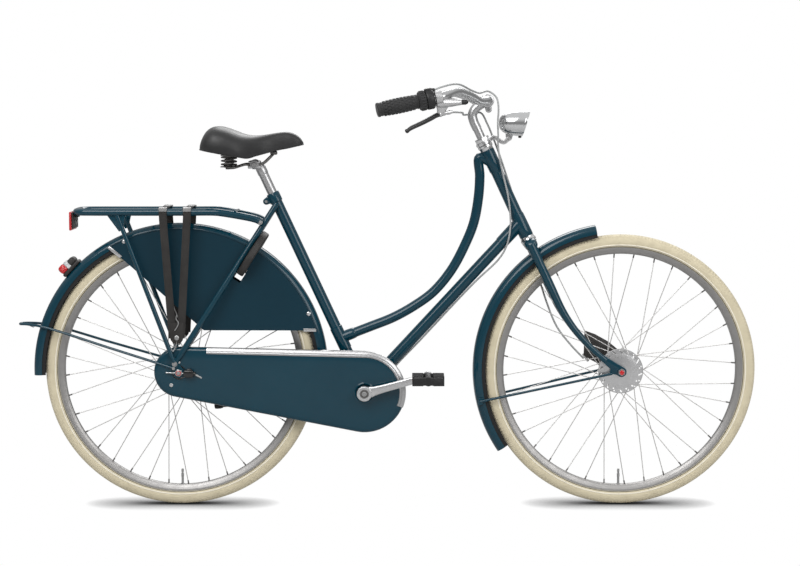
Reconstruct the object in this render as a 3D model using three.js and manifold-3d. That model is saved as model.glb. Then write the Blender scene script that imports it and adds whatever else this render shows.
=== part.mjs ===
// A Dutch city bike in millimetres. It rides towards +X, its left side is +Y, and the ground is at z = 0.
// Places are measured from the foot of the rear axle and moved once, at the end, to the middle of the bike.
import * as THREE from 'three';
import { mergeVertices } from 'three/addons/utils/BufferGeometryUtils.js';
import Module from 'manifold-3d';

const wasm = await Module();
wasm.setup();

// Driving dimensions
const wheelBase = 1148;
const tyreRadius = 357.5;
const tyreWidth = 40;
const headAngle = THREE.MathUtils.degToRad(65);
const seatAngle = THREE.MathUtils.degToRad(65);
const forkRake = 74;
const bracketForward = 480.8;
const bracketDrop = 52.1;
const seatTubeLength = 568;
const crankLength = 170;
const crankAngle = THREE.MathUtils.degToRad(15.2);
const mudguardRoom = 27.5;
const chainLine = 50;
const frontHubWidth = 100;
const rearHubWidth = 114;

// Clearances: a fixed seat, a turning fit, the overrun of every cut, and how near corners are one
const seatGap = 0.3;
const runningGap = 0.5;
const overrun = 12;
const weldDistance = 0.001;

// Counts of facets
const wheelSides = 32;
const hubSides = 14;
const tubeSides = 10;
const smallSides = 8;
const boltSides = 6;
const spokeSides = 3;
const coilSides = 5;
const coilStepsPerTurn = 8;
const lampSides = 16;
const gripSides = 14;
const bendSteps = 12;
const stayBendSteps = 10;
const neckSteps = 15;
const wireSteps = 30;
const railSteps = 28;
const barSteps = 60;
const lockSteps = 16;
const caseSteps = 14;
const shortArcSteps = 8;

// The mudguards follow the tyres, and the wheels stand with a facet of each tyre flat on the ground
const mudguardRadius = tyreRadius + mudguardRoom;
const axleHeight = tyreRadius * Math.cos(Math.PI / wheelSides);

// Rim, tyre and spokes
const rim = { depth: 19.5, floorDepth: 9.5, innerHalf: 10, outerHalf: 14, wall: 2.5 };
const tyre = {
  height: 34,
  wall: 4,
  treadHalf: 8,
  shoulderDrop: 6.5,
  shoulderHalf: 16,
  beltDrop: 20,
};
const rimOuterRadius = tyreRadius - tyre.height;
const rimInnerRadius = rimOuterRadius - rim.depth;
const spoke = {
  radius: 1, count: 36, rimOffset: 4, headOffset: 1.6, hubTurn: THREE.MathUtils.degToRad(55),
  phase: THREE.MathUtils.degToRad(3.1),
};
const flange = { radius: 45, holeRadius: 43.5, middle: 28.5, thickness: 4 };

// Front hub with its brake, and the front axle
const frontHub = {
  barrelRadius: 17, boreRadius: 5.3, collarRadius: 12, rightEnd: 45, leftEnd: 37,
  discRadius: 60, discThickness: 2.5,
};
const frontAxle = { radius: 4.8, nutRadius: 9.5, nutThickness: 9, end: 4 };
const frontBrake = { radius: 38, thickness: 9, armWidth: 16, armThickness: 4, armUp: 118, armBack: 6, lugRadius: 9 };

// Rear hub, sprocket and axle
const rearHub = { barrelRadius: 31, boreRadius: 5.8, end: 40, collarRadius: 20, collarThickness: 6 };
const sprocket = {
  teeth: 19, pitch: 12.7, thickness: 3, toothDepth: 4, bossRadius: 15, bossInner: 41, bossOuter: 54,
};
const rearAxle = {
  radius: 5.3, nutRadius: 10, nutThickness: 10, end: 5, spacerRadius: 8,
  brakeArmInner: 41.5, brakeArmThickness: 3, brakeArmWidth: 14, brakeArmReach: 150, brakeArmDrop: 48,
  brakeDiscRadius: 17,
};
const shiftBox = { back: 13, front: 38, height: 20, drop: 3, inner: 63.4, outer: 82, edge: 4 };

// Steering column: distances up the steering axis from the foot of the fork
const headTube = {
  cupBottom: 406, bottom: 420, top: 668, cupTop: 682, radius: 15.8, lugRadius: 17.6, lugLength: 62,
  cupRadius: 21, upperCupRadius: 20, cupEdge: 8, wall: 2.6,
};
const steerer = { radius: 12.7, top: 700, quillRoom: 50 };
const crown = { bottom: 386, depth: 30, shoulder: 6, lugRadius: 7.5, lugDepth: 18 };
const forkBlade = {
  top: 392, radius: 11.6, tipRadius: 7, spread: 40.5, bendStart: 240,
  dropoutRadius: 13, dropoutThickness: 4, tipShare: 0.11,
};
const locknut = { radius: 19, top: 703, washerRadius: 21, washerThickness: 6 };
const stem = {
  quillRadius: 11, bottom: 590, top: 770, armRadius: 12, reach: 54.2, rise: 783.2,
  clampRadius: 17, clampHalf: 20, earLength: 27, earThickness: 9, earWidth: 24, wedge: 5,
};

// Handlebar, measured from the middle of the stem clamp
const bar = {
  radius: 11.1, straightLead: 30, gripBack: 150, gripSide: 260, gripRise: 4.2, endBack: 283, endSide: 283, endDrop: 23.5,
};
const barRoute = [
  [0, 22, 0], [3, 40, 0], [24, 70, -1], [42, 110, 8.6], [65.5, 165, 18], [88.7, 215, 22],
];
const grip = { length: 105.3, innerRadius: 15, bulgeRadius: 19, tipRadius: 16.5, cap: 3 };
const shifter = { radius: 25.5, shoulder: 4, length: 40 };
const leverBody = {
  fromGrip: 1.5, length: 19.5, radius: 16, perchReach: 44, perchRadius: 8, pinRadius: 2.6, ear: 9,
  lean: THREE.MathUtils.degToRad(22),
};
const lever = { reach: 98, width: 13, thickness: 7, tip: 9, boss: 8 };
const leverShares = [[0, 0], [0.3, 0.09], [0.65, 0.19], [0.88, 0.25], [1, 0.31]];

// Headlamp and its bracket
const lamp = {
  radius: 33.5, length: 70.5, wall: 2, forward: 36.8, rise: 56.4, rake: THREE.MathUtils.degToRad(17),
  earRadius: 8, earThickness: 5, pinDrop: 38.4, pinBack: 44.5, lensBack: 22,
};
const lampShares = [[0.45, 0.03], [0.78, 0.15], [0.93, 0.32], [1, 0.52], [1, 1]];
const lampBracket = { width: 13, thickness: 4, earGap: 0.4 };

// Frame tubes
const bracketShell = { radius: 21, bore: 9, leftHalf: 36, rightHalf: 42.7, cupRadius: 18.5, shellHalf: 34 };
const standPlate = { reach: 81, front: 11, drop: 11.8, thickness: 4.4, rightSide: 20, leftSide: 31 };
const seatTube = { radius: 14.5, wall: 1.7, lugRadius: 17, lugLength: 26, earReach: 25, earWidth: 9, slot: 2.4 };
const downTube = { radius: 15.5, headUp: 460 };
const topTube = { radius: 12.7, lugRadius: 14.4, lugLength: 30, seatUp: 149.2, headUp: 658, headBack: 26 };
const topTubeShares = [
  [0, 0], [0.21, 0.062], [0.38, 0.114], [0.53, 0.178], [0.67, 0.257], [0.8, 0.378],
  [0.9, 0.522], [0.962, 0.645], [0.995, 0.79], [1.003, 0.9], [1, 1],
];
const chainStay = { radius: 8, startSide: 27.5, waistSide: 35.8, waistShare: 0.2, bendSide: 44, bendShare: 0.42, endSide: 55 };
const seatStay = {
  radius: 7.5, topDrop: 29.4, topSide: 20, waistSide: 40, waistShare: 0.29, eyeletBack: 10, eyeletUp: 23.3,
};
const dropout = {
  radius: 14, neckRadius: 8, thickness: 4, gap: 0.4, chainReach: 50, seatReach: 60, legReach: 34, eyeletRadius: 9,
};

// Mudguards: a folded sheet whose edge, side and crown follow its width and depth
const mudguard = { half: 26.5, depth: 20, wall: 2, sideDrop: 9, shoulderDrop: 2.2, shoulderHalf: 17, crownHalf: 8 };
const frontMudguard = { tip: THREE.MathUtils.degToRad(100), tail: THREE.MathUtils.degToRad(214), steps: 13 };
const rearMudguard = { tail: THREE.MathUtils.degToRad(182), front: THREE.MathUtils.degToRad(4.5), steps: 20 };
const rearWire = {
  radius: 3, sideAngle: THREE.MathUtils.degToRad(162), loopOut: 38, loopRise: 120.2, loopHalf: 17, cornerBack: 28,
};
const frontWire = { radius: 2.5, sideAngle: THREE.MathUtils.degToRad(192.5), eyeletBack: 24, eyeletUp: -4 };

// Rear carrier and what it holds
const carrier = {
  railRadius: 6.5, clearance: 32.2, half: 62, back: -265, bendFront: 95, frontEnd: 214, frontDrop: 26, tailBend: 34,
  barRadius: 3.5, barShares: [0.16, 0.42, 0.68, 0.94], innerShares: [-0.36, 0.36],
  legTop: -158, legRadius: 6, footRadius: 9, footThickness: 3, plateLength: 46, plateDrop: 44,
};
const carrierHeight = axleHeight + mudguardRadius + carrier.clearance;
const strap = {
  width: 20, thickness: 3, tops: [-37, 25], plateWidth: 42, plateRise: 84.2, plateHeight: 46,
  plateMiddle: -4, plateSpread: 12.5, wireRadius: 1.8, wireDrop: 30, wireHalf: 8,
};
const reflector = { thickness: 11, width: 92, height: 46, drop: 5, backing: 4 };
const tailLight = { angle: THREE.MathUtils.degToRad(136.7), length: 58, thickness: 30, width: 48, corner: 13, spread: THREE.MathUtils.degToRad(19) };
const coatGuard = {
  sheet: 1.5, edgeRadius: 373, backAngle: THREE.MathUtils.degToRad(119.6), frontAngle: THREE.MathUtils.degToRad(16.4),
  cornerForward: 62, cornerUp: 106, arcSteps: 16, slotGap: 2,
};

// Chain, sprockets and the closed case round them
const chainring = { teeth: 38, thickness: 3, toothDepth: 4.5 };
const chain = { height: 7, width: 8, play: 1.2, arcSteps: 12 };
const chainCase = {
  rearRadius: 65.5, frontRadius: 106, sheet: 1.6, innerFace: 43, outerFace: 65.6, rearSlotFront: 80,
  rearSlotHalf: 18, frontHole: 21.5, staySlotFront: 400, staySlotRise: 18, staySlotBack: 24,
};

// Cranks and pedals
const crank = {
  spindleRadius: 8.5, spindleEnd: 90, bossRadius: 19, bossInner: 47, leftBossInner: 64, bossOuter: 97,
  armInner: 79, armThickness: 13, armWidth: 28, tipRadius: 12.5, pinRadius: 5, pinLength: 86,
};
const pedal = { length: 82, width: 92, height: 27, corner: 8, bore: 5.5, inset: 3 };

// Saddle and its post
const seatPost = { radius: 12.5, shown: 82.25, insert: 170, clampBack: 12, clampLength: 36, clampHalf: 26, clampHeight: 22 };
const saddle = {
  top: 98.9, springBack: 77.4, springHalf: 50, trayDrop: 3, railRadius: 3.6, trayRadius: 18.5, trayThickness: 3,
};
const coil = { radius: 15, wire: 2.2, turns: 3, height: 24.3 };

// The rails' route for one side, from a spring tray to the nose: ahead of the post's top, out and above it
const railRoute = [
  [-77.4, 50, -8.6], [-60, 41, -7.4], [-46, 28, -3], [-34, 21, 0], [-26, 20, 0],
  [1, 20, 0], [12, 19, 3], [26, 14, 15], [35, 7, 24], [38, 0, 27],
];

// The saddle's cross-sections from back to nose: ahead of the post's top, top and bottom above it, half the width
const saddleStations = [
  [-147.9, 47, 38.6, 66], [-142, 69, 37.5, 84], [-130, 88, 35, 97], [-108.7, 98.9, 31, 104],
  [-77.4, 93.5, 25.6, 104], [-50, 82.5, 20.5, 97], [-28, 76, 16.5, 82], [-8, 73.9, 21, 62],
  [16, 76, 27.5, 42], [42.3, 80.5, 34.7, 31], [72.5, 83.9, 40.5, 26], [97, 77, 46, 22],
  [110, 65.5, 49, 16], [116.7, 54.5, 50.2, 8],
];
const saddleSectionShares = [
  [-0.88, 0], [0.88, 0], [1, 0.22], [1, 0.5], [0.92, 0.76], [0.72, 0.93], [0.4, 1], [0, 0.985], [-0.4, 1],
  [-0.72, 0.93], [-0.92, 0.76], [-1, 0.5], [-1, 0.22],
];

// Ring lock, with its plane beside the seat stays
const ringLock = {
  innerRadius: 47, outerRadius: 72, half: 9.5, up: 337.5, armEnd: THREE.MathUtils.degToRad(140),
  boreRadius: 5.2, shackleRadius: 4.6, track: 59.5, shackleStart: THREE.MathUtils.degToRad(42),
  shackleEnd: THREE.MathUtils.degToRad(138), knobReach: 78, knobWidth: 12, slotHalf: 2.9, knobHalf: 2.4,
  channelStart: THREE.MathUtils.degToRad(37), socketEnd: THREE.MathUtils.degToRad(-122),
};

// Centre stand: its pivot, and where the foot lies when it is folded and when it stands
const stand = {
  pivotBack: 55.8, pivotSide: 20, pivotDrop: 21.8, bossRadius: 9.7, bossHalf: 11, legRadius: 7, footRadius: 9, footLength: 22,
  foldedAhead: 80, foldedOut: 70, foldedDrop: 106.8, deployedOut: 160, deployedHeight: 18,
};

// Cables, point by point along their real route
const cableRadius = 2.5;
const cableSides = 8;
const shiftCableSteps = 48;
const brakeCableSteps = 30;
const shiftCableRoute = [
  [656, -256, 1083.5], [676, -248, 1091], [712, -214, 1098.5], [755, -112, 1083], [776, -62, 1077], [803, -18, 1081],
  [822, -15, 1066], [827.3, -20, 1041], [825.5, -27, 1000], [826.5, -27, 968], [826, -24, 953], [830.8, -22, 908],
  [841.3, -22, 862], [852.9, -22, 812], [858.9, -21, 765], [858.9, -20, 723], [850.5, -18, 683], [831.9, -7, 648],
  [767, -2, 584.2], [630.6, 0, 437.8], [542.4, -3, 342.4], [513, -7, 291], [497, -10, 280], [478, -12, 276], [450, -15, 281],
  [420, -25, 290], [385, -35.8, 300.9], [293, -44, 310.9], [200, -48, 321], [110, -52, 330.7], [80, -56, 334],
  [58, -64, 342], [49, -68.5, 347.5], [40.2, -70, 352],
];
const brakeCableRoute = [
  [702, -225, 1029], [731, -100, 1027], [735, -30, 1024], [737, 0, 1021], [743, 13, 1021], [758, 18.5, 1023],
  [783, 20, 1026], [800, 21, 998], [814.6, 22, 963.7], [826, 22, 935], [870, 27, 806], [893, 44, 735],
  [906, 57, 695], [918, 57.5, 655], [934, 57.5, 609], [962, 57, 523], [988, 55, 462], [1023, 53, 416],
  [1059, 50, 378],
];

// Places that several pieces share
const column = new THREE.Vector3(-Math.cos(headAngle), 0, Math.sin(headAngle));
const ahead = new THREE.Vector3(Math.sin(headAngle), 0, Math.cos(headAngle));
const left = new THREE.Vector3(0, 1, 0);
const up = new THREE.Vector3(0, 0, 1);
const seatLine = new THREE.Vector3(-Math.cos(seatAngle), 0, Math.sin(seatAngle));
const rearAxleCentre = at(0, 0, axleHeight);
const frontAxleCentre = at(wheelBase, 0, axleHeight);
const bracketCentre = at(bracketForward, 0, axleHeight - bracketDrop);
const columnFoot = frontAxleCentre.clone().addScaledVector(ahead, -forkRake);
const clampCentre = onColumn(stem.reach, 0, stem.rise);

function at(x, y, z) {
  return new THREE.Vector3(x, y, z);
}

// A point so far ahead of the steering axis, to the left of it and up along it
function onColumn(forward, side, height) {
  return columnFoot.clone().addScaledVector(ahead, forward).addScaledVector(left, side)
    .addScaledVector(column, height);
}

// A point so far up the seat tube, to the left of it
function onSeatTube(height, side = 0) {
  return bracketCentre.clone().addScaledVector(seatLine, height).addScaledVector(left, side);
}

function between(from, to, share) {
  return from.clone().lerp(to, share);
}

// Makes a closed solid of a geometry, with its faces turned outwards
function solidOf(geometry) {
  const bare = new THREE.BufferGeometry();
  bare.setAttribute('position', geometry.getAttribute('position'));
  if (geometry.index) bare.setIndex(geometry.index);
  const merged = mergeVertices(bare, weldDistance);
  const corners = merged.index.array;
  const faces = [];
  for (let i = 0; i < corners.length; i += 3) {
    const [a, b, c] = [corners[i], corners[i + 1], corners[i + 2]];
    if (a !== b && b !== c && c !== a) faces.push(a, b, c);
  }
  const vertProperties = new Float32Array(merged.attributes.position.array);
  const make = (order) =>
    new wasm.Manifold(new wasm.Mesh({ numProp: 3, vertProperties, triVerts: new Uint32Array(order) }));
  const made = make(faces);
  return made.volume() >= 0 ? made : make(faces.reverse());
}

function geometryOf(solid) {
  const data = solid.getMesh();
  const geometry = new THREE.BufferGeometry();
  geometry.setAttribute('position', new THREE.BufferAttribute(data.vertProperties, 3));
  geometry.setIndex(new THREE.BufferAttribute(data.triVerts, 1));
  geometry.computeVertexNormals();
  return geometry;
}

function join(...solids) {
  return solids.reduce((whole, solid) => whole.add(solid));
}

function cut(solid, ...tools) {
  return tools.reduce((rest, tool) => rest.subtract(tool), solid);
}

// Joins rings of points into one skin and closes its two ends by the flat outline
function loft(rings, outline) {
  const count = outline.length;
  const faces = [];
  for (let ring = 0; ring + 1 < rings.length; ring += 1) {
    for (let side = 0; side < count; side += 1) {
      const a = ring * count + side;
      const b = ring * count + ((side + 1) % count);
      faces.push(a, b, b + count, a, b + count, a + count);
    }
  }
  const last = (rings.length - 1) * count;
  for (const [a, b, c] of THREE.ShapeUtils.triangulateShape(outline, [])) {
    faces.push(a, c, b, last + a, last + b, last + c);
  }
  const geometry = new THREE.BufferGeometry();
  const numbers = rings.flat().flatMap((point) => point.toArray());
  geometry.setAttribute('position', new THREE.Float32BufferAttribute(numbers, 3));
  geometry.setIndex(faces);
  return solidOf(geometry);
}

function polygon(radius, sides, turn = 0) {
  const corners = [];
  for (let i = 0; i < sides; i += 1) {
    const angle = turn + (i * 2 * Math.PI) / sides;
    corners.push(new THREE.Vector2(radius * Math.cos(angle), radius * Math.sin(angle)));
  }
  return corners;
}

// A round tube along a smooth route
function tube(points, radius, steps, sides = tubeSides) {
  const section = new THREE.Shape(polygon(radius, sides));
  const extrudePath = new THREE.CatmullRomCurve3(points, false, 'centripetal');
  return solidOf(new THREE.ExtrudeGeometry(section, { steps, extrudePath, bevelEnabled: false }));
}

// A straight round bar between two points, which may taper
function rod(from, to, radius, sides = tubeSides, endRadius = radius) {
  const along = to.clone().sub(from);
  const geometry = new THREE.CylinderGeometry(endRadius, radius, along.length(), sides);
  geometry.applyQuaternion(new THREE.Quaternion().setFromUnitVectors(left, along.clone().normalize()));
  const middle = between(from, to, 0.5);
  geometry.translate(middle.x, middle.y, middle.z);
  return solidOf(geometry);
}

// A turned piece: [radius, distance] pairs round an axis that starts at a point and runs along a direction
function turned(profile, sides, from = at(0, 0, 0), direction = left, turn = 0) {
  const points = profile.map(([radius, distance]) => new THREE.Vector2(radius, distance));
  const geometry = new THREE.LatheGeometry(points, sides, turn);
  geometry.applyQuaternion(new THREE.Quaternion().setFromUnitVectors(left, direction));
  geometry.translate(from.x, from.y, from.z);
  return solidOf(geometry);
}

// A turned ring, whose profile closes on itself
function ring(profile, sides, from, direction, turn) {
  return turned([...profile, profile[0]], sides, from, direction, turn);
}

// A flat outline in the bike's own plane, from one side distance to another
function slab(outline, fromSide, toSide, holes = []) {
  const shape = new THREE.Shape(outline);
  shape.holes = holes.map((hole) => new THREE.Path(hole));
  const depth = Math.abs(toSide - fromSide);
  const geometry = new THREE.ExtrudeGeometry(shape, { depth, bevelEnabled: false, curveSegments: 1 });
  geometry.rotateX(Math.PI / 2);
  geometry.translate(0, Math.max(fromSide, toSide), 0);
  return solidOf(geometry);
}

function box(from, to) {
  const size = to.clone().sub(from);
  const geometry = new THREE.BoxGeometry(Math.abs(size.x), Math.abs(size.y), Math.abs(size.z));
  const middle = between(from, to, 0.5);
  geometry.translate(middle.x, middle.y, middle.z);
  return solidOf(geometry);
}

// The outline of a belt round two circles in the bike's own plane: rear circle first
function beltOutline(rear, rearRadius, front, frontRadius, arcSteps) {
  const along = new THREE.Vector2(front.x - rear.x, front.z - rear.z);
  const slope = Math.atan2(along.y, along.x);
  const lean = Math.acos((rearRadius - frontRadius) / along.length());
  const outline = [];
  const arc = (centre, radius, from, to) => {
    for (let i = 0; i <= arcSteps; i += 1) {
      const angle = slope + from + ((to - from) * i) / arcSteps;
      outline.push(new THREE.Vector2(centre.x + radius * Math.cos(angle), centre.z + radius * Math.sin(angle)));
    }
  };
  arc(rear, rearRadius, lean, 2 * Math.PI - lean);
  arc(front, frontRadius, -lean, lean);
  return outline;
}

// A flat bar with round ends between two points of the bike's plane
function flatBar(from, to, fromRadius, toRadius, fromSide, toSide, arcSteps = 5) {
  return slab(beltOutline(from, fromRadius, to, toRadius, arcSteps), fromSide, toSide);
}

// A profile of [radius, side] pairs swept round the axis of a wheel from one angle to another
function sweepRound(profile, centre, from, to, steps) {
  const rings = [];
  for (let step = 0; step <= steps; step += 1) {
    const angle = from + ((to - from) * step) / steps;
    rings.push(profile.map(([radius, side]) =>
      at(centre.x + radius * Math.cos(angle), centre.y + side, centre.z + radius * Math.sin(angle))));
  }
  return loft(rings, profile.map(([radius, side]) => new THREE.Vector2(radius, side)));
}

function finish(colour, roughness, metalness) {
  return new THREE.MeshStandardMaterial({ color: colour, roughness, metalness });
}

const paint = () => finish(0x1d3b47, 0.25, 0.1);
const chrome = () => finish(0xd4d6d8, 0.12, 1);
const alloy = () => finish(0xb4b6b8, 0.38, 0.9);
const steel = () => finish(0x9a9a98, 0.45, 0.8);
const blackPlastic = () => finish(0x202122, 0.55, 0);
const blackRubber = () => finish(0x1a1a1b, 0.8, 0);
const creamRubber = () => finish(0xc5bba0, 0.75, 0);
const greyStrap = () => finish(0x3c3835, 0.7, 0);
const redPlastic = () => finish(0x8c1b1e, 0.25, 0);
const clearLens = () => finish(0xe8eaec, 0.1, 0);
const greyCable = () => finish(0x8e8f90, 0.4, 0.2);

function addPiece(parent, name, solid, material) {
  const mesh = new THREE.Mesh(geometryOf(solid), material);
  mesh.name = name;
  parent.add(mesh);
}

// Frame
const frame = new THREE.Group();

// The head tube swollen by a gap, as a cutter for the tubes that meet it
function headTubeCutter() {
  return rod(onColumn(0, 0, headTube.bottom - overrun), onColumn(0, 0, headTube.top + overrun),
    headTube.lugRadius + seatGap, hubSides);
}

function seatTubeCutter() {
  const { radius, lugRadius, lugLength } = seatTube;
  return join(rod(bracketCentre, onSeatTube(seatTubeLength + overrun), radius + seatGap, hubSides),
    rod(onSeatTube(seatTubeLength - lugLength), onSeatTube(seatTubeLength + overrun), lugRadius + seatGap, hubSides));
}

function bracketCutter() {
  const end = bracketShell.leftHalf + overrun;
  return rod(bracketCentre.clone().setY(-end), bracketCentre.clone().setY(end), bracketShell.radius + seatGap,
    hubSides);
}

function makeHeadTube() {
  const { radius, lugRadius, lugLength, cupRadius, upperCupRadius, cupEdge, wall } = headTube;
  const bore = radius - wall;
  return ring([
    [bore, headTube.cupBottom], [cupRadius, headTube.cupBottom], [cupRadius, headTube.cupBottom + cupEdge],
    [lugRadius, headTube.bottom], [lugRadius, headTube.bottom + lugLength],
    [radius, headTube.bottom + lugLength + wall], [radius, headTube.top - lugLength - wall],
    [lugRadius, headTube.top - lugLength], [lugRadius, headTube.top],
    [upperCupRadius, headTube.cupTop - cupEdge], [upperCupRadius, headTube.cupTop], [bore, headTube.cupTop],
  ], hubSides, columnFoot, column);
}

// A point of the bike's plane as the corner of an outline
function flat(point) {
  return new THREE.Vector2(point.x, point.z);
}

// The seat tube with its lug, and the two clamping ears behind it with the slot between them
function makeSeatTube() {
  const { radius, wall, lugRadius, lugLength, earReach, earWidth, slot } = seatTube;
  const backwards = at(-Math.sin(seatAngle), 0, -Math.cos(seatAngle));
  const behind = (height, reach) => onSeatTube(height).addScaledVector(backwards, reach);
  const lugFoot = seatTubeLength - lugLength;
  const lugMiddle = seatTubeLength - lugLength / 2;
  const ears = flatBar(behind(lugMiddle, 0), behind(lugMiddle, earReach), lugLength / 3, lugLength / 3,
    -earWidth, earWidth);
  const body = join(rod(bracketCentre, onSeatTube(seatTubeLength), radius, hubSides),
    rod(onSeatTube(lugFoot), onSeatTube(seatTubeLength), lugRadius, hubSides), ears);
  const bore = rod(bracketCentre, onSeatTube(seatTubeLength + overrun), radius - wall, hubSides);
  const corners = [behind(lugFoot, 0), behind(seatTubeLength + overrun, 0),
    behind(seatTubeLength + overrun, earReach + overrun), behind(lugFoot, earReach + overrun)];
  const slit = slab(corners.map(flat), -slot / 2, slot / 2);
  return cut(body, bore, slit, bracketCutter());
}

function makeBracketShell() {
  const { radius, bore, leftHalf, rightHalf, cupRadius, shellHalf } = bracketShell;
  const shell = ring([
    [bore, -rightHalf], [cupRadius, -rightHalf], [cupRadius, -shellHalf], [radius, -shellHalf],
    [radius, shellHalf], [cupRadius, shellHalf], [cupRadius, leftHalf], [bore, leftHalf],
  ], hubSides, bracketCentre, left);
  const plateTop = bracketCentre.z - standPlate.drop + standPlate.thickness;
  const plate = box(at(bracketForward - standPlate.reach, -standPlate.rightSide, bracketCentre.z - standPlate.drop),
    at(bracketForward - standPlate.front, standPlate.leftSide, plateTop));
  const clear = rod(bracketCentre.clone().setY(-rightHalf), bracketCentre.clone().setY(leftHalf),
    (radius + bore) / 2, hubSides);
  return join(shell, cut(plate, clear));
}

function makeDownTube() {
  const body = rod(bracketCentre, onColumn(0, 0, downTube.headUp), downTube.radius, tubeSides);
  return cut(body, headTubeCutter(), bracketCutter(), seatTubeCutter());
}

// The swan-necked low tube, with a lug at each end
function makeTopTube() {
  const start = onSeatTube(topTube.seatUp);
  const end = onColumn(-topTube.headBack, 0, topTube.headUp);
  const route = topTubeShares.map(([along, high]) =>
    at(start.x + (end.x - start.x) * along, 0, start.z + (end.z - start.z) * high));
  const body = tube(route, topTube.radius, neckSteps);
  const rearLug = rod(start, route[1], topTube.lugRadius, tubeSides);
  const trimmed = cut(rearLug, rod(between(start, route[1], 0.6), route[2], topTube.lugRadius + overrun, tubeSides));
  const foreLug = rod(end, onColumn(0, 0, topTube.headUp - topTube.lugLength), topTube.radius, tubeSides);
  return cut(join(body, trimmed, foreLug), headTubeCutter(), seatTubeCutter());
}

// Drop-out plate, with the hole for the axle, that carries the end of a stay
function makeDropout(to, neckRadius, inner, side) {
  const { radius, thickness } = dropout;
  return flatBar(rearAxleCentre, to, radius, neckRadius, side * inner, side * (inner + thickness));
}

function rearAxleCutter() {
  const far = rearHubWidth;
  return rod(rearAxleCentre.clone().setY(-far), rearAxleCentre.clone().setY(far), rearAxle.radius + seatGap, smallSides);
}

// How far out the plates on each side of the rear axle lie: the right side leaves room for the chain case
function seatDropoutInner(side) {
  const chainDropoutOuter = rearHubWidth / 2 + dropout.thickness;
  return side < 0 ? chainCase.outerFace + 2 * seatGap + dropout.gap : chainDropoutOuter + dropout.gap;
}

function makeChainStay(side) {
  const inner = rearHubWidth / 2;
  const neck = between(rearAxleCentre, bracketCentre, dropout.chainReach / bracketForward);
  const sideways = [
    [0, chainStay.startSide], [chainStay.waistShare, chainStay.waistSide], [chainStay.bendShare, chainStay.bendSide],
    [1, chainStay.endSide],
  ];
  const route = sideways.map(([along, out]) => between(bracketCentre, neck, along).setY(side * out));
  const stay = tube(route, chainStay.radius, stayBendSteps, smallSides);
  const plate = makeDropout(neck, chainStay.radius, inner, side);
  return cut(join(stay, plate), bracketCutter(), rearAxleCutter());
}

// Where the seat stays meet the seat tube
function stayTop() {
  return onSeatTube(seatTubeLength - seatStay.topDrop);
}

function eyelet() {
  return rearAxleCentre.clone().add(at(-seatStay.eyeletBack, 0, seatStay.eyeletUp));
}

function makeSeatStay(side) {
  const inner = seatDropoutInner(side);
  const top = stayTop();
  const foot = eyelet();
  const neck = between(foot, top, dropout.seatReach / foot.distanceTo(top));
  const sideways = [
    [0, seatStay.topSide], [seatStay.waistShare, seatStay.waistSide], [1, inner + dropout.thickness / 2],
  ];
  const route = sideways.map(([along, out]) => between(top, neck, along).setY(side * out));
  const stay = tube(route, seatStay.radius, shortArcSteps, smallSides);
  const outer = inner + dropout.thickness;
  const plate = flatBar(foot, neck, dropout.eyeletRadius, dropout.neckRadius, side * inner, side * outer);
  return cut(join(stay, plate, makeDropout(foot, dropout.eyeletRadius, inner, side)), seatTubeCutter(),
    rearAxleCutter());
}

// The folded section of a mudguard: right edge, over the crown, left edge, and back inside
function mudguardProfile() {
  const { half, depth, wall, sideDrop, shoulderDrop, shoulderHalf, crownHalf } = mudguard;
  const outer = [
    [mudguardRadius - depth, half], [mudguardRadius - sideDrop, half], [mudguardRadius - shoulderDrop, shoulderHalf],
    [mudguardRadius, crownHalf],
  ];
  const inner = [
    [mudguardRadius - depth, half - wall], [mudguardRadius - sideDrop - wall / 2, half - wall],
    [mudguardRadius - shoulderDrop - wall, shoulderHalf - wall / 2],
  ];
  const mirror = (points) => points.map(([radius, side]) => [radius, -side]);
  return [...mirror(outer), ...[...outer].reverse(), ...inner, ...[...mirror(inner)].reverse()];
}

function makeRearMudguard() {
  return sweepRound(mudguardProfile(), rearAxleCentre, rearMudguard.front, rearMudguard.tail, rearMudguard.steps);
}

function onRearWheel(radius, angle, side = 0) {
  return rearAxleCentre.clone().add(at(radius * Math.cos(angle), side, radius * Math.sin(angle)));
}

function onFrontWheel(radius, angle, side = 0) {
  return frontAxleCentre.clone().add(at(radius * Math.cos(angle), side, radius * Math.sin(angle)));
}

// The wire that starts at one eyelet, passes the mudguard, loops round behind it and comes back
function makeRearWire() {
  const beside = mudguard.half + rearWire.radius + seatGap;
  const past = onRearWheel(mudguardRadius - mudguard.depth / 2, rearWire.sideAngle);
  const outerSide = (side) => seatDropoutInner(side) + dropout.thickness + rearWire.radius + seatGap;
  const foot = eyelet().add(at(-carrier.footRadius * 2, 0, 0));
  const half = (side) => [
    foot.clone().setY(side * outerSide(side)), between(foot, past, 0.85).setY(side * (beside + rearWire.radius)),
    past.clone().setY(side * beside),
    at(-mudguardRadius - rearWire.loopOut + rearWire.cornerBack, side * beside, axleHeight + rearWire.loopRise),
    at(-mudguardRadius - rearWire.loopOut, side * rearWire.loopHalf, axleHeight + rearWire.loopRise),
  ];
  return tube([...half(-1), ...half(1).reverse()], rearWire.radius, wireSteps, boltSides);
}

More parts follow.
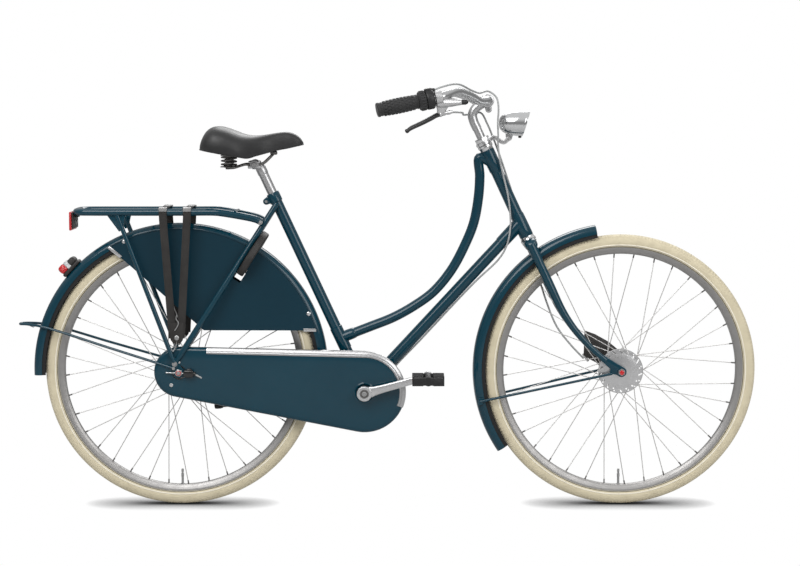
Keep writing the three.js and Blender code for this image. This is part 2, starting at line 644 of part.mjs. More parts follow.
// The platform's bent rails with their bars, and the legs that run down to the drop-outs
function makeCarrier() {
  const { railRadius, half, back, bendFront, frontEnd, frontDrop, tailBend, barRadius } = carrier;
  const height = carrierHeight;
  const tip = seatStay.radius + railRadius + seatGap;
  const stayShare = 1 - (frontEnd + seatStay.eyeletBack) / (stayTop().x + seatStay.eyeletBack);
  const stayHalf = seatStay.topSide + (seatStay.waistSide - seatStay.topSide) * (stayShare / seatStay.waistShare);
  const rail = (side) => [
    at(back + tailBend / 4, side * (half - tailBend / 2), height), at(back + tailBend, side * half, height),
    at(back + 2 * tailBend, side * half, height), at(bendFront - 2 * tailBend, side * half, height),
    at(bendFront - tailBend, side * half, height),
    at((bendFront + frontEnd) / 2, side * (half + stayHalf + tip) / 2, height - frontDrop / 2),
    at(frontEnd, side * (stayHalf + tip), height - frontDrop),
  ];
  const loop = tube([...rail(-1).reverse(), at(back, 0, height), ...rail(1)], railRadius, wireSteps, smallSides);
  const bars = carrier.barShares.map((share) => {
    const x = back + (bendFront - back) * share;
    return rod(at(x, -half, height), at(x, half, height), barRadius, boltSides);
  });
  const [first, last] = [carrier.barShares[0], carrier.barShares[carrier.barShares.length - 1]];
  const inner = carrier.innerShares.map((share) =>
    rod(at(back + (bendFront - back) * first, share * half, height),
      at(back + (bendFront - back) * last, share * half, height), barRadius, boltSides));
  return join(loop, ...bars, ...inner, makeCarrierLeg(1), makeCarrierLeg(-1));
}

function makeCarrierLeg(side) {
  const { half, legTop, legRadius, footRadius, footThickness, plateLength, plateDrop } = carrier;
  const height = carrierHeight;
  const inner = seatDropoutInner(side) + dropout.thickness + dropout.gap;
  const foot = eyelet();
  const middle = inner + footThickness / 2;
  const top = at(legTop, 0, height);
  const neck = between(foot, top, dropout.legReach / foot.distanceTo(top));
  const leg = rod(neck.clone().setY(side * middle), top.clone().setY(side * half), legRadius, smallSides);
  const plate = flatBar(foot, neck, footRadius, legRadius, side * inner, side * (inner + footThickness));
  const gusset = slab([
    flat(at(legTop - plateLength / 3, 0, height)), flat(at(legTop + legRadius, 0, height - plateDrop)),
    flat(at(legTop + plateLength / 2, 0, height - plateDrop)), flat(at(legTop + plateLength / 2, 0, height)),
  ].reverse(), side * (half - footThickness / 2), side * (half + footThickness / 2));
  const eye = rod(foot.clone().setY(side * inner).addScaledVector(left, -side * overrun),
    foot.clone().setY(side * (inner + footThickness)).addScaledVector(left, side * overrun), footRadius / 3, boltSides);
  return cut(join(leg, plate, gusset), eye);
}

// Two rubber bands over the carrier, sewn to a plate low on each side, with a hooked wire below it
function makeStraps() {
  const { width, thickness, tops, plateWidth, plateRise, plateHeight, plateMiddle, plateSpread } = strap;
  const plateBottom = axleHeight + plateRise;
  const plateTop = plateBottom + plateHeight;
  const inner = carrier.half + carrier.railRadius + 2 * seatGap;
  const over = carrierHeight + carrier.railRadius + 2 * seatGap;
  const parts = [];
  for (const side of [-1, 1]) {
    const face = [side * inner, side * (inner + thickness)];
    parts.push(box(at(plateMiddle - plateWidth / 2, face[0], plateBottom), at(plateMiddle + plateWidth / 2, face[1],
      plateTop)));
    tops.forEach((top, index) => {
      const low = plateMiddle + (index === 0 ? -plateSpread : plateSpread);
      const corners = [at(low - width / 2, 0, plateTop - width / 2), at(low + width / 2, 0, plateTop - width / 2),
        at(top + width / 2, 0, over + thickness), at(top - width / 2, 0, over + thickness)];
      parts.push(slab(corners.map(flat), ...face));
    });
    const wire = [-1, 1].map((hand) => rod(
      at(plateMiddle + hand * strap.wireHalf, (face[0] + face[1]) / 2, plateBottom + strap.wireRadius),
      at(plateMiddle, (face[0] + face[1]) / 2, plateBottom - strap.wireDrop), strap.wireRadius, boltSides));
    parts.push(...wire);
  }
  for (const top of tops) {
    parts.push(box(at(top - width / 2, -inner - thickness, over), at(top + width / 2, inner + thickness,
      over + thickness)));
  }
  return join(...parts);
}

// The reflector and the plate that holds it to the carrier's tail
function makeReflector() {
  const { thickness, width, height, drop, backing } = reflector;
  const top = carrierHeight - drop;
  const face = carrier.back - carrier.railRadius - seatGap;
  return box(at(face - thickness, -width / 2, top - height), at(face, width / 2, top + backing));
}

// The lamp on the crown of the rear mudguard, hollowed underneath to fit it
function makeTailLight() {
  const { angle, length, thickness, width, corner } = tailLight;
  const outline = new THREE.Shape([...polygonArc(length / 2, thickness, corner)]);
  const geometry = new THREE.ExtrudeGeometry(outline, { depth: width, bevelEnabled: false });
  geometry.translate(0, 0, -width / 2);
  geometry.rotateX(Math.PI / 2);
  geometry.rotateY(Math.PI / 2 - angle);
  const middle = onRearWheel(mudguardRadius - thickness / 3, angle);
  geometry.translate(middle.x, 0, middle.z);
  const seat = sweepRound([[rimInnerRadius, -width], [mudguardRadius + seatGap, -width],
    [mudguardRadius + seatGap, width], [rimInnerRadius, width]], rearAxleCentre, angle - tailLight.spread,
    angle + tailLight.spread, shortArcSteps);
  return cut(solidOf(geometry), seat);
}

// A low housing seen from the side: flat below, with two rounded upper corners
function polygonArc(half, height, corner) {
  const points = [new THREE.Vector2(-half, 0), new THREE.Vector2(half, 0)];
  for (let i = 0; i <= 3; i += 1) {
    const angle = (i * Math.PI) / 6;
    points.push(new THREE.Vector2(half - corner + corner * Math.cos(angle),
      height * 4 / 3 - corner + corner * Math.sin(angle)));
  }
  for (let i = 3; i >= 0; i -= 1) {
    const angle = (i * Math.PI) / 6;
    points.push(new THREE.Vector2(-half + corner - corner * Math.cos(angle),
      height * 4 / 3 - corner + corner * Math.sin(angle)));
  }
  return points;
}

// A sheet from the mudguard's edge down to a bent lower hem, with a slot for the ring lock
function makeCoatGuard(side) {
  const { sheet, edgeRadius, backAngle, frontAngle, cornerForward, cornerUp, arcSteps, slotGap } = coatGuard;
  const points = [];
  for (let i = 0; i <= arcSteps; i += 1) {
    points.push(flat(onRearWheel(edgeRadius, frontAngle + ((backAngle - frontAngle) * i) / arcSteps)));
  }
  points.push(new THREE.Vector2(cornerForward, axleHeight + cornerUp));
  const inner = mudguard.half + seatGap;
  const sheetSolid = slab(points, side * inner, side * (inner + sheet));
  const { centre, along, across } = lockFrame();
  const { innerRadius, outerRadius, half } = ringLock;
  const corner = (a, b) => flat(centre.clone().addScaledVector(along, a).addScaledVector(across, b));
  const slotTop = -Math.sqrt(innerRadius ** 2 - inner ** 2) + slotGap * 2;
  const slot = slab([
    corner(-outerRadius - slotGap, -half - slotGap), corner(-outerRadius - slotGap, half + slotGap),
    corner(slotTop, half + slotGap), corner(slotTop, -half - slotGap),
  ].reverse(), side * (inner - overrun), side * (inner + overrun));
  return cut(sheetSolid, slot);
}

// The ring lock stands square to the wheel, against the front of the seat stays
function lockFrame() {
  const along = stayTop().sub(eyelet()).normalize();
  const across = at(along.z, 0, -along.x);
  const centre = eyelet().addScaledVector(along, ringLock.up)
    .addScaledVector(across, seatStay.radius + seatGap + ringLock.half);
  return { centre, along, across };
}

// A section of [radius, height] pairs swept round the lock's centre, from the outward direction
function sweepLock(profile, from, to, steps) {
  const { centre, along, across } = lockFrame();
  const rings = [];
  for (let step = 0; step <= steps; step += 1) {
    const angle = from + ((to - from) * step) / steps;
    rings.push(profile.map(([radius, height]) => centre.clone()
      .addScaledVector(along, radius * Math.cos(angle)).addScaledVector(left, radius * Math.sin(angle))
      .addScaledVector(across, height)));
  }
  return loft(rings, profile.map(([radius, height]) => new THREE.Vector2(radius, height)));
}

function roundSection(radius, middle, sides) {
  return polygon(radius, sides, Math.PI / sides).map((corner) => [middle + corner.x, corner.y]);
}

function makeLockHousing() {
  const { innerRadius, outerRadius, half, armEnd, boreRadius, track, slotHalf, channelStart, socketEnd } = ringLock;
  const section = [[innerRadius, -half], [outerRadius, -half], [outerRadius, half], [innerRadius, half]];
  const body = sweepLock(section, -armEnd, armEnd, lockSteps);
  const past = armEnd + 1 / 5;
  const channel = sweepLock(roundSection(boreRadius, track, smallSides), channelStart, past, shortArcSteps);
  const slotSection = [[track, -slotHalf], [outerRadius + overrun, -slotHalf], [outerRadius + overrun, slotHalf],
    [track, slotHalf]];
  const slot = sweepLock(slotSection, channelStart, past, shortArcSteps);
  const socket = sweepLock(roundSection(boreRadius, track, smallSides), -past, socketEnd, 2);
  return cut(body, channel, slot, socket);
}

function makeLockShackle() {
  const { shackleRadius, shackleStart, shackleEnd, track, knobReach, knobWidth, knobHalf } = ringLock;
  const bow = sweepLock(roundSection(shackleRadius, track, smallSides), shackleStart, shackleEnd, shortArcSteps);
  const knobTurn = knobWidth / track;
  const knob = sweepLock([[track, -knobHalf], [knobReach, -knobHalf], [knobReach, knobHalf], [track, knobHalf]],
    shackleStart, shackleStart + knobTurn, 1);
  return join(bow, knob);
}

// Chain drive
function pitchRadius(teeth) {
  return sprocket.pitch / (2 * Math.sin(Math.PI / teeth));
}

// A toothed disc's outline, one point for each flank
function toothOutline(centre, teeth, depth) {
  const outer = pitchRadius(teeth) - chain.play;
  const points = [];
  for (let i = 0; i < teeth; i += 1) {
    for (const [share, radius] of [[0, outer], [0.5, outer - depth]]) {
      const angle = ((i + share) * 2 * Math.PI) / teeth;
      points.push(new THREE.Vector2(centre.x + radius * Math.cos(angle), centre.z + radius * Math.sin(angle)));
    }
  }
  return points;
}

function circleOutline(centre, radius, sides) {
  return polygon(radius, sides).map((corner) => new THREE.Vector2(centre.x + corner.x, centre.z + corner.y));
}

function makeChain() {
  const rear = pitchRadius(sprocket.teeth);
  const front = pitchRadius(chainring.teeth);
  const belt = (swell) => beltOutline(rearAxleCentre, rear + swell, bracketCentre, front + swell, chain.arcSteps);
  return slab(belt(chain.height), -chainLine - chain.width / 2, -chainLine + chain.width / 2, [belt(0).reverse()]);
}

// The case's outer half: a face with a deep rim, open at the axle and at the crank
function makeCaseOuter() {
  const { rearRadius, frontRadius, sheet, innerFace, outerFace, rearSlotFront, rearSlotHalf, frontHole } = chainCase;
  const outline = (inset) => beltOutline(rearAxleCentre, rearRadius - inset, bracketCentre, frontRadius - inset, caseSteps);
  const body = slab(outline(0), -outerFace, -innerFace - sheet - seatGap);
  const hollow = slab(outline(sheet), -outerFace + sheet, overrun);
  const slotFront = rearAxleCentre.clone().add(at(rearSlotFront - rearSlotHalf, 0, 0));
  const rearSlot = flatBar(rearAxleCentre, slotFront, rearSlotHalf, rearSlotHalf, -outerFace - overrun, 0);
  const crankHole = slab(circleOutline(bracketCentre, frontHole, hubSides), -outerFace - overrun, 0);
  return cut(body, hollow, rearSlot, crankHole);
}

// The inner half: a flat wall with a hole for the hub and a long slot for the chain stay
function makeCaseInner() {
  const { rearRadius, frontRadius, sheet, innerFace, staySlotFront, staySlotRise, staySlotBack } = chainCase;
  const outline = beltOutline(rearAxleCentre, rearRadius, bracketCentre, frontRadius, caseSteps);
  const body = slab(outline, -innerFace, -innerFace - sheet);
  const onStay = (x) => between(rearAxleCentre, bracketCentre, x / bracketForward);
  const slot = flatBar(onStay(-staySlotBack + staySlotRise), onStay(staySlotFront), staySlotBack, staySlotRise,
    0, -innerFace - overrun);
  const hole = slab(circleOutline(bracketCentre, bracketShell.bore + seatGap, hubSides), 0, -innerFace - overrun);
  return cut(body, slot, hole);
}

function makeRearAxle() {
  const { radius, nutRadius, nutThickness, end, spacerRadius } = rearAxle;
  const outer = (side) => seatDropoutInner(side) + dropout.thickness + seatGap;
  const tip = (side) => rearAxleCentre.clone().setY(side * (outer(side) + nutThickness + end));
  const nut = (side) => rod(rearAxleCentre.clone().setY(side * outer(side)),
    rearAxleCentre.clone().setY(side * (outer(side) + nutThickness)), nutRadius, boltSides);
  const spacer = (side, from) => rod(rearAxleCentre.clone().setY(side * from),
    rearAxleCentre.clone().setY(side * (rearHubWidth / 2 - seatGap)), spacerRadius, hubSides);
  const reach = rearAxle.brakeArmReach;
  const armEnd = rearAxleCentre.clone().add(at(reach, 0, -rearAxle.brakeArmDrop));
  const arm = flatBar(rearAxleCentre, armEnd, rearAxle.brakeDiscRadius, rearAxle.brakeArmWidth / 2,
    rearAxle.brakeArmInner, rearAxle.brakeArmInner + rearAxle.brakeArmThickness);
  return join(rod(tip(-1), tip(1), radius, smallSides), nut(-1), nut(1),
    spacer(-1, sprocket.bossOuter + runningGap), spacer(1, rearAxle.brakeArmInner), arm);
}

function makeShiftBox() {
  const { back, front, height, drop, inner, outer, edge } = shiftBox;
  const middle = axleHeight - drop;
  const corners = [
    new THREE.Vector2(back, middle - height / 2), new THREE.Vector2(front - edge, middle - height / 2),
    new THREE.Vector2(front, middle - height / 2 + edge), new THREE.Vector2(front, middle + height / 2 - edge),
    new THREE.Vector2(front - edge, middle + height / 2), new THREE.Vector2(back, middle + height / 2),
  ];
  const body = slab(corners, -inner, -outer);
  const nutRoom = rod(rearAxleCentre.clone().setY(-outer - overrun), rearAxleCentre,
    dropout.radius + seatGap, hubSides);
  return cut(body, nutRoom);
}

function makeStand() {
  const pivot = bracketCentre.clone().add(at(-stand.pivotBack, stand.pivotSide, -stand.pivotDrop));
  const foot = at(stand.foldedAhead, stand.foldedOut, axleHeight - stand.foldedDrop);
  const reach = foot.distanceTo(pivot);
  const swing = at(0, stand.deployedOut - pivot.y, stand.deployedHeight - pivot.z);
  swing.x = Math.sqrt(reach ** 2 - swing.lengthSq());
  const change = foot.clone().sub(pivot).sub(swing);
  const axis = at(-change.y, change.x, 0).normalize();
  const boss = rod(pivot.clone().addScaledVector(axis, -stand.bossHalf),
    pivot.clone().addScaledVector(axis, stand.bossHalf), stand.bossRadius, hubSides);
  const heel = between(foot, pivot, stand.footLength / reach);
  return join(boss, rod(pivot, heel, stand.legRadius, smallSides), rod(heel, foot, stand.footRadius, smallSides));
}

// Steering
const steering = new THREE.Group();

// The crown joins the blades, carries the steerer and holds the mudguard by a lug underneath
function makeCrown() {
  const { bottom, depth, shoulder, lugRadius, lugDepth } = crown;
  const top = headTube.cupBottom - seatGap;
  const out = forkBlade.spread + forkBlade.radius;
  const outline = [[-out, 0], [-out + shoulder, 1], [out - shoulder, 1], [out, 0]];
  const rows = [-depth / 2, depth / 2].map((forward) => [
    onColumn(forward, -out, bottom), onColumn(forward, out, bottom), onColumn(forward, out - shoulder, top),
    onColumn(forward, -out + shoulder, top),
  ]);
  const shape = [outline[0], outline[3], outline[2], outline[1]].map(([a, b]) => new THREE.Vector2(a, b));
  const block = loft(rows, shape);
  const tubeBody = rod(onColumn(0, 0, bottom), onColumn(0, 0, steerer.top), steerer.radius, hubSides);
  const lug = rod(onColumn(0, 0, bottom - lugDepth), onColumn(0, 0, bottom + shoulder), lugRadius, boltSides);
  const seat = mudguardRadius + seatGap;
  const guardRoom = sweepRound([[rimInnerRadius, -lugRadius * 2], [seat, -lugRadius * 2], [seat, lugRadius * 2],
    [rimInnerRadius, lugRadius * 2]], frontAxleCentre, frontMudguard.tip, frontMudguard.tail, frontMudguard.steps);
  const bore = rod(onColumn(0, 0, stem.bottom - steerer.quillRoom), onColumn(0, 0, steerer.top + overrun),
    stem.quillRadius + seatGap, hubSides);
  return cut(join(block, tubeBody, cut(lug, guardRoom)), bore);
}

// A blade runs straight down beside the wheel and then curves forward to its drop-out
function makeForkBlade(side) {
  const { top, radius, bendStart, dropoutRadius, dropoutThickness, tipShare } = forkBlade;
  const inner = frontHubWidth / 2;
  const tipSide = inner + dropoutThickness / 2;
  const route = [];
  const steps = 10;
  for (let i = 0; i <= steps; i += 1) {
    const height = top * (1 - (i / steps) * (1 - tipShare));
    const bend = Math.max(0, (bendStart - height) / bendStart);
    const out = forkBlade.spread + (tipSide - forkBlade.spread) * (1 - height / top);
    route.push(onColumn(forkRake * bend ** 2, side * out, height));
  }
  const rings = route.map((point, index) => {
    const next = route[Math.min(index + 1, steps)];
    const before = route[Math.max(index - 1, 0)];
    const along = next.clone().sub(before).normalize();
    const sideways = left.clone().addScaledVector(along, -along.y).normalize();
    const forward = sideways.clone().cross(along).normalize();
    const size = radius + (forkBlade.tipRadius - radius) * Math.max(0, index / steps - 1 / 3) * 1.5;
    return polygon(size, tubeSides).map((corner) =>
      point.clone().addScaledVector(forward, corner.x).addScaledVector(sideways, corner.y));
  });
  const blade = loft(rings, polygon(radius, tubeSides));
  const plate = flatBar(frontAxleCentre, route[steps], dropoutRadius, forkBlade.tipRadius, side * inner,
    side * (inner + dropoutThickness));
  const hole = rod(frontAxleCentre.clone().setY(-frontHubWidth), frontAxleCentre.clone().setY(frontHubWidth),
    frontAxle.radius + seatGap, smallSides);
  const crownFloor = loft([-frontHubWidth, frontHubWidth].map((out) => [
    onColumn(-frontHubWidth, out, crown.bottom - seatGap), onColumn(frontHubWidth, out, crown.bottom - seatGap),
    onColumn(frontHubWidth, out, headTube.top), onColumn(-frontHubWidth, out, headTube.top),
  ]), [[0, 0], [1, 0], [1, 1], [0, 1]].map(([a, b]) => new THREE.Vector2(a, b)));
  return cut(join(blade, plate), hole, crownFloor);
}

function frontAxlePoint(side, out) {
  return frontAxleCentre.clone().setY(side * out);
}

function makeFrontAxle() {
  const { radius, nutRadius, nutThickness, end } = frontAxle;
  const outer = frontHubWidth / 2 + forkBlade.dropoutThickness + seatGap;
  const nut = (side) => rod(frontAxlePoint(side, outer), frontAxlePoint(side, outer + nutThickness), nutRadius,
    boltSides);
  const collar = rod(frontAxlePoint(-1, frontHub.rightEnd + runningGap),
    frontAxlePoint(-1, frontHubWidth / 2 - seatGap), frontHub.collarRadius, hubSides);
  return join(rod(frontAxlePoint(-1, outer + nutThickness + end), frontAxlePoint(1, outer + nutThickness + end),
    radius, smallSides), nut(-1), nut(1), collar);
}

// The still half of the hub brake, with the arm that leans on the left fork blade
function makeFrontBrake() {
  const { radius, thickness, armWidth, armThickness, armUp, armBack, lugRadius } = frontBrake;
  const inner = frontHub.leftEnd + runningGap;
  const face = inner + thickness;
  const body = slab(circleOutline(frontAxleCentre, radius, lampSides), inner, face);
  const armEnd = onColumn(-armBack - lugRadius, 0, armUp);
  const arm = flatBar(frontAxleCentre, armEnd, armWidth / 2, lugRadius, inner, inner + armThickness);
  const hole = rod(frontAxlePoint(-1, 0), frontAxlePoint(1, frontHubWidth), frontAxle.radius + seatGap, smallSides);
  return cut(join(body, arm), hole);
}

function makeFrontMudguard() {
  return sweepRound(mudguardProfile(), frontAxleCentre, frontMudguard.tip, frontMudguard.tail, frontMudguard.steps);
}

// One wire from a drop-out eyelet round the back of the front mudguard to the other eyelet
function makeFrontWire() {
  const { radius, sideAngle, eyeletBack, eyeletUp } = frontWire;
  const beside = mudguard.half + 2 * radius;
  const start = frontAxleCentre.clone().add(at(-eyeletBack, 0, eyeletUp));
  const outer = frontHubWidth / 2 + forkBlade.dropoutThickness + radius + seatGap;
  const edge = onFrontWheel(mudguardRadius - mudguard.depth / 2, sideAngle);
  const corner = onFrontWheel(mudguardRadius - mudguard.shoulderDrop, sideAngle);
  const over = onFrontWheel(mudguardRadius + radius + 2 * seatGap, sideAngle);
  const half = (side) => [start.clone().setY(side * outer), between(start, edge, 0.5).setY(side * (outer + beside) / 2),
    edge.clone().setY(side * beside), corner.clone().setY(side * beside),
    over.clone().setY(side * (mudguard.shoulderHalf + radius))];
  return tube([...half(-1), ...half(1).reverse()], radius, wireSteps, boltSides);
}

function makeLocknut() {
  const { radius, top, washerRadius, washerThickness } = locknut;
  const bottom = headTube.cupTop + seatGap;
  const bore = steerer.radius + seatGap;
  const nut = ring([[bore, bottom], [washerRadius, bottom], [washerRadius, bottom + washerThickness],
    [radius, bottom + washerThickness], [radius, top], [bore, top]], hubSides, columnFoot, column);
  const pin = lampPin();
  const root = onColumn(bore + lampBracket.thickness, 0, bottom + washerThickness);
  const half = lampBracket.width / 2;
  const bracket = flatBar(root, pin, washerThickness / 2, lamp.earRadius, -half, half);
  const earRoom = rod(pin.clone().setY(-lamp.earThickness / 2 - lampBracket.earGap),
    pin.clone().setY(lamp.earThickness / 2 + lampBracket.earGap), lamp.earRadius + lampBracket.thickness, hubSides);
  const steererRoom = rod(onColumn(0, 0, headTube.top), onColumn(0, 0, top + overrun), bore, hubSides);
  return cut(join(nut, bracket), earRoom, steererRoom);
}

// A point of the lamp: so far along its axis from its back end, and above the axis
function onLamp(along, rise = 0) {
  return onColumn(0, 0, headTube.cupTop).add(at(lamp.forward + along, 0, lamp.rise + rise));
}

function lampPin() {
  return onLamp(lamp.length - lamp.pinBack, -lamp.pinDrop);
}

// The quill with its bent neck, and the clamp with one ear that grips the bar
function makeStem() {
  const { quillRadius, bottom, top, armRadius, clampRadius, clampHalf, earLength, earThickness, earWidth } = stem;
  const quill = rod(onColumn(0, 0, bottom), onColumn(0, 0, top - clampRadius), quillRadius, hubSides);
  const neck = tube([onColumn(0, 0, top - 3 * clampRadius), onColumn(0, 0, top - clampRadius),
    onColumn(stem.wedge, 0, top), onColumn(stem.reach / 2, 0, (top + stem.rise) / 2 + stem.wedge), clampCentre],
  armRadius, bendSteps);
  const shell = rod(clampCentre.clone().setY(-clampHalf), clampCentre.clone().setY(clampHalf), clampRadius, lampSides);
  const down = clampCentre.clone().addScaledVector(column, -earLength).addScaledVector(ahead, -earThickness);
  const ear = flatBar(clampCentre, down, earThickness, earThickness, -earWidth / 2, earWidth / 2);
  return cut(join(quill, neck, shell, ear), barSolid(bar.radius + seatGap));
}

// The bar's route on one side: round the bend, then straight along the grip
function barSide(side) {
  return barRoute.map(([back, out, high]) => clampCentre.clone().add(at(-back, side * out, high)));
}

function gripStart(side) {
  return clampCentre.clone().add(at(-bar.gripBack, side * bar.gripSide, bar.gripRise));
}

function barEnd(side) {
  return clampCentre.clone().add(at(-bar.endBack, side * bar.endSide, -bar.endDrop));
}

function gripLine(side) {
  return barEnd(side).sub(gripStart(side)).normalize();
}

// A point so far along the grip's straight line from where the line starts
function onGrip(side, distance) {
  return gripStart(side).addScaledVector(gripLine(side), distance);
}

function gripLength() {
  return barEnd(1).distanceTo(gripStart(1));
}

// The whole bar, or a thicker copy of it as a cutter for what sits on it
function barSolid(radius) {
  const inside = gripLength() - grip.cap - seatGap;
  const half = (side) => [...barSide(side), onGrip(side, -bar.straightLead), onGrip(side, -bar.straightLead / 2),
    onGrip(side, 0), onGrip(side, inside / 2), onGrip(side, inside)];
  return tube([...half(-1).reverse(), clampCentre, ...half(1)], radius, barSteps, smallSides);
}

// A palm-shaped rubber grip, closed at its outer end
function makeGrip(side, length) {
  const { innerRadius, bulgeRadius, tipRadius, cap } = grip;
  const bore = bar.radius + seatGap;
  const start = gripLength() - length;
  const floor = gripLength() - cap;
  return turned([
    [bore, start], [innerRadius, start], [innerRadius, start + length / 5], [bulgeRadius, start + length / 2],
    [tipRadius, start + length * 0.88], [innerRadius + cap, gripLength()], [0, gripLength()], [0, floor], [bore, floor],
    [bore, start],
  ], gripSides, gripStart(side), gripLine(side));
}

function makeShifter() {
  const { radius, shoulder, length } = shifter;
  const bore = bar.radius + runningGap;
  const end = gripLength() - grip.length - seatGap;
  const start = end - length;
  return ring([
    [bore, start], [radius - shoulder, start], [radius, start + shoulder], [radius, end - shoulder],
    [radius - shoulder, end], [bore, end],
  ], lampSides, gripStart(-1), gripLine(-1));
}

// Where the lever body's ring starts along the right grip's line, just inboard of the shifter
function leverRingStart() {
  return gripLength() - grip.length - shifter.length - leverBody.fromGrip - leverBody.length;
}

function leverFrame() {
  const along = gripLine(-1);
  const down = up.clone().negate().addScaledVector(along, along.z).normalize();
  const forward = down.clone().cross(along).normalize();
  const reach = down.clone().multiplyScalar(Math.cos(leverBody.lean))
    .addScaledVector(forward, Math.sin(leverBody.lean));
  const middle = onGrip(-1, leverRingStart() + leverBody.length / 2);
  const pin = middle.clone().addScaledVector(reach, leverBody.perchReach);
  const hinge = along.clone().cross(reach).normalize();
  return { along, reach, pin, hinge, middle };
}

// A round bar through the lever's pin, so far to each side of it
function acrossPin(half, radius, sides) {
  const { pin, hinge } = leverFrame();
  return rod(pin.clone().addScaledVector(hinge, -half), pin.clone().addScaledVector(hinge, half), radius, sides);
}

// A ring round the bar with a post that ends in two ears, and the pin through them
function makeLeverBody() {
  const { along, reach, middle } = leverFrame();
  const { length, radius, perchRadius, perchReach, pinRadius, ear } = leverBody;
  const start = leverRingStart();
  const band = rod(onGrip(-1, start), onGrip(-1, start + length), radius, hubSides);
  const pin = middle.clone().addScaledVector(reach, perchReach);
  const perch = rod(middle, pin, perchRadius, smallSides);
  const room = acrossPin(lever.thickness / 2 + runningGap, ear + overrun, hubSides);
  const root = rod(middle, middle.clone().addScaledVector(reach, perchReach - ear - runningGap), radius + overrun,
    smallSides);
  const body = join(band, perch, acrossPin(ear, ear, smallSides));
  return join(cut(body, barSolid(bar.radius + seatGap), cut(room, root)),
    acrossPin(ear - seatGap, pinRadius, smallSides));
}

// The blade starts at its pin and runs out below the grip, bent a little at the tip
function makeLever() {
  const { along, reach, pin, hinge } = leverFrame();
  const { width, thickness, tip, boss } = lever;
  const square = [[-1, -1], [1, -1], [1, 1], [-1, 1]];
  const rings = leverShares.map(([share, away]) => square.map(([a, b]) => pin.clone()
    .addScaledVector(along, lever.reach * share)
    .addScaledVector(reach, lever.reach * away + (a * (width + (tip - width) * share)) / 2)
    .addScaledVector(hinge, (b * thickness) / 2)));
  const blade = loft(rings, square.map(([a, b]) => new THREE.Vector2(a, b)));
  return cut(join(blade, acrossPin(thickness / 2, boss, hubSides)),
    acrossPin(leverBody.ear, leverBody.pinRadius + runningGap, smallSides));
}

// The half space ahead of the lamp's raked mouth, moved out by an offset
function lampMouth(offset) {
  const out = at(Math.cos(lamp.rake), 0, -Math.sin(lamp.rake));
  const upward = at(Math.sin(lamp.rake), 0, Math.cos(lamp.rake));
  const middle = onLamp(lamp.length).addScaledVector(out, offset);
  const far = lamp.length;
  const corners = [[0, -far], [far, -far], [far, far], [0, far]].map(([a, b]) =>
    flat(middle.clone().addScaledVector(out, a).addScaledVector(upward, b)));
  return slab(corners, -far, far);
}

// The bullet that the lamp is cut from, shrunk by an inset
function lampBody(inset) {
  const radius = lamp.radius - inset;
  const length = lamp.length + lamp.radius;
  const profile = lampShares.map(([out, along]) => [radius * out, length * along]);
  return turned([[0, 0], ...profile, [0, length]], lampSides, onLamp(inset), at(1, 0, 0));
}

function makeLampShell() {
  const { earRadius, earThickness, pinDrop } = lamp;
  const pin = lampPin();
  const post = flatBar(pin, pin.clone().add(at(0, 0, pinDrop / 2)), earRadius, earRadius, -earThickness / 2,
    earThickness / 2);
  return cut(join(lampBody(0), post), lampMouth(0), lampBody(lamp.wall));
}

// The glass fills the mouth, and bulges no further than the rim
function makeLampLens() {
  const { wall, length, lensBack } = lamp;
  const back = onLamp(length - lensBack);
  const behind = box(back.clone().add(at(-length, -length, -length)), back.clone().add(at(0, length, length)));
  return cut(lampBody(wall + seatGap), lampMouth(-wall), behind);
}

// Wheels are made round the origin and placed on their axles
function makeRim() {
  const { floorDepth, innerHalf, outerHalf, wall } = rim;
  const [innerRadius, outerRadius, floorRadius] = [rimInnerRadius, rimOuterRadius, rimOuterRadius - floorDepth];
  const floorHalf = outerHalf - 2 * wall;
  return ring([
    [innerRadius, -innerHalf], [innerRadius, innerHalf], [outerRadius, outerHalf], [outerRadius, outerHalf - wall],
    [floorRadius, floorHalf], [floorRadius, -floorHalf], [outerRadius, wall - outerHalf], [outerRadius, -outerHalf],
  ], wheelSides, at(0, 0, 0), left, Math.PI / wheelSides);
}

function makeTyre() {
  const { wall, treadHalf, shoulderDrop, shoulderHalf, beltDrop } = tyre;
  const seat = rimOuterRadius + seatGap;
  const half = [
    [tyreRadius, treadHalf], [tyreRadius - shoulderDrop, shoulderHalf], [tyreRadius - beltDrop, tyreWidth / 2],
    [seat, rim.outerHalf], [seat, rim.outerHalf - wall], [tyreRadius - beltDrop, tyreWidth / 2 - wall],
    [tyreRadius - wall, treadHalf],
  ];
  const mirror = half.map(([radius, side]) => [radius, -side]).reverse();
  return ring([...half, ...mirror], wheelSides, at(0, 0, 0), left, Math.PI / wheelSides);
}

// Spokes lean forwards and backwards in turn, heads outside and inside the flange
function makeSpokes() {
  const end = rimInnerRadius * Math.cos(Math.PI / wheelSides) - seatGap;
  const solids = [];
  for (let i = 0; i < spoke.count; i += 1) {
    const side = i % 2 === 0 ? 1 : -1;
    const lead = i % 4 < 2 ? 1 : -1;
    const angle = spoke.phase + (i * 2 * Math.PI) / spoke.count;
    const headAngleHere = angle + lead * spoke.hubTurn;
    const headSide = side * (flange.middle + lead * spoke.headOffset);
    solids.push(rod(
      at(flange.holeRadius * Math.cos(headAngleHere), headSide, flange.holeRadius * Math.sin(headAngleHere)),
      at(end * Math.cos(angle), side * spoke.rimOffset, end * Math.sin(angle)), spoke.radius, spokeSides));
  }
  return join(...solids);
}

function flangeSteps(side, barrelRadius) {
  const steps = [[barrelRadius, flange.middle + flange.thickness / 2], [flange.radius, flange.middle
    + flange.thickness / 2], [flange.radius, flange.middle - flange.thickness / 2],
  [barrelRadius, flange.middle - flange.thickness / 2]];
  return side > 0 ? steps.reverse() : steps.map(([radius, out]) => [radius, -out]);
}

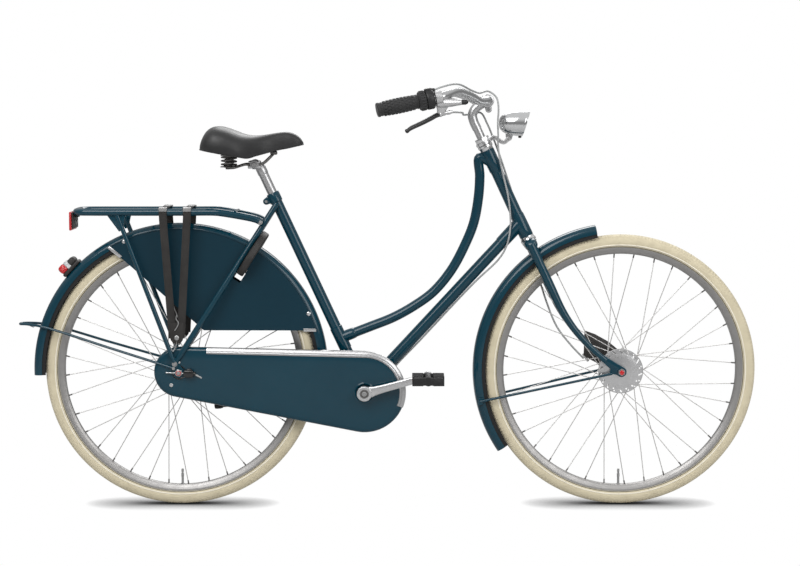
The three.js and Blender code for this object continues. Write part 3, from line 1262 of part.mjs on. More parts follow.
function makeFrontHub() {
  const { barrelRadius, boreRadius, collarRadius, rightEnd, leftEnd, discRadius, discThickness } = frontHub;
  const body = ring([
    [boreRadius, -rightEnd], [collarRadius, -rightEnd], ...flangeSteps(-1, collarRadius).slice(0, 3),
    ...flangeSteps(-1, barrelRadius).slice(3), ...flangeSteps(1, barrelRadius),
    [barrelRadius, leftEnd - discThickness], [discRadius, leftEnd - discThickness], [discRadius, leftEnd],
    [boreRadius, leftEnd],
  ], hubSides);
  return join(body, makeSpokes());
}

function makeRearHub() {
  const { barrelRadius, boreRadius, end, collarRadius, collarThickness } = rearHub;
  const shoulder = end - collarThickness;
  const body = ring([
    [boreRadius, -end], [collarRadius, -end], [collarRadius, -shoulder], [barrelRadius, -shoulder],
    ...flangeSteps(-1, barrelRadius), ...flangeSteps(1, barrelRadius),
    [barrelRadius, shoulder], [collarRadius, shoulder], [collarRadius, end], [boreRadius, end],
  ], hubSides);
  return join(body, makeSpokes());
}

// The toothed disc on its boss; it turns by itself on the rear axle
function makeSprocket() {
  const { teeth, thickness, toothDepth, bossRadius, bossInner, bossOuter } = sprocket;
  const centre = rearAxleCentre;
  const disc = slab(toothOutline(centre, teeth, toothDepth), -chainLine - thickness / 2, -chainLine + thickness / 2);
  const boss = rod(centre.clone().setY(-bossInner), centre.clone().setY(-bossOuter), bossRadius, hubSides);
  const bore = rod(centre.clone().setY(-bossInner + overrun), centre.clone().setY(-bossOuter - overrun),
    rearHub.boreRadius, hubSides);
  return cut(join(disc, boss), bore);
}

function pedalPin(side) {
  const reach = -side * crankLength;
  return bracketCentre.clone().add(at(reach * Math.cos(crankAngle), 0, reach * Math.sin(crankAngle)));
}

// An arm with its boss and its pedal pin
function crankArm(side, bossFrom) {
  const { bossRadius, bossOuter, armInner, armThickness, armWidth, tipRadius, pinRadius, pinLength } = crank;
  const pin = pedalPin(side);
  const armOuter = armInner + armThickness;
  const boss = rod(bracketCentre.clone().setY(side * bossFrom), bracketCentre.clone().setY(side * bossOuter),
    bossRadius, hubSides);
  const arm = flatBar(bracketCentre, pin, armWidth / 2, tipRadius, side * armInner, side * armOuter);
  const spindle = rod(pin.clone().setY(side * armInner), pin.clone().setY(side * (armOuter + pinLength)), pinRadius,
    smallSides);
  return join(boss, arm, spindle);
}

function makeCrankRight() {
  const { teeth, thickness, toothDepth } = chainring;
  const disc = slab(toothOutline(bracketCentre, teeth, toothDepth), -chainLine - thickness / 2,
    -chainLine + thickness / 2);
  const bore = rod(bracketCentre, bracketCentre.clone().setY(-crank.spindleEnd - seatGap),
    crank.spindleRadius + seatGap, hubSides);
  return cut(join(disc, crankArm(-1, crank.bossInner)), bore);
}

function makeCrankLeft() {
  const spindle = rod(bracketCentre.clone().setY(-crank.spindleEnd), bracketCentre.clone().setY(crank.bossOuter),
    crank.spindleRadius, hubSides);
  return join(spindle, crankArm(1, crank.leftBossInner));
}

// A level block with chamfered edges and a blind bore for its pin
function makePedal(side) {
  const { length, width, height, corner, bore, inset } = pedal;
  const [halfLength, halfHeight] = [length / 2, height / 2];
  const outline = [
    [-halfLength, corner - halfHeight], [corner - halfLength, -halfHeight], [halfLength - corner, -halfHeight],
    [halfLength, corner - halfHeight], [halfLength, halfHeight - corner], [halfLength - corner, halfHeight],
    [corner - halfLength, halfHeight], [-halfLength, halfHeight - corner],
  ].map(([x, z]) => new THREE.Vector2(x, z));
  const start = crank.armInner + crank.armThickness;
  const near = side * (start + inset);
  const hole = rod(at(0, side * start, 0), at(0, side * (start + crank.pinLength + runningGap * 2), 0), bore, hubSides);
  return cut(slab(outline, near, side * (start + inset + width)), hole);
}

// Saddle, rails, springs and post
function postTop() {
  return onSeatTube(seatTubeLength + seatPost.shown);
}

// A point so far ahead of the post's top, left of it and above it
function onPost(forward, side, rise) {
  return postTop().add(at(forward, side, rise));
}

function makeSeatPost() {
  const { radius, insert, clampBack, clampLength, clampHalf, clampHeight } = seatPost;
  const top = postTop();
  const middle = top.clone().add(at(-clampBack, 0, 0));
  const clamp = box(middle.clone().add(at(-clampLength / 2, -clampHalf, -clampHeight / 2)),
    middle.clone().add(at(clampLength / 2, clampHalf, clampHeight / 2)));
  const post = rod(onSeatTube(seatTubeLength - insert), top, radius, hubSides);
  return cut(join(post, clamp), railSolid(saddle.railRadius + seatGap));
}

// The two rails are one bent bar, from one spring tray round the nose to the other
function railSolid(radius) {
  const half = (side) => railRoute.map(([x, out, z]) => onPost(x, side * out, z));
  return tube([...half(-1), ...half(1).slice(0, -1).reverse()], radius, railSteps, boltSides);
}

// A point of a spring's middle line, so far above its tray
function springPlace(side, rise) {
  return onPost(-saddle.springBack, side * saddle.springHalf, rise - saddle.trayDrop);
}

function makeRails() {
  const { trayRadius, trayThickness, railRadius } = saddle;
  const tray = (side) => rod(springPlace(side, -trayThickness), springPlace(side, 0), trayRadius, hubSides);
  return join(railSolid(railRadius), tray(-1), tray(1));
}

// An unbroken helix with its two ends left straight
function makeSpring(side) {
  const { radius, wire, turns, height } = coil;
  const steps = turns * coilStepsPerTurn;
  const rise = height - 2 * (wire + seatGap);
  const bottom = wire + seatGap;
  const line = [];
  for (let i = 0; i <= steps; i += 1) {
    const angle = (i * 2 * Math.PI) / coilStepsPerTurn;
    line.push(springPlace(side, bottom + (rise * i) / steps)
      .add(at(radius * Math.cos(angle), radius * Math.sin(angle), 0)));
  }
  const straight = (from, beside) => from.clone().add(from.clone().sub(beside).setLength(2 * wire));
  line.unshift(straight(line[0], line[1]));
  line.push(straight(line[line.length - 1], line[line.length - 2]));
  const rings = line.map((point, index) => {
    const along = line[Math.min(index + 1, line.length - 1)].clone().sub(line[Math.max(index - 1, 0)]).normalize();
    const sideways = up.clone().cross(along).normalize();
    const upward = along.clone().cross(sideways).normalize();
    return polygon(wire, coilSides, Math.PI / 2).map((corner) =>
      point.clone().addScaledVector(sideways, corner.x).addScaledVector(upward, corner.y));
  });
  if (side > 0) reportSpringGap(rings);
  return loft(rings, polygon(wire, coilSides, Math.PI / 2));
}

// The least distance between two turns of the spring, measured on the corners of its sections
function reportSpringGap(rings) {
  let least = Infinity;
  for (let i = 0; i < rings.length; i += 1) {
    for (let j = i + coilStepsPerTurn - 2; j < rings.length; j += 1) {
      for (const one of rings[i]) for (const other of rings[j]) least = Math.min(least, one.distanceTo(other));
    }
  }
  console.log(`least gap between the turns of a saddle spring: ${least.toFixed(2)} mm`);
}

// A padded cover: crowned, drawn in towards the nose, with a flat seat for each spring
function makeSaddleCover() {
  const rings = saddleStations.map(([x, top, bottom, half]) => saddleSectionShares.map(([out, rise]) =>
    onPost(x, half * out, bottom + (top - bottom) * rise)));
  const body = loft(rings, saddleSectionShares.map(([out, rise]) => new THREE.Vector2(out, rise)));
  const seat = (side) => rod(springPlace(side, coil.height), springPlace(side, saddle.top - saddle.trayRadius),
    saddle.trayRadius, hubSides);
  return join(body, seat(-1), seat(1));
}

// A cable along its route, whose ends stop a little before what they enter
function makeCable(route, steps) {
  return tube(route.map(([x, y, z]) => at(x, y, z)), cableRadius, steps, cableSides);
}

// Assembly: everything on the frame
addPiece(frame, 'head_tube', makeHeadTube(), paint());
addPiece(frame, 'top_tube', makeTopTube(), paint());
addPiece(frame, 'down_tube', makeDownTube(), paint());
addPiece(frame, 'seat_tube', makeSeatTube(), paint());
addPiece(frame, 'bottom_bracket_shell', makeBracketShell(), paint());
addPiece(frame, 'chain_stay_left', makeChainStay(1), paint());
addPiece(frame, 'chain_stay_right', makeChainStay(-1), paint());
addPiece(frame, 'seat_stay_left', makeSeatStay(1), paint());
addPiece(frame, 'seat_stay_right', makeSeatStay(-1), paint());
addPiece(frame, 'rear_mudguard', makeRearMudguard(), paint());
addPiece(frame, 'rear_mudguard_stays', makeRearWire(), chrome());
addPiece(frame, 'rear_carrier', makeCarrier(), paint());
addPiece(frame, 'luggage_straps', makeStraps(), greyStrap());
addPiece(frame, 'rear_reflector', makeReflector(), redPlastic());
addPiece(frame, 'tail_light', makeTailLight(), redPlastic());
addPiece(frame, 'coat_guard_left', makeCoatGuard(1), blackPlastic());
addPiece(frame, 'coat_guard_right', makeCoatGuard(-1), blackPlastic());
addPiece(frame, 'chain_case_outer', makeCaseOuter(), paint());
addPiece(frame, 'chain_case_inner', makeCaseInner(), blackPlastic());
addPiece(frame, 'chain', makeChain(), steel());
addPiece(frame, 'shift_cable', makeCable(shiftCableRoute, shiftCableSteps), greyCable());
addPiece(frame, 'rear_axle', makeRearAxle(), steel());
addPiece(frame, 'ring_lock', makeLockHousing(), blackPlastic());
addPiece(frame, 'shift_box', makeShiftBox(), blackPlastic());

// What hangs on the frame by a joint of its own
addPiece(frame, 'lock_shackle', makeLockShackle(), steel());
addPiece(frame, 'kickstand', makeStand(), blackPlastic());
addPiece(frame, 'rear_sprocket', makeSprocket(), steel());
addPiece(frame, 'crank_right', makeCrankRight(), alloy());
addPiece(frame, 'crank_left', makeCrankLeft(), alloy());
addPiece(frame, 'seatpost', makeSeatPost(), alloy());
addPiece(frame, 'saddle_cover', makeSaddleCover(), blackRubber());
addPiece(frame, 'saddle_rails', makeRails(), blackPlastic());
addPiece(frame, 'saddle_spring_left', makeSpring(1), blackPlastic());
addPiece(frame, 'saddle_spring_right', makeSpring(-1), blackPlastic());

// Everything that turns with the handlebar
addPiece(steering, 'fork_crown', makeCrown(), chrome());
addPiece(steering, 'fork_blade_left', makeForkBlade(1), paint());
addPiece(steering, 'fork_blade_right', makeForkBlade(-1), paint());
addPiece(steering, 'headset_locknut', makeLocknut(), chrome());
addPiece(steering, 'stem', makeStem(), alloy());
addPiece(steering, 'handlebar', barSolid(bar.radius), chrome());
addPiece(steering, 'grip_left', makeGrip(1, grip.length + shifter.length), blackRubber());
addPiece(steering, 'grip_right', makeGrip(-1, grip.length), blackRubber());
addPiece(steering, 'shifter', makeShifter(), blackPlastic());
addPiece(steering, 'brake_lever_clamp', makeLeverBody(), alloy());
addPiece(steering, 'brake_lever', makeLever(), blackPlastic());
addPiece(steering, 'headlamp_shell', makeLampShell(), chrome());
addPiece(steering, 'headlamp_lens', makeLampLens(), clearLens());
addPiece(steering, 'front_mudguard', makeFrontMudguard(), paint());
addPiece(steering, 'front_mudguard_stays', makeFrontWire(), chrome());
addPiece(steering, 'front_axle', makeFrontAxle(), steel());
addPiece(steering, 'front_brake_plate', makeFrontBrake(), alloy());
addPiece(steering, 'brake_cable', makeCable(brakeCableRoute, brakeCableSteps), greyCable());

// One wheel: its hub with the spokes, its rim and its tyre
function makeWheel(name, hub, centre) {
  const wheel = new THREE.Group();
  addPiece(wheel, `${name}_hub`, hub, alloy());
  addPiece(wheel, `${name}_rim`, makeRim(), steel());
  addPiece(wheel, `${name}_tyre`, makeTyre(), creamRubber());
  wheel.position.copy(centre);
  return wheel;
}

function placePedal(name, side) {
  const pedalGroup = new THREE.Group();
  addPiece(pedalGroup, name, makePedal(side), blackRubber());
  pedalGroup.position.copy(pedalPin(side));
  return pedalGroup;
}

const group = new THREE.Group();
group.name = 'dutch_city_bike';
group.add(frame, steering, makeWheel('front', makeFrontHub(), frontAxleCentre),
  makeWheel('rear', makeRearHub(), rearAxleCentre), placePedal('pedal_right', -1), placePedal('pedal_left', 1));

// The middle of the bike's length comes to the origin: the wire loop is its tail, the front tyre its nose
const tail = -mudguardRadius - rearWire.loopOut - rearWire.radius;
const nose = wheelBase + axleHeight;
group.position.x = -(tail + nose) / 2;

export default group;
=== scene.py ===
"""The looks of a Dutch city bike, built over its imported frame, in metres but where a name says mm."""

import logging
import math
from dataclasses import dataclass
from typing import Callable, Sequence

import bpy
from mathutils import Matrix, Vector

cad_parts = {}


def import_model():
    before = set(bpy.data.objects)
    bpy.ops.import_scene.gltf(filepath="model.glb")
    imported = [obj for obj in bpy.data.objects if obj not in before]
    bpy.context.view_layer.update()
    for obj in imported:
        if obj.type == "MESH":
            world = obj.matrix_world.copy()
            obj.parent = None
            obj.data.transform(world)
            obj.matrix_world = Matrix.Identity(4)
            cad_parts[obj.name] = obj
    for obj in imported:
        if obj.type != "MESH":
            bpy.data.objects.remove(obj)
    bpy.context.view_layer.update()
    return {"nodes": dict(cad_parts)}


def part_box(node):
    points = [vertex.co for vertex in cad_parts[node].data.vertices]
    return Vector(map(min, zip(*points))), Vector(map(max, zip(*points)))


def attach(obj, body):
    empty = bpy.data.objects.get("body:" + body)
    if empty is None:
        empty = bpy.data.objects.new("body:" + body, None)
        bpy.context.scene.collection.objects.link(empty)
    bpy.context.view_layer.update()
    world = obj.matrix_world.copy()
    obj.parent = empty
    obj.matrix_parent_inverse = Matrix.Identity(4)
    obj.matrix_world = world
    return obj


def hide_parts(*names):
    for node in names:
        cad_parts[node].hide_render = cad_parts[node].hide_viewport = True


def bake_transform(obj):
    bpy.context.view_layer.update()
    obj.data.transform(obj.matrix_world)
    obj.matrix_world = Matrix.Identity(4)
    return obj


log = logging.getLogger("city_bike")

Pair = tuple[float, float]
Triple = tuple[float, float, float]
Colour = tuple[float, float, float, float]
Outline = Sequence[Pair]

# The bike's own millimetres start at the foot of the rear axle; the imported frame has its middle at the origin
MM = 0.001
MIDDLE_MM = 538.8893
AXLE_MM = 355.7785
WHEEL_BASE_MM = 1148
BRACKET_AHEAD_MM = 480.8
BRACKET_DROP_MM = 52.1
FORK_RAKE = 0.074
HEAD_ANGLE = math.radians(65)
FULL_TURN = 2 * math.pi
FORWARD = Vector((1, 0, 0))
LEFT = Vector((0, 1, 0))
UP = Vector((0, 0, 1))
SIDES = ((1, "left"), (-1, "right"))


def spot(x: float, y: float, z: float) -> Vector:
    """A point of the bike's own millimetres in the frame's metres."""
    return Vector(((x - MIDDLE_MM) * MM, y * MM, z * MM))


COLUMN = Vector((-math.cos(HEAD_ANGLE), 0, math.sin(HEAD_ANGLE)))
AHEAD = Vector((math.sin(HEAD_ANGLE), 0, math.cos(HEAD_ANGLE)))
REAR_AXLE = spot(0, 0, AXLE_MM)
FRONT_AXLE = spot(WHEEL_BASE_MM, 0, AXLE_MM)
BRACKET = spot(BRACKET_AHEAD_MM, 0, AXLE_MM - BRACKET_DROP_MM)
COLUMN_FOOT = FRONT_AXLE - AHEAD * FORK_RAKE


def on_column(forward: float, side: float, height: float) -> Vector:
    """A point so many metres ahead of the steering axis, left of it and up along it."""
    return COLUMN_FOOT + AHEAD * forward + LEFT * side + COLUMN * height


def on_seat_tube(height: float, back: float = 0, side: float = 0) -> Vector:
    """A point so many metres up the seat tube, which is parallel to the column, behind it and left of it."""
    return BRACKET + COLUMN * height - AHEAD * back + LEFT * side


def round_wheel(centre: Vector, radius: float, degrees: float, side: float = 0) -> Vector:
    """A point at a radius and an angle round a wheel, which starts ahead of the axle and turns upwards."""
    angle = math.radians(degrees)
    return centre + Vector((radius * math.cos(angle), side, radius * math.sin(angle)))


def angles(count: int) -> list[float]:
    """Evenly spaced angles over a whole turn."""
    return [FULL_TURN * i / count for i in range(count)]


def oval(centre: Vector, one: Vector, other: Vector, count: int = 28, power: float = 1) -> list[Vector]:
    """A ring of points with two half axes. A power below 1 makes it squarer."""
    ring = []
    for turn in angles(count):
        cosine, sine = math.cos(turn), math.sin(turn)
        ring.append(centre + one * math.copysign(abs(cosine) ** power, cosine)
                    + other * math.copysign(abs(sine) ** power, sine))
    return ring


def other_side(points: Sequence[Vector]) -> list[Vector]:
    """The same points on the other side of the bike, last one first."""
    return [Vector((point.x, -point.y, point.z)) for point in reversed(points)]


def smooth_route(points: Sequence[Vector], per_span: int = 8) -> list[Vector]:
    """Points along the smooth curve that passes through the given ones.

    Args:
        points: The points to pass, in order.
        per_span: How many steps lie between two of them.

    Returns:
        The finer row of points, both ends included.
    """
    ends = [points[0] * 2 - points[1], *points, points[-1] * 2 - points[-2]]
    fine = []
    for before, start, end, after in zip(ends, ends[1:], ends[2:], ends[3:]):
        knots = [0.0]
        for one, other in ((before, start), (start, end), (end, after)):
            knots.append(knots[-1] + max(math.sqrt((other - one).length), MM * MM))
        for step in range(per_span):
            t = knots[1] + (knots[2] - knots[1]) * step / per_span

            def mix(one: Vector, other: Vector, low: float, high: float) -> Vector:
                """The point between two others at this step."""
                return one * ((high - t) / (high - low)) + other * ((t - low) / (high - low))

            a1 = mix(before, start, knots[0], knots[1])
            a2 = mix(start, end, knots[1], knots[2])
            a3 = mix(end, after, knots[2], knots[3])
            b1, b2 = mix(a1, a2, knots[0], knots[2]), mix(a2, a3, knots[1], knots[3])
            fine.append(mix(b1, b2, knots[1], knots[2]))
    return [*fine, points[-1].copy()]


# Shaders


class Number:
    """One number of a shader. Python's operators on it add Math nodes."""

    def __init__(self, graph: "Graph", socket: bpy.types.NodeSocket) -> None:
        """Wraps an output socket of a graph."""
        self.graph = graph
        self.socket = socket

    def maths(self, operation: str, *values: "Number | float", first: "float | None" = None) -> "Number":
        """Adds one Math node, whose first input is this number or, if given, the plain number before it."""
        inputs = [self, *values] if first is None else [first, self]
        node = self.graph.node("ShaderNodeMath", {"operation": operation}, dict(enumerate(inputs)))
        return Number(self.graph, node.outputs[0])

    def __add__(self, other: "Number | float") -> "Number":
        """The sum."""
        return self.maths("ADD", other)

    __radd__ = __add__

    def __sub__(self, other: "Number | float") -> "Number":
        """The difference."""
        return self.maths("SUBTRACT", other)

    def __rsub__(self, other: float) -> "Number":
        """A plain number less this one."""
        return self.maths("SUBTRACT", first=other)

    def __mul__(self, other: "Number | float") -> "Number":
        """The product."""
        return self.maths("MULTIPLY", other)

    def __pow__(self, other: "Number | float") -> "Number":
        """The power."""
        return self.maths("POWER", other)

    def wave(self, length: float) -> "Number":
        """A sine of this distance, whose waves are so long."""
        return (self * (FULL_TURN / length)).maths("SINE")

    def above(self, edge: float, soft: float) -> "Number":
        """A mask that rises from 0 to 1 over a soft band round an edge."""
        node = self.graph.node("ShaderNodeMapRange", {"interpolation_type": "SMOOTHSTEP"},
                               {"Value": self, "From Min": edge - soft, "From Max": edge + soft})
        return Number(self.graph, node.outputs[0])


class Graph:
    """The nodes of one material."""

    def __init__(self, name: str, centre: Vector | None = None) -> None:
        """Starts a material whose patterns are centred on a point of the frame."""
        self.material = bpy.data.materials.new(name)
        self.material.use_nodes = True
        self.nodes = self.material.node_tree.nodes
        self.links = self.material.node_tree.links
        self.nodes.clear()
        self.surface = self.node("ShaderNodeBsdfPrincipled", {}, {})
        self.links.new(self.surface.outputs[0], self.node("ShaderNodeOutputMaterial", {}, {}).inputs[0])
        self.place = self.node("ShaderNodeTexCoord", {}, {}).outputs["Object"]
        if centre is not None:
            self.place = self.node("ShaderNodeMapping", {"vector_type": "POINT"},
                                   {"Vector": self.place, "Location": -centre}).outputs[0]

    def node(self, kind: str, settings: dict, inputs: dict) -> bpy.types.Node:
        """Adds a node with settings of its own, and its inputs' values or links by name or number."""
        node = self.nodes.new(kind)
        for name, value in settings.items():
            setattr(node, name, value)
        self.feed(node, inputs)
        return node

    def feed(self, node: bpy.types.Node, inputs: dict) -> None:
        """Sets or links a node's inputs."""
        for name, value in inputs.items():
            if isinstance(value, Number):
                self.links.new(value.socket, node.inputs[name])
            elif isinstance(value, bpy.types.NodeSocket):
                self.links.new(value, node.inputs[name])
            else:
                node.inputs[name].default_value = value

    def noise(self, size: float, detail: float = 2, stretch: Triple = (1, 1, 1)) -> Number:
        """Cloudy noise whose clouds are about a given size across, in metres."""
        place = self.node("ShaderNodeMapping", {}, {"Vector": self.place, "Scale": stretch}).outputs[0]
        node = self.node("ShaderNodeTexNoise", {}, {"Vector": place, "Scale": 1 / size, "Detail": detail})
        return Number(self, node.outputs[0])

    def cells(self, size: float, stretch: Triple = (1, 1, 1)) -> Number:
        """The distance to the nearest of many scattered points, for grain and pebbles."""
        place = self.node("ShaderNodeMapping", {}, {"Vector": self.place, "Scale": stretch}).outputs[0]
        return Number(self, self.node("ShaderNodeTexVoronoi", {"feature": "DISTANCE_TO_EDGE"},
                                      {"Vector": place, "Scale": 1 / size}).outputs[0])

    def axis(self, letter: str) -> Number:
        """One coordinate of the surface's own place."""
        return Number(self, self.node("ShaderNodeSeparateXYZ", {}, {0: self.place}).outputs[letter])

    def mix(self, share: "Number | float", one: Colour, other: Colour) -> bpy.types.NodeSocket:
        """A colour between two others."""
        return self.node("ShaderNodeMix", {"data_type": "RGBA"}, {0: share, 6: one, 7: other}).outputs[2]

    def relief(self, height: Number, depth: float) -> bpy.types.NodeSocket:
        """A normal bumped by a height of 0 to 1, whose full step is a depth in metres."""
        return self.node("ShaderNodeBump", {}, {"Strength": 1, "Distance": depth,
                                                "Height": height}).outputs[0]

    def paint(self, **values: object) -> None:
        """Sets or links the surface's own inputs, which are named in small letters."""
        self.feed(self.surface, {name.replace("_", " ").title().replace("Ior", "IOR"): value
                                 for name, value in values.items()})


def tone(red: float, green: float, blue: float) -> Colour:
    """A colour as it is seen on a screen, from 0 to 255, turned into light."""
    def light(value: float) -> float:
        """One channel of it."""
        value /= 255
        return value / 12.92 if value <= 0.04045 else ((value + 0.055) / 1.055) ** 2.4
    return (light(red), light(green), light(blue), 1)


def grey(value: float, warm: float = 0) -> Colour:
    """A grey metal's colour, whose blue is so much above its red."""
    return (value, value + warm / 2, value + warm, 1)


def dimmed(colour: Colour, share: float) -> Colour:
    """A share of a colour."""
    return (*(channel * share for channel in colour[:3]), 1)


@dataclass(frozen=True)
class Finish:
    """A material of the bike, by the name that the pieces use."""

    name: str
    colour: Colour

    def make(self, centre: Vector | None = None) -> bpy.types.Material:
        """Builds the material with its patterns round a centre."""
        graph = Graph(self.name, centre)
        self.pattern(graph)
        return graph.material

    def pattern(self, graph: Graph) -> None:
        """Paints the surface."""
        graph.paint(base_color=self.colour)


@dataclass(frozen=True)
class Enamel(Finish):
    """Deep glossy paint under clear lacquer, with a faint orange peel and a little dust."""

    deep: Colour
    roughness: float = 0.16
    lacquer: float = 0.42
    dusty: float = 0.25

    def pattern(self, graph: Graph) -> None:
        """Paints the surface."""
        cloud = graph.noise(0.09, 3)
        peel = graph.noise(0.0022, 2)
        dust = graph.noise(0.012, 5).above(0.62, 0.1) * self.dusty
        graph.paint(specular_ior_level=0.2, coat_roughness=0.035, coat_ior=1.45,
                    base_color=graph.mix(cloud, self.colour, self.deep),
                    roughness=self.roughness + dust * 0.25,
                    coat_weight=self.lacquer - dust * 0.15,
                    normal=graph.relief(peel, 0.000012))


@dataclass(frozen=True)
class Metal(Finish):
    """Bare or plated metal. The grain's stretch draws out its brushing along an axis."""

    roughness: float
    grain: float = 0.0012
    stretch: Triple = (1, 1, 1)
    depth: float = 0.000004
    smudge: float = 0.12

    def pattern(self, graph: Graph) -> None:
        """Paints the surface."""
        smear = graph.noise(0.02, 4)
        grain = graph.noise(self.grain, 3, self.stretch)
        graph.paint(metallic=1, base_color=graph.mix(smear, self.colour, dimmed(self.colour, 0.86)),
                    roughness=self.roughness + (smear - 0.5) * self.smudge + (grain - 0.5) * self.smudge,
                    normal=graph.relief(grain, self.depth))


@dataclass(frozen=True)
class Moulded(Finish):
    """Plastic or rubber with the skin of its mould: a pebble grain, scuffs and a slight change of tone."""

    worn: Colour
    roughness: float
    pebble: float = 0.0011
    depth: float = 0.00004
    coat: float = 0.0
    sheen: float = 0.0

    def pattern(self, graph: Graph) -> None:
        """Paints the surface."""
        scuff = graph.noise(0.018, 5).above(0.58, 0.16)
        pebbles = graph.cells(self.pebble)
        graph.paint(specular_ior_level=0.42, coat_weight=self.coat, coat_roughness=0.1,
                    sheen_weight=self.sheen, sheen_roughness=0.6,
                    base_color=graph.mix(scuff * 0.6, self.colour, self.worn),
                    roughness=self.roughness + scuff * 0.1 + (graph.noise(0.004, 3) - 0.5) * 0.12,
                    normal=graph.relief(pebbles, self.depth))


@dataclass(frozen=True)
class Hide(Finish):
    """The saddle's cover: pebbled grain in two sizes, softly shiny where it is ridden."""

    worn: Colour

    def pattern(self, graph: Graph) -> None:
        """Paints the surface."""
        grain = graph.cells(0.0019, (1, 1.15, 1)) + graph.cells(0.0008) * 0.5
        rubbed = graph.noise(0.06, 3).above(0.55, 0.2)
        graph.paint(specular_ior_level=0.45, sheen_weight=0.08, sheen_roughness=0.5,
                    base_color=graph.mix(rubbed * 0.5, self.colour, self.worn),
                    roughness=0.5 - rubbed * 0.1 + (grain - 0.3) * 0.1,
                    normal=graph.relief(grain, 0.00011))


@dataclass(frozen=True)
class TyreRubber(Finish):
    """Cream rubber with a moulded tread: fine ribs across it, rings down the side walls and a dusty crown."""

    dusty: Colour
    centre: Vector
    rib_count: int = 240
    ring: float = 0.0021
    tread_from: float = 0.347

    def pattern(self, graph: Graph) -> None:
        """Paints the surface."""
        across, high = graph.axis("X"), graph.axis("Z")
        angle = high.maths("ARCTAN2", across)
        radius = (across ** 2 + high ** 2).maths("SQRT")
        ribs = (angle * self.rib_count).maths("SINE").above(0.1, 0.5)
        rings = radius.wave(self.ring).above(0.2, 0.6)
        tread = radius.above(self.tread_from, 0.0014)
        dust = graph.noise(0.03, 5).above(0.55, 0.2)
        graph.paint(specular_ior_level=0.3, sheen_weight=0.1,
                    base_color=graph.mix(dust * 0.45 + tread * 0.2, self.colour, self.dusty),
                    roughness=0.66 + dust * 0.12,
                    normal=graph.relief(ribs * tread + rings * (1 - tread) * 0.35, 0.0007))


@dataclass(frozen=True)
class TurnedMetal(Finish):
    """Metal turned on a lathe: fine rings round a centre, as on rims and cranks."""

    centre: Vector
    roughness: float
    ring: float = 0.0007
    depth: float = 0.000012

    def pattern(self, graph: Graph) -> None:
        """Paints the surface."""
        radius = (graph.axis("X") ** 2 + graph.axis("Z") ** 2).maths("SQRT")
        rings = radius.wave(self.ring) * 0.5 + 0.5
        smear = graph.noise(0.03, 4)
        graph.paint(metallic=1, base_color=graph.mix(smear, self.colour, dimmed(self.colour, 0.8)),
                    roughness=self.roughness + (smear - 0.5) * 0.2 + rings * 0.05,
                    normal=graph.relief(rings, self.depth))


@dataclass(frozen=True)
class Banding(Finish):
    """Ribbed rubber band, with ribs along it and a dull bloom."""

    bloom: Colour
    rib: float = 0.0025

    def pattern(self, graph: Graph) -> None:
        """Paints the surface."""
        ribs = (graph.axis("X") + graph.axis("Z") * 0.06).wave(self.rib) * 0.5 + 0.5
        bloom = graph.noise(0.03, 5).above(0.5, 0.25)
        graph.paint(specular_ior_level=0.35, base_color=graph.mix(bloom * 0.6, self.colour, self.bloom),
                    roughness=0.62 + bloom * 0.12, normal=graph.relief(ribs, 0.0003))


@dataclass(frozen=True)
class Lens(Finish):
    """Clear or tinted moulded glass with prisms pressed into its inside."""

    clear: float
    prism: float = 0.0035
    depth: float = 0.0005

    def pattern(self, graph: Graph) -> None:
        """Paints the surface."""
        upright = graph.axis("Y").wave(self.prism) * 0.5 + 0.5
        level = graph.axis("Z").wave(self.prism) * 0.5 + 0.5
        smudge = graph.noise(0.01, 4)
        graph.paint(transmission_weight=self.clear, ior=1.5, coat_weight=0.4, coat_roughness=0.03,
                    base_color=graph.mix(smudge, self.colour, dimmed(self.colour, 0.8)),
                    roughness=0.08 + smudge * 0.08, normal=graph.relief(upright * level, self.depth))


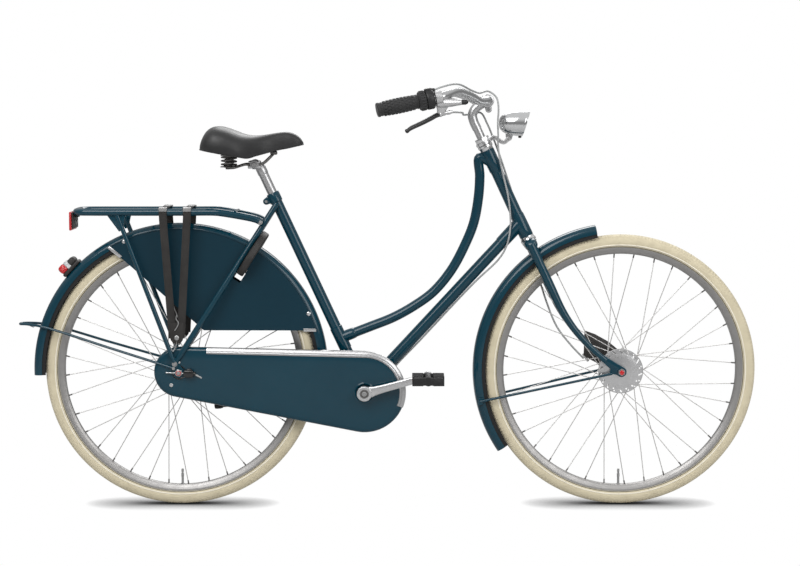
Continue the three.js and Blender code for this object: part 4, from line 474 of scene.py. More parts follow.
class Finishes:
    """Every finish of the bike, each built once, at its first use."""

    def __init__(self) -> None:
        """Lists the finishes."""
        cream, dusty_cream = tone(205, 195, 168), tone(186, 176, 150)
        rim, tinted = (0.36, 0.352, 0.345, 1), {"clear": 0.25, "prism": 0.003, "depth": 0.0004}
        finishes = [
            Enamel("petrol_enamel", tone(4, 55, 70), tone(3, 47, 61)),
            Enamel("petrol_sheet", tone(4, 45, 59), tone(3, 40, 53), 0.4, 0.08),
            Metal("chrome_plate", grey(0.66, 0.01), 0.11, smudge=0.05),
            Metal("satin_alloy", (0.5, 0.5, 0.505, 1), 0.34, stretch=(1, 6, 1)),
            Metal("bright_alloy", (0.62, 0.62, 0.625, 1), 0.3),
            Metal("polished_alloy", grey(0.54, 0.01), 0.2, smudge=0.06),
            Metal("zinc_steel", grey(0.42), 0.4, smudge=0.2),
            Metal("spoke_steel", grey(0.62, -0.02), 0.55, smudge=0.15),
            Metal("dark_steel", grey(0.16, -0.01), 0.45, smudge=0.2),
            Metal("brass", (0.72, 0.52, 0.2, 1), 0.3, smudge=0.2),
            Moulded("black_plastic", tone(22, 22, 23), tone(40, 40, 41), 0.42),
            Moulded("charcoal_plastic", tone(36, 34, 33), tone(54, 52, 50), 0.5),
            Moulded("gloss_black", tone(14, 14, 15), tone(28, 28, 29), 0.2, coat=0.5),
            # Black for the strips of painted shade under the mudguards' edges
            Moulded("painted_shade_black", tone(9, 9, 10), tone(20, 20, 21), 0.65),
            Moulded("grip_rubber", tone(26, 26, 27), tone(44, 44, 45), 0.62, 0.0016, 0.00012, sheen=0.1),
            Moulded("cable_sheath", tone(158, 160, 160), tone(134, 134, 134), 0.36, 0.003, 0.00001),
            Moulded("pale_plastic", tone(206, 206, 202), tone(182, 182, 178), 0.4),
            # Pale rubber for the painted highlight ring on the tyres
            Moulded("painted_highlight_rubber", tone(232, 226, 210), tone(214, 206, 188), 0.6),
            Moulded("pedal_rubber", tone(26, 26, 27), tone(48, 47, 46), 0.7, 0.0014, 0.0001),
            Hide("saddle_hide", tone(24, 24, 25), tone(42, 42, 43)),
            TyreRubber("front_tyre_rubber", cream, dusty_cream, FRONT_AXLE),
            TyreRubber("rear_tyre_rubber", cream, dusty_cream, REAR_AXLE),
            TurnedMetal("front_rim_metal", rim, FRONT_AXLE, 0.42),
            TurnedMetal("rear_rim_metal", rim, REAR_AXLE, 0.42),
            TurnedMetal("crank_metal", (0.66, 0.66, 0.665, 1), BRACKET, 0.3, 0.001),
            Banding("strap_band", tone(34, 32, 31), tone(52, 50, 48)),
            Lens("lamp_glass", (0.95, 0.97, 0.98, 1), 0.9),
            Lens("red_lens", tone(215, 30, 36), **tinted),
            Lens("amber_lens", tone(200, 110, 20), **tinted),
            Lens("white_lens", (0.85, 0.87, 0.88, 1), 0.4, 0.003, 0.0004),
        ]
        self.finishes = {finish.name: finish for finish in finishes}
        self.made: dict[str, bpy.types.Material] = {}

    def __getitem__(self, name: str) -> bpy.types.Material:
        """The material of that name."""
        if name not in self.made:
            finish = self.finishes[name]
            self.made[name] = finish.make(getattr(finish, "centre", None))
        return self.made[name]


FINISH = Finishes()


# Modelling


def select_none() -> None:
    """Deselects everything, so that an operator acts on the new piece alone."""
    for thing in list(bpy.context.selected_objects):
        thing.select_set(False)


def take(piece: bpy.types.Object) -> None:
    """Selects one piece and makes it the active one."""
    select_none()
    piece.select_set(True)
    bpy.context.view_layer.objects.active = piece


def made(name: str) -> bpy.types.Object:
    """The piece that an operator has just made, with its name."""
    piece = bpy.context.object
    piece.name = piece.data.name = name
    return piece


def edit(piece: bpy.types.Object, *steps: Callable[[], object]) -> None:
    """Runs steps in edit mode on a piece, with all of it selected."""
    take(piece)
    bpy.ops.object.mode_set(mode="EDIT")
    bpy.ops.mesh.select_all(action="SELECT")
    for step in steps:
        step()
    bpy.ops.object.mode_set(mode="OBJECT")


def mend() -> None:
    """In edit mode, merges what lies on the same spot and turns every face outwards."""
    bpy.ops.mesh.select_all(action="SELECT")
    bpy.ops.mesh.remove_doubles(threshold=0.000002)
    bpy.ops.mesh.normals_make_consistent(inside=False)


def close_seam() -> None:
    """In edit mode, merges the seam of a skin and fills its open edges."""
    mend()
    bpy.ops.mesh.select_all(action="DESELECT")
    bpy.ops.mesh.select_non_manifold(extend=False)
    bpy.ops.mesh.fill_holes(sides=0)


def apply(piece: bpy.types.Object, kind: str, **settings: object) -> bpy.types.Object:
    """Puts a modifier of a kind on a piece and applies it."""
    take(piece)
    modifier = piece.modifiers.new(kind.title(), kind)
    for name, value in settings.items():
        setattr(modifier, name, value)
    bpy.ops.object.modifier_apply(modifier=modifier.name)
    return piece


def bevelled(piece: bpy.types.Object, width: float, segments: int = 2,
             degrees: float = 35) -> bpy.types.Object:
    """Rounds a piece's sharp edges."""
    return apply(piece, "BEVEL", width=width, segments=segments, limit_method="ANGLE",
                 angle_limit=math.radians(degrees), use_clamp_overlap=True)


def bored(piece: bpy.types.Object, *cutters: bpy.types.Object) -> bpy.types.Object:
    """Cuts other pieces out of one, and takes them away."""
    for cutter in cutters:
        apply(piece, "BOOLEAN", operation="DIFFERENCE", solver="EXACT", object=cutter)
        bpy.data.objects.remove(cutter)
    return piece


def joined(name: str, *pieces: bpy.types.Object) -> bpy.types.Object:
    """Joins pieces into one object of that name."""
    take(pieces[0])
    for piece in pieces[1:]:
        piece.select_set(True)
    if len(pieces) > 1:
        bpy.ops.object.join()
    return made(name)


def loop(name: str, points: Sequence[Vector]) -> bpy.types.Object:
    """A closed loop of edges through points: a circle whose corners are moved there."""
    select_none()
    bpy.ops.mesh.primitive_circle_add(vertices=len(points), radius=MM, location=(0, 0, 0))
    piece = made(name)
    for vertex, point in zip(piece.data.vertices, points):
        vertex.co = point
    return piece


def swept(name: str, section: Outline, centre: Vector, axis: Vector = -LEFT, ahead: Vector = FORWARD,
          start: float = 0, end: float = 360, steps: int = 64) -> bpy.types.Object:
    """Spins a closed section of (radius, distance along the axis) pairs round an axis.

    Args:
        name: The piece's name.
        section: The closed section.
        centre: A point of the axis, from which the distances count.
        axis: The axis; the turn is to the right about it.
        ahead: Where angle zero points.
        start: The angle where the sweep starts, in degrees.
        end: Where it ends. A whole turn closes on itself.
        steps: How many steps it takes.

    Returns:
        The closed piece.
    """
    axis = axis.normalized()
    outward = Matrix.Rotation(math.radians(start), 3, axis) @ ahead.normalized()
    piece = loop(name, [centre + outward * radius + axis * along for radius, along in section])

    def spin() -> None:
        """Spins the section and closes its ends where it has any."""
        if end - start < 360:
            bpy.ops.mesh.edge_face_add()
        bpy.ops.mesh.spin(steps=steps, angle=math.radians(start - end), center=centre, axis=axis)
        mend()

    edit(piece, spin)
    return piece


def lathe(name: str, profile: Outline, centre: Vector, axis: Vector, steps: int = 48) -> bpy.types.Object:
    """Turns a closed profile of (radius, distance) pairs a whole turn round any axis."""
    axis = axis.normalized()
    return swept(name, profile, centre, axis, axis.orthogonal().normalized(), steps=steps)


def capped(name: str, radii: Outline, centre: Vector, axis: Vector, steps: int = 48) -> bpy.types.Object:
    """A solid turned piece: (radius, distance) pairs along its outside, closed on the axis at both ends."""
    return lathe(name, [(0, radii[0][1]), *radii, (0, radii[-1][1])], centre, axis, steps)


def tube(name: str, points: Sequence[Vector], radius: float, sides: int = 16, per_span: int = 6,
         end_radius: float | None = None, taper_from: float = 0) -> bpy.types.Object:
    """A round tube along the smooth curve through points.

    Args:
        name: The piece's name.
        points: What the tube's middle line passes through.
        radius: The tube's radius.
        sides: How many faces lie round it.
        per_span: Steps between two points; 0 keeps the points as they are.
        end_radius: The radius at its far end, where it tapers.
        taper_from: The share of its length where the taper starts.

    Returns:
        The mesh, closed at both ends.
    """
    route = smooth_route(points, per_span) if per_span else list(points)
    select_none()
    bpy.ops.curve.primitive_bezier_curve_add(location=(0, 0, 0))
    piece = made(name)
    curve = piece.data
    curve.splines.clear()
    spline = curve.splines.new("POLY")
    last = len(route) - 1
    spline.points.add(last)
    for index, (corner, point) in enumerate(zip(spline.points, route)):
        corner.co = (*point, 1)
        share = max(0.0, (index / last - taper_from) / (1 - taper_from))
        corner.radius = 1 if end_radius is None else 1 + (end_radius / radius - 1) * share
    curve.dimensions = "3D"
    curve.bevel_depth = radius
    curve.bevel_resolution = max(0, sides // 4 - 1)
    curve.use_fill_caps = True
    take(piece)
    bpy.ops.object.convert(target="MESH")
    piece = made(name)
    edit(piece, mend)
    return piece


def rod(name: str, start: Vector, end: Vector, radius: float, end_radius: float | None = None,
        sides: int = 24, edge: float = 0) -> bpy.types.Object:
    """A straight round bar, which may taper and have rounded rims."""
    long = (end - start).length
    far = radius if end_radius is None else end_radius
    profile = [(radius, 0), (far, long)]
    if edge:
        profile = [(radius - edge, 0), (radius, edge), (far, long - edge), (far - edge, long)]
    return capped(name, profile, start, end - start, sides)


def hex_nut(name: str, seat: Vector, way: Vector, radius: float, low: float, high: float, edge: float,
            segments: int = 2, sides: int = 6) -> bpy.types.Object:
    """A nut or bolt head with flat sides, from one distance to another beyond its seat."""
    return bevelled(capped(name, [(radius, low), (radius, high)], seat, way, sides), edge, segments)


def plate(name: str, outline: Sequence[Vector], depth: Vector, edge: float = 0) -> bpy.types.Object:
    """A flat outline given a thickness.

    Args:
        name: The piece's name.
        outline: Its corners, all in one plane.
        depth: The way and distance that it is extruded.
        edge: The rounding of its rims, or 0.

    Returns:
        The closed piece.
    """
    piece = loop(name, outline)
    edit(piece, bpy.ops.mesh.edge_face_add,
         lambda: bpy.ops.mesh.extrude_region_move(TRANSFORM_OT_translate={"value": depth}), mend)
    return bevelled(piece, edge, 2, 50) if edge else piece


def belt(rear: Vector, rear_radius: float, front: Vector, front_radius: float, side: float,
         steps: int = 24) -> list[Vector]:
    """The outline of a belt round two circles in the bike's own plane, at a side distance."""
    along = front - rear
    slope = math.atan2(along.z, along.x)
    lean = math.acos(max(-1, min(1, (rear_radius - front_radius) / math.hypot(along.x, along.z))))
    outline = []
    for centre, radius, start, end in ((rear, rear_radius, lean, FULL_TURN - lean),
                                       (front, front_radius, -lean, lean)):
        for step in range(steps + 1):
            angle = slope + start + (end - start) * step / steps
            outline.append(Vector((centre.x + radius * math.cos(angle), side,
                                   centre.z + radius * math.sin(angle))))
    return outline


def bar_plate(name: str, start: Vector, end: Vector, radius: float, end_radius: float, side: float,
              other: float, edge: float = 0.001) -> bpy.types.Object:
    """A flat bar with round ends, upright in the bike's plane, from one side distance to another."""
    return plate(name, belt(start, radius, end, end_radius, side, 12), LEFT * (other - side), edge)


def block(name: str, centre: Vector, size: Triple, edge: float, turn: Matrix | None = None,
          segments: int = 3) -> bpy.types.Object:
    """A box with rounded edges: a cube drawn out to its size, bevelled, turned and put in place."""
    select_none()
    bpy.ops.mesh.primitive_cube_add(size=1, location=(0, 0, 0))
    piece = made(name)
    edit(piece, lambda: bpy.ops.transform.resize(value=size), mend)
    bevelled(piece, edge, segments)
    piece.data.transform(Matrix.Translation(centre) @ (turn.to_4x4() if turn else Matrix.Identity(4)))
    return piece


def facing(*ways: Vector) -> Matrix:
    """The turn that brings the three axes of a block to these ways."""
    return Matrix(ways).transposed()


def skinned(name: str, rows: Sequence[Sequence[Vector]]) -> bpy.types.Object:
    """A skin over rows of equal point counts: a grid whose corners are moved there."""
    last_row, last = len(rows) - 1, len(rows[0]) - 1
    select_none()
    bpy.ops.mesh.primitive_grid_add(x_subdivisions=last, y_subdivisions=last_row, size=1, location=(0, 0, 0))
    piece = made(name)
    for vertex in piece.data.vertices:
        row = round((vertex.co.y + 0.5) * last_row)
        vertex.co = rows[row][round((vertex.co.x + 0.5) * last)]
    return piece


def lofted(name: str, sections: Sequence[Sequence[Vector]]) -> bpy.types.Object:
    """A closed solid through closed sections of equal point counts, with flat or pointed ends."""
    piece = skinned(name, [[*section, section[0]] for section in sections])
    edit(piece, close_seam, lambda: bpy.ops.mesh.select_all(action="SELECT"),
         lambda: bpy.ops.mesh.fill_holes(sides=0), mend)
    return piece


def ribbon(name: str, route: Sequence[Vector], across: Vector, width: float, thickness: float,
           edge: float = 0.0006) -> bpy.types.Object:
    """A flat band along a route, its thickness half to each side."""
    half = across.normalized() * width / 2
    piece = skinned(name, [[point - half for point in route], [point + half for point in route]])
    apply(piece, "SOLIDIFY", thickness=thickness, offset=0)
    return bevelled(piece, edge, 2)


def bolt(name: str, seat: Vector, way: Vector, radius: float, height: float,
         domed: bool = False) -> bpy.types.Object:
    """A bolt head on a washer, six-sided or domed."""
    way = way.normalized()
    washer = capped(f"{name}_washer", [(radius * 1.5, 0), (radius * 1.5, height * 0.25)], seat, way, 24)
    seat = seat + way * height * 0.25
    if domed:
        dome = [(radius, 0), (radius * 0.95, height * 0.5), (radius * 0.6, height * 0.9)]
        return joined(name, capped(name, dome, seat, way, 24), washer)
    return joined(name, hex_nut(name, seat, way, radius, 0, height, radius * 0.08, 1), washer)


def track(points: Sequence[Vector], index: int) -> Vector:
    """The way that a row of points runs at one of them."""
    return (points[min(index + 1, len(points) - 1)] - points[max(index - 1, 0)]).normalized()


@dataclass(frozen=True)
class Bend:
    """A stretch over which a piece that crosses a joint would pass from one body to the next; only whether one
    is given is read.
    """

    body: str
    start: Triple
    end: Triple


def dress(piece: bpy.types.Object, finish: str, body: str, replaces: Sequence[str] = (),
          degrees: float = 32, bend: Bend | None = None) -> None:
    """Finishes a piece and hands it to the frame.

    Args:
        piece: The finished mesh.
        finish: The name of its finish.
        body: The CAD body it rides on.
        replaces: The CAD nodes it stands for.
        degrees: Edges flatter than this are shaded smooth.
        bend: Where the piece would pass from another body to its own, if it crosses a joint; only whether it is
            given is read, and then the piece is baked in place on no body.
    """
    piece.data.materials.clear()
    piece.data.materials.append(FINISH[finish])
    take(piece)
    bpy.ops.object.shade_smooth_by_angle(angle=math.radians(degrees))
    if bend:
        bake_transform(piece)
    else:
        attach(piece, body)
    if replaces:
        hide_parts(*replaces)
    log.info("%s: %d faces, rides on %s", piece.name, len(piece.data.polygons), body)


# Sub-assemblies


@dataclass
class Wheel:
    """A wheel: tyre, rim, hub, laced spokes with nipples, and a valve that stands at the bottom."""

    name: str
    centre: Vector
    barrel: float
    body: str
    left_end: float
    right_end: float
    tyre_radius: float = 0.3557
    tyre_half: float = 0.02
    tread_degrees: float = 34
    rim_outer: float = 0.3235
    rim_inner: float = 0.304
    rim_half: float = 0.014
    spoke_radius: float = 0.00115
    spoke_count: int = 36
    flange_side: float = 0.0285
    flange_radius: float = 0.045
    flange_half: float = 0.0013
    hole_radius: float = 0.0415
    steps: int = 180

    def build(self) -> None:
        """Makes every piece of the wheel."""
        self.tyre()
        self.tyre_lines()
        self.rim()
        self.hub()
        self.spokes()
        self.valve()

    def tyre(self) -> None:
        """The tyre: a round casing, a flatter tread in the middle and a bead in the rim."""
        middle = self.tyre_radius - self.tyre_half
        outside = []
        for step in range(33):
            angle = math.radians(-148 + 296 * step / 32)
            reach = self.tyre_half - (0.0009 if abs(math.degrees(angle)) <= self.tread_degrees else 0)
            outside.append((middle + reach * math.cos(angle), reach * math.sin(angle)))
        piece = swept(f"{self.name}_tyre_casing", outside, self.centre, steps=self.steps)
        dress(piece, f"{self.name}_tyre_rubber", self.body, [f"{self.name}_tyre"], 40)

    def tyre_lines(self) -> None:
        """On each side a pale ring of painted highlight round the casing, and a dark ring of painted shade
        where it enters the rim.
        """
        for side, label in SIDES:
            # The pale ring is a painted highlight and the dark ring is painted shade in the crease between tyre
            # and rim
            for line, finish, above, out, thick in (("pale_line", "painted_highlight_rubber", 0.0047, 0.0184, 0.0016),
                                                    ("dark_line", "charcoal_plastic", -0.0002, 0.0149,
                                                     0.0011)):
                middle = self.rim_outer + above
                ring = [(middle + thick * math.cos(turn),
                         side * out + thick * math.sin(turn)) for turn in angles(10)]
                piece = swept(f"{self.name}_{line}_{label}", ring, self.centre, steps=self.steps)
                dress(piece, finish, self.body)

    def rim(self) -> None:
        """The rim: rolled edges, a pressed side and a raised middle for the nipples."""
        half, outer, inner = self.rim_half, self.rim_outer, self.rim_inner
        seat = [(outer + 0.0004, half - 0.001), (outer, half - 0.0025), (outer - 0.008, half - 0.003),
                (outer - 0.012, 0.005)]
        under = [(outer, half), (outer - 0.0062, half), (outer - 0.0085, half - 0.0012),
                 (outer - 0.0125, half - 0.0022), (inner + 0.0032, 0.0096), (inner + 0.0006, 0.0075),
                 (inner, 0.0045)]
        section = [(outer, -half), *((radius, -out) for radius, out in seat), *reversed(seat), *under,
                   *((radius, -out) for radius, out in reversed(under[1:]))]
        piece = swept(f"{self.name}_rim_section", section, self.centre, steps=self.steps)
        dress(piece, f"{self.name}_rim_metal", self.body, [f"{self.name}_rim"])

    def hub(self) -> None:
        """The hub shell between its two flanges."""
        side, flange, barrel, edge = self.flange_side, self.flange_radius, self.barrel, self.flange_half
        half = [(barrel, side - 0.008), (barrel + 0.0008, side - 0.004), (barrel + 0.003, side - edge),
                (flange - 0.001, side - edge), (flange, side), (flange - 0.001, side + edge)]
        shell = [(barrel * 0.62, self.right_end), (barrel * 0.66, self.right_end + 0.002),
                 (barrel * 0.66, -side - 0.006), (barrel * 0.85, -side - edge),
                 *((radius, -out) for radius, out in reversed(half)), (barrel * 0.97, 0), *half,
                 (barrel * 0.95, side + edge), (barrel * 0.8, side + 0.004),
                 (barrel * 0.78, self.left_end - 0.001), (barrel * 0.74, self.left_end)]
        dress(capped(f"{self.name}_hub_shell", shell, self.centre, LEFT, 72), "satin_alloy", self.body,
              [f"{self.name}_hub"])

    def spokes(self) -> None:
        """The spokes, crossed three times, each with its head and nipple."""
        head_shape = [(0.0012, -0.0005), (0.0021, 0), (0.0014, 0.0011)]
        nipple_shape = [(0.0015, 0), (0.0019, 0.0008), (0.0019, 0.0095), (0.0026, 0.011), (0.0026, 0.0125)]
        first, lead_degrees, off_flange = 3.1, 55, 0.0022
        rods, nipples = [], []
        for i in range(self.spoke_count):
            side = 1 if i % 2 == 0 else -1
            lead = 1 if i % 4 < 2 else -1
            turn = first + 360 * i / self.spoke_count
            head = round_wheel(self.centre, self.hole_radius, turn + lead * lead_degrees,
                               side * (self.flange_side + lead * off_flange))
            tip = round_wheel(self.centre, self.rim_inner + 0.0015, turn, side * 0.004)
            rods.append(rod("spoke", head, tip, self.spoke_radius, sides=8))
            rods.append(capped("spoke_head", head_shape, head, LEFT * side * lead, 8))
            along = (tip - head).normalized()
            nipples.append(capped("nipple", nipple_shape, tip - along * 0.0115, along, 10))
        dress(joined(f"{self.name}_spoke_set", *rods), "spoke_steel", self.body)
        dress(joined(f"{self.name}_nipple_set", *nipples), "dark_steel", self.body)

    def valve(self) -> None:
        """The valve stem with its nut and cap."""
        foot = round_wheel(self.centre, self.rim_inner + 0.002, 270)
        stem = capped(f"{self.name}_valve", [
            (0.0058, 0), (0.0058, 0.003), (0.0031, 0.0034), (0.0031, 0.021), (0.0036, 0.0215),
            (0.0036, 0.03), (0.0026, 0.0304), (0.0026, 0.034), (0.0032, 0.0345), (0.0032, 0.041),
            (0.002, 0.0425)], foot, UP, 16)
        dress(stem, "zinc_steel", self.body)


@dataclass
class FrontBrake:
    """The front hub brake: the disc with its ring of slots, the reaction arm's plate and the axle's cap."""

    radius: float = 0.0585
    bore: float = 0.012
    near: float = -0.0375
    far: float = -0.0335
    slots: int = 18
    slot_inner: float = 0.0485
    slot_outer: float = 0.0545
    slot_half: float = 0.002
    slot_lean: float = 2.5
    arm_near: float = 0.0405
    arm_thickness: float = 0.003
    arm_hole: float = 0.0075
    cap_sunk: float = 0.0002

    def build(self) -> None:
        """Makes all of it."""
        self.disc()
        self.reaction_arm()
        self.dust_cap()

    def disc(self) -> None:
        """The slotted disc on the side that is seen."""
        disc = lathe("front_disc", [(self.bore, self.near), (0.044, self.near), (0.047, self.near + 0.001),
                                    (self.radius - 0.001, self.near + 0.001),
                                    (self.radius, self.near + 0.002), (self.radius, self.far),
                                    (self.bore, self.far)], FRONT_AXLE, LEFT, 72)
        cutters = []
        low, high = self.near - 0.004, self.far + 0.004
        for i in range(self.slots):
            angle = 10 + 360 * i / self.slots
            inner = round_wheel(FRONT_AXLE, self.slot_inner, angle - self.slot_lean, low)
            outer = round_wheel(FRONT_AXLE, self.slot_outer, angle + self.slot_lean, low)
            cutters.append(bar_plate("slot", inner, outer, self.slot_half, self.slot_half, low, high, 0))
        bored(disc, joined("slots", *cutters))
        dress(disc, "bright_alloy", "front_wheel")

    def reaction_arm(self) -> None:
        """The dark brake plate on the left side, whose broad arm reaches up to the blade."""
        corners = [(-88, 98), (-60, 88), (-24, 68), (14, 36), (30, 4), (16, -26), (-14, -28), (-40, -8),
                   (-56, 12), (-72, 20), (-90, 32)]
        outline = [FRONT_AXLE + LEFT * self.arm_near + Vector((ahead, 0, up)) * MM for ahead, up in corners]
        arm = plate("brake_arm", outline, LEFT * self.arm_thickness, 0.0008)
        bored(arm, rod("axle_room", FRONT_AXLE, FRONT_AXLE + LEFT * 0.06, self.arm_hole, sides=32))
        dress(arm, "charcoal_plastic", "steering", ["front_brake_plate"])
        stop = rod("cable_stop", spot(1071, 47, 371), spot(1057, 47, 391), 0.0034, sides=20, edge=0.0006)
        dress(stop, "bright_alloy", "steering")

    def dust_cap(self) -> None:
        """The red cap in the right axle nut."""
        seat = Vector((FRONT_AXLE.x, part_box("front_axle")[0][1] + self.cap_sunk, FRONT_AXLE.z))
        cap = capped("front_axle_cap", [(0.0062, 0), (0.0062, 0.0012), (0.0036, 0.0024)], seat, -LEFT, 24)
        dress(cap, "red_lens", "steering")


@dataclass
class Mudguard:
    """A mudguard: a thin arched sheet with rolled edges, with a black strip of painted shade below each edge.
    """

    name: str
    centre: Vector
    body: str
    start: float
    end: float
    radius: float = 0.385
    half: float = 0.0265
    depth: float = 0.0232
    wall: float = 0.0015
    roll: float = 0.0018
    # How far the strip of painted shade reaches below the guard's edge, and how thick it is
    painted_shade_reach: float = 0.0095
    painted_shade_wall: float = 0.0008

    def build(self) -> None:
        """Makes the sheet and its strips of painted shade."""
        self.sheet()
        for side, label in SIDES:
            self.strip(side, label)

    def round_guard(self, name: str, section: Outline) -> bpy.types.Object:
        """A closed section drawn round the wheel from the guard's start to its end."""
        return swept(name, section, self.centre, -LEFT, FORWARD, self.start, self.end,
                     int((self.end - self.start) * 1.2))

    def sheet(self) -> None:
        """The arched sheet. Its arch says how far out and down each point lies, from the crown on."""
        arch = [(0.0, 0.0), (0.008, 0.0004), (0.0135, 0.0012), (0.0175, 0.0028), (0.0212, 0.0058),
                (0.0242, 0.0098), (0.026, 0.0145), (0.0264, 0.019), (self.half, self.depth)]
        outer = [(-out, -down) for out, down in reversed(arch)] + [(out, -down) for out, down in arch[1:]]
        inner = [(out * (1 - self.wall / self.half), down - self.wall) for out, down in reversed(outer)][1:-1]
        lip = self.half - self.roll * 1.5
        closed = [*outer, (lip, -self.depth), *inner, (-lip, -self.depth)]
        piece = self.round_guard(f"{self.name}_sheet", [(self.radius + down, out) for out, down in closed])
        dress(piece, "petrol_enamel", self.body, [self.name], 45)

    def strip(self, side: int, label: str) -> None:
        """The black strip of painted shade that stands out below an edge and closes the gap to the tyre, where
        the guard shades it.
        """
        edge = self.radius - self.depth
        out = side * (self.half - self.roll)
        inner = out - side * self.painted_shade_wall
        section = [(edge + self.painted_shade_wall, out), (edge - self.painted_shade_reach, out), (edge - self.painted_shade_reach, inner),
                   (edge + self.painted_shade_wall, inner)]
        # A black strip where there is only shade under the guard's edge: painted shade
        piece = self.round_guard(f"{self.name}_lining_{label}", section)
        dress(piece, "painted_shade_black", self.body)


@dataclass
class FrameTubes:
    """The painted frame: main tubes with their lugs, stays, dropouts and the chrome headset cups."""

    main_radius: float = 0.0155
    seat_radius: float = 0.0145
    top_radius: float = 0.0127
    head_radius: float = 0.0158
    lug_radius: float = 0.0182
    stay_radius: float = 0.0075
    chain_radius: float = 0.008
    seat_top: float = 0.568
    plate_edge: float = 0.0009

    def build(self) -> None:
        """Makes every tube of the frame."""
        self.head()
        self.bracket()
        self.down_tube()
        self.top_tube()
        self.seat_tube()
        for side, hand in SIDES:
            self.seat_stay(side, hand)
            self.chain_stay(side, f"chain_stay_{hand}")

    def painted(self, name: str, node: str, *pieces: bpy.types.Object) -> None:
        """Joins pieces and gives them the frame's paint."""
        dress(joined(name, *pieces), "petrol_enamel", "frame", [node])

    def head(self) -> None:
        """The head tube between its lugs, and the cups of the steering bearing."""
        radius, lug = self.head_radius, self.lug_radius
        profile = [(lug - 0.001, 0.42), (lug, 0.4225), (lug, 0.44), (lug - 0.0006, 0.48),
                   (radius + 0.0004, 0.4835), (radius, 0.49), (radius, 0.602), (radius + 0.0004, 0.608),
                   (lug - 0.0006, 0.611), (lug, 0.64), (lug, 0.6655), (lug - 0.001, 0.668)]
        self.painted("head_tube_skin", "head_tube", capped("head_tube_skin", profile, COLUMN_FOOT, COLUMN,
                                                           40))
        for name, low, high, wide in (("lower_cup", 0.406, 0.4205, 0.0205),
                                      ("upper_cup", 0.6675, 0.682, 0.0198)):
            rims = [(wide - 0.0012, low), (wide, low + 0.0012), (wide, low + 0.006),
                    (wide - 0.0022, low + 0.009), (wide - 0.0028, high)]
            if name == "upper_cup":
                rims = [(rim, low + high - along) for rim, along in reversed(rims)]
            dress(capped(name, rims, COLUMN_FOOT, COLUMN, 40), "chrome_plate", "frame")

    def bracket(self) -> None:
        """The bracket shell with its bearing cups."""
        half = [(0.021, 0.029), (0.0215, 0.03), (0.0215, 0.033), (0.0205, 0.034)]
        shell = [*((radius, -along) for radius, along in reversed(half)), *half]
        self.painted("bracket_shell_skin", "bottom_bracket_shell",
                     capped("bracket_shell_skin", shell, BRACKET, LEFT, 48))
        cup = capped("bracket_cup", [(0.0165, -0.0425), (0.0182, -0.0415), (0.0182, -0.034), (0.0182, 0.035),
                                     (0.0165, 0.036)], BRACKET, LEFT, 32)
        dress(cup, "zinc_steel", "frame")

    def down_tube(self) -> None:
        """The down tube, with a lug at each end."""
        start, end, radius = BRACKET, on_column(0, 0, 0.46), self.main_radius
        along = (end - start).normalized()
        body = rod("down_tube_skin", start + along * 0.012, end - along * 0.004, radius, sides=40)
        lug = capped("down_lug", [(radius, -0.075), (radius + 0.0014, -0.0735), (radius + 0.0018, -0.05),
                                  (radius + 0.002, -0.004)], end, along, 40)
        low = capped("down_lug_low", [(radius + 0.002, 0.012), (radius + 0.0018, 0.05),
                                      (radius + 0.0012, 0.0635), (radius, 0.065)], start, along, 40)
        self.painted("down_tube_skin", "down_tube", body, lug, low)

    def top_tube(self) -> None:
        """The curved upper tube, which sweeps down from the head tube to the seat tube."""
        low, high = on_seat_tube(0.1492), on_column(-0.026, 0, 0.658)
        shares = [(0, 0), (0.21, 0.062), (0.38, 0.114), (0.53, 0.178), (0.67, 0.257), (0.8, 0.378),
                  (0.9, 0.522), (0.962, 0.645), (0.995, 0.79), (1.003, 0.9), (1, 1)]
        span, radius, sleeve = high - low, self.top_radius, self.seat_radius
        points = [low + Vector((span.x * ahead, 0, span.z * up)) for ahead, up in shares]
        points.append(on_column(0, 0, 0.628))
        body = tube("top_tube_skin", points, radius, 28, 8)
        first = (points[1] - points[0]).normalized()
        lug = capped("seat_lug_low", [(radius + 0.0022, 0.008), (radius + 0.0018, 0.032),
                                      (radius + 0.001, 0.0395), (radius, 0.041)], low, first, 36)
        ring = capped("seat_sleeve", [(sleeve + 0.0002, -0.032), (sleeve + 0.0016, -0.0305),
                                      (sleeve + 0.0018, 0.0305), (sleeve + 0.0002, 0.032)], low, COLUMN, 36)
        self.painted("top_tube_skin", "top_tube", body, lug, ring)

    def seat_tube(self) -> None:
        """The seat tube with its slotted collar and clamp bolt at the top."""
        top, radius, screw_back, screw_down = self.seat_top, self.seat_radius, 0.0235, 0.0135
        body = capped("seat_tube_skin", [
            (radius, 0.015), (radius, top - 0.027), (0.0168, top - 0.0255), (0.017, top - 0.022),
            (0.017, top - 0.002), (0.0158, top), (0.0128, top), (0.0128, top - 0.001)], BRACKET, COLUMN, 40)
        screw_height = top - screw_down
        ears = bar_plate("seat_ears", on_seat_tube(top - 0.013, 0.017),
                         on_seat_tube(screw_height, screw_back), 0.0098, 0.0085, -0.0085, 0.0085, 0.0015)
        bored(ears, block("seat_slot", on_seat_tube(top - 0.012, 0.026), (0.034, 0.0026, 0.04), 0.0002))
        self.painted("seat_tube_skin", "seat_tube", body, ears)
        screw = rod("seat_clamp_bolt", on_seat_tube(screw_height, screw_back, -0.0125),
                    on_seat_tube(screw_height, screw_back, 0.0125), 0.0042, sides=24, edge=0.0008)
        dress(screw, "chrome_plate", "frame")

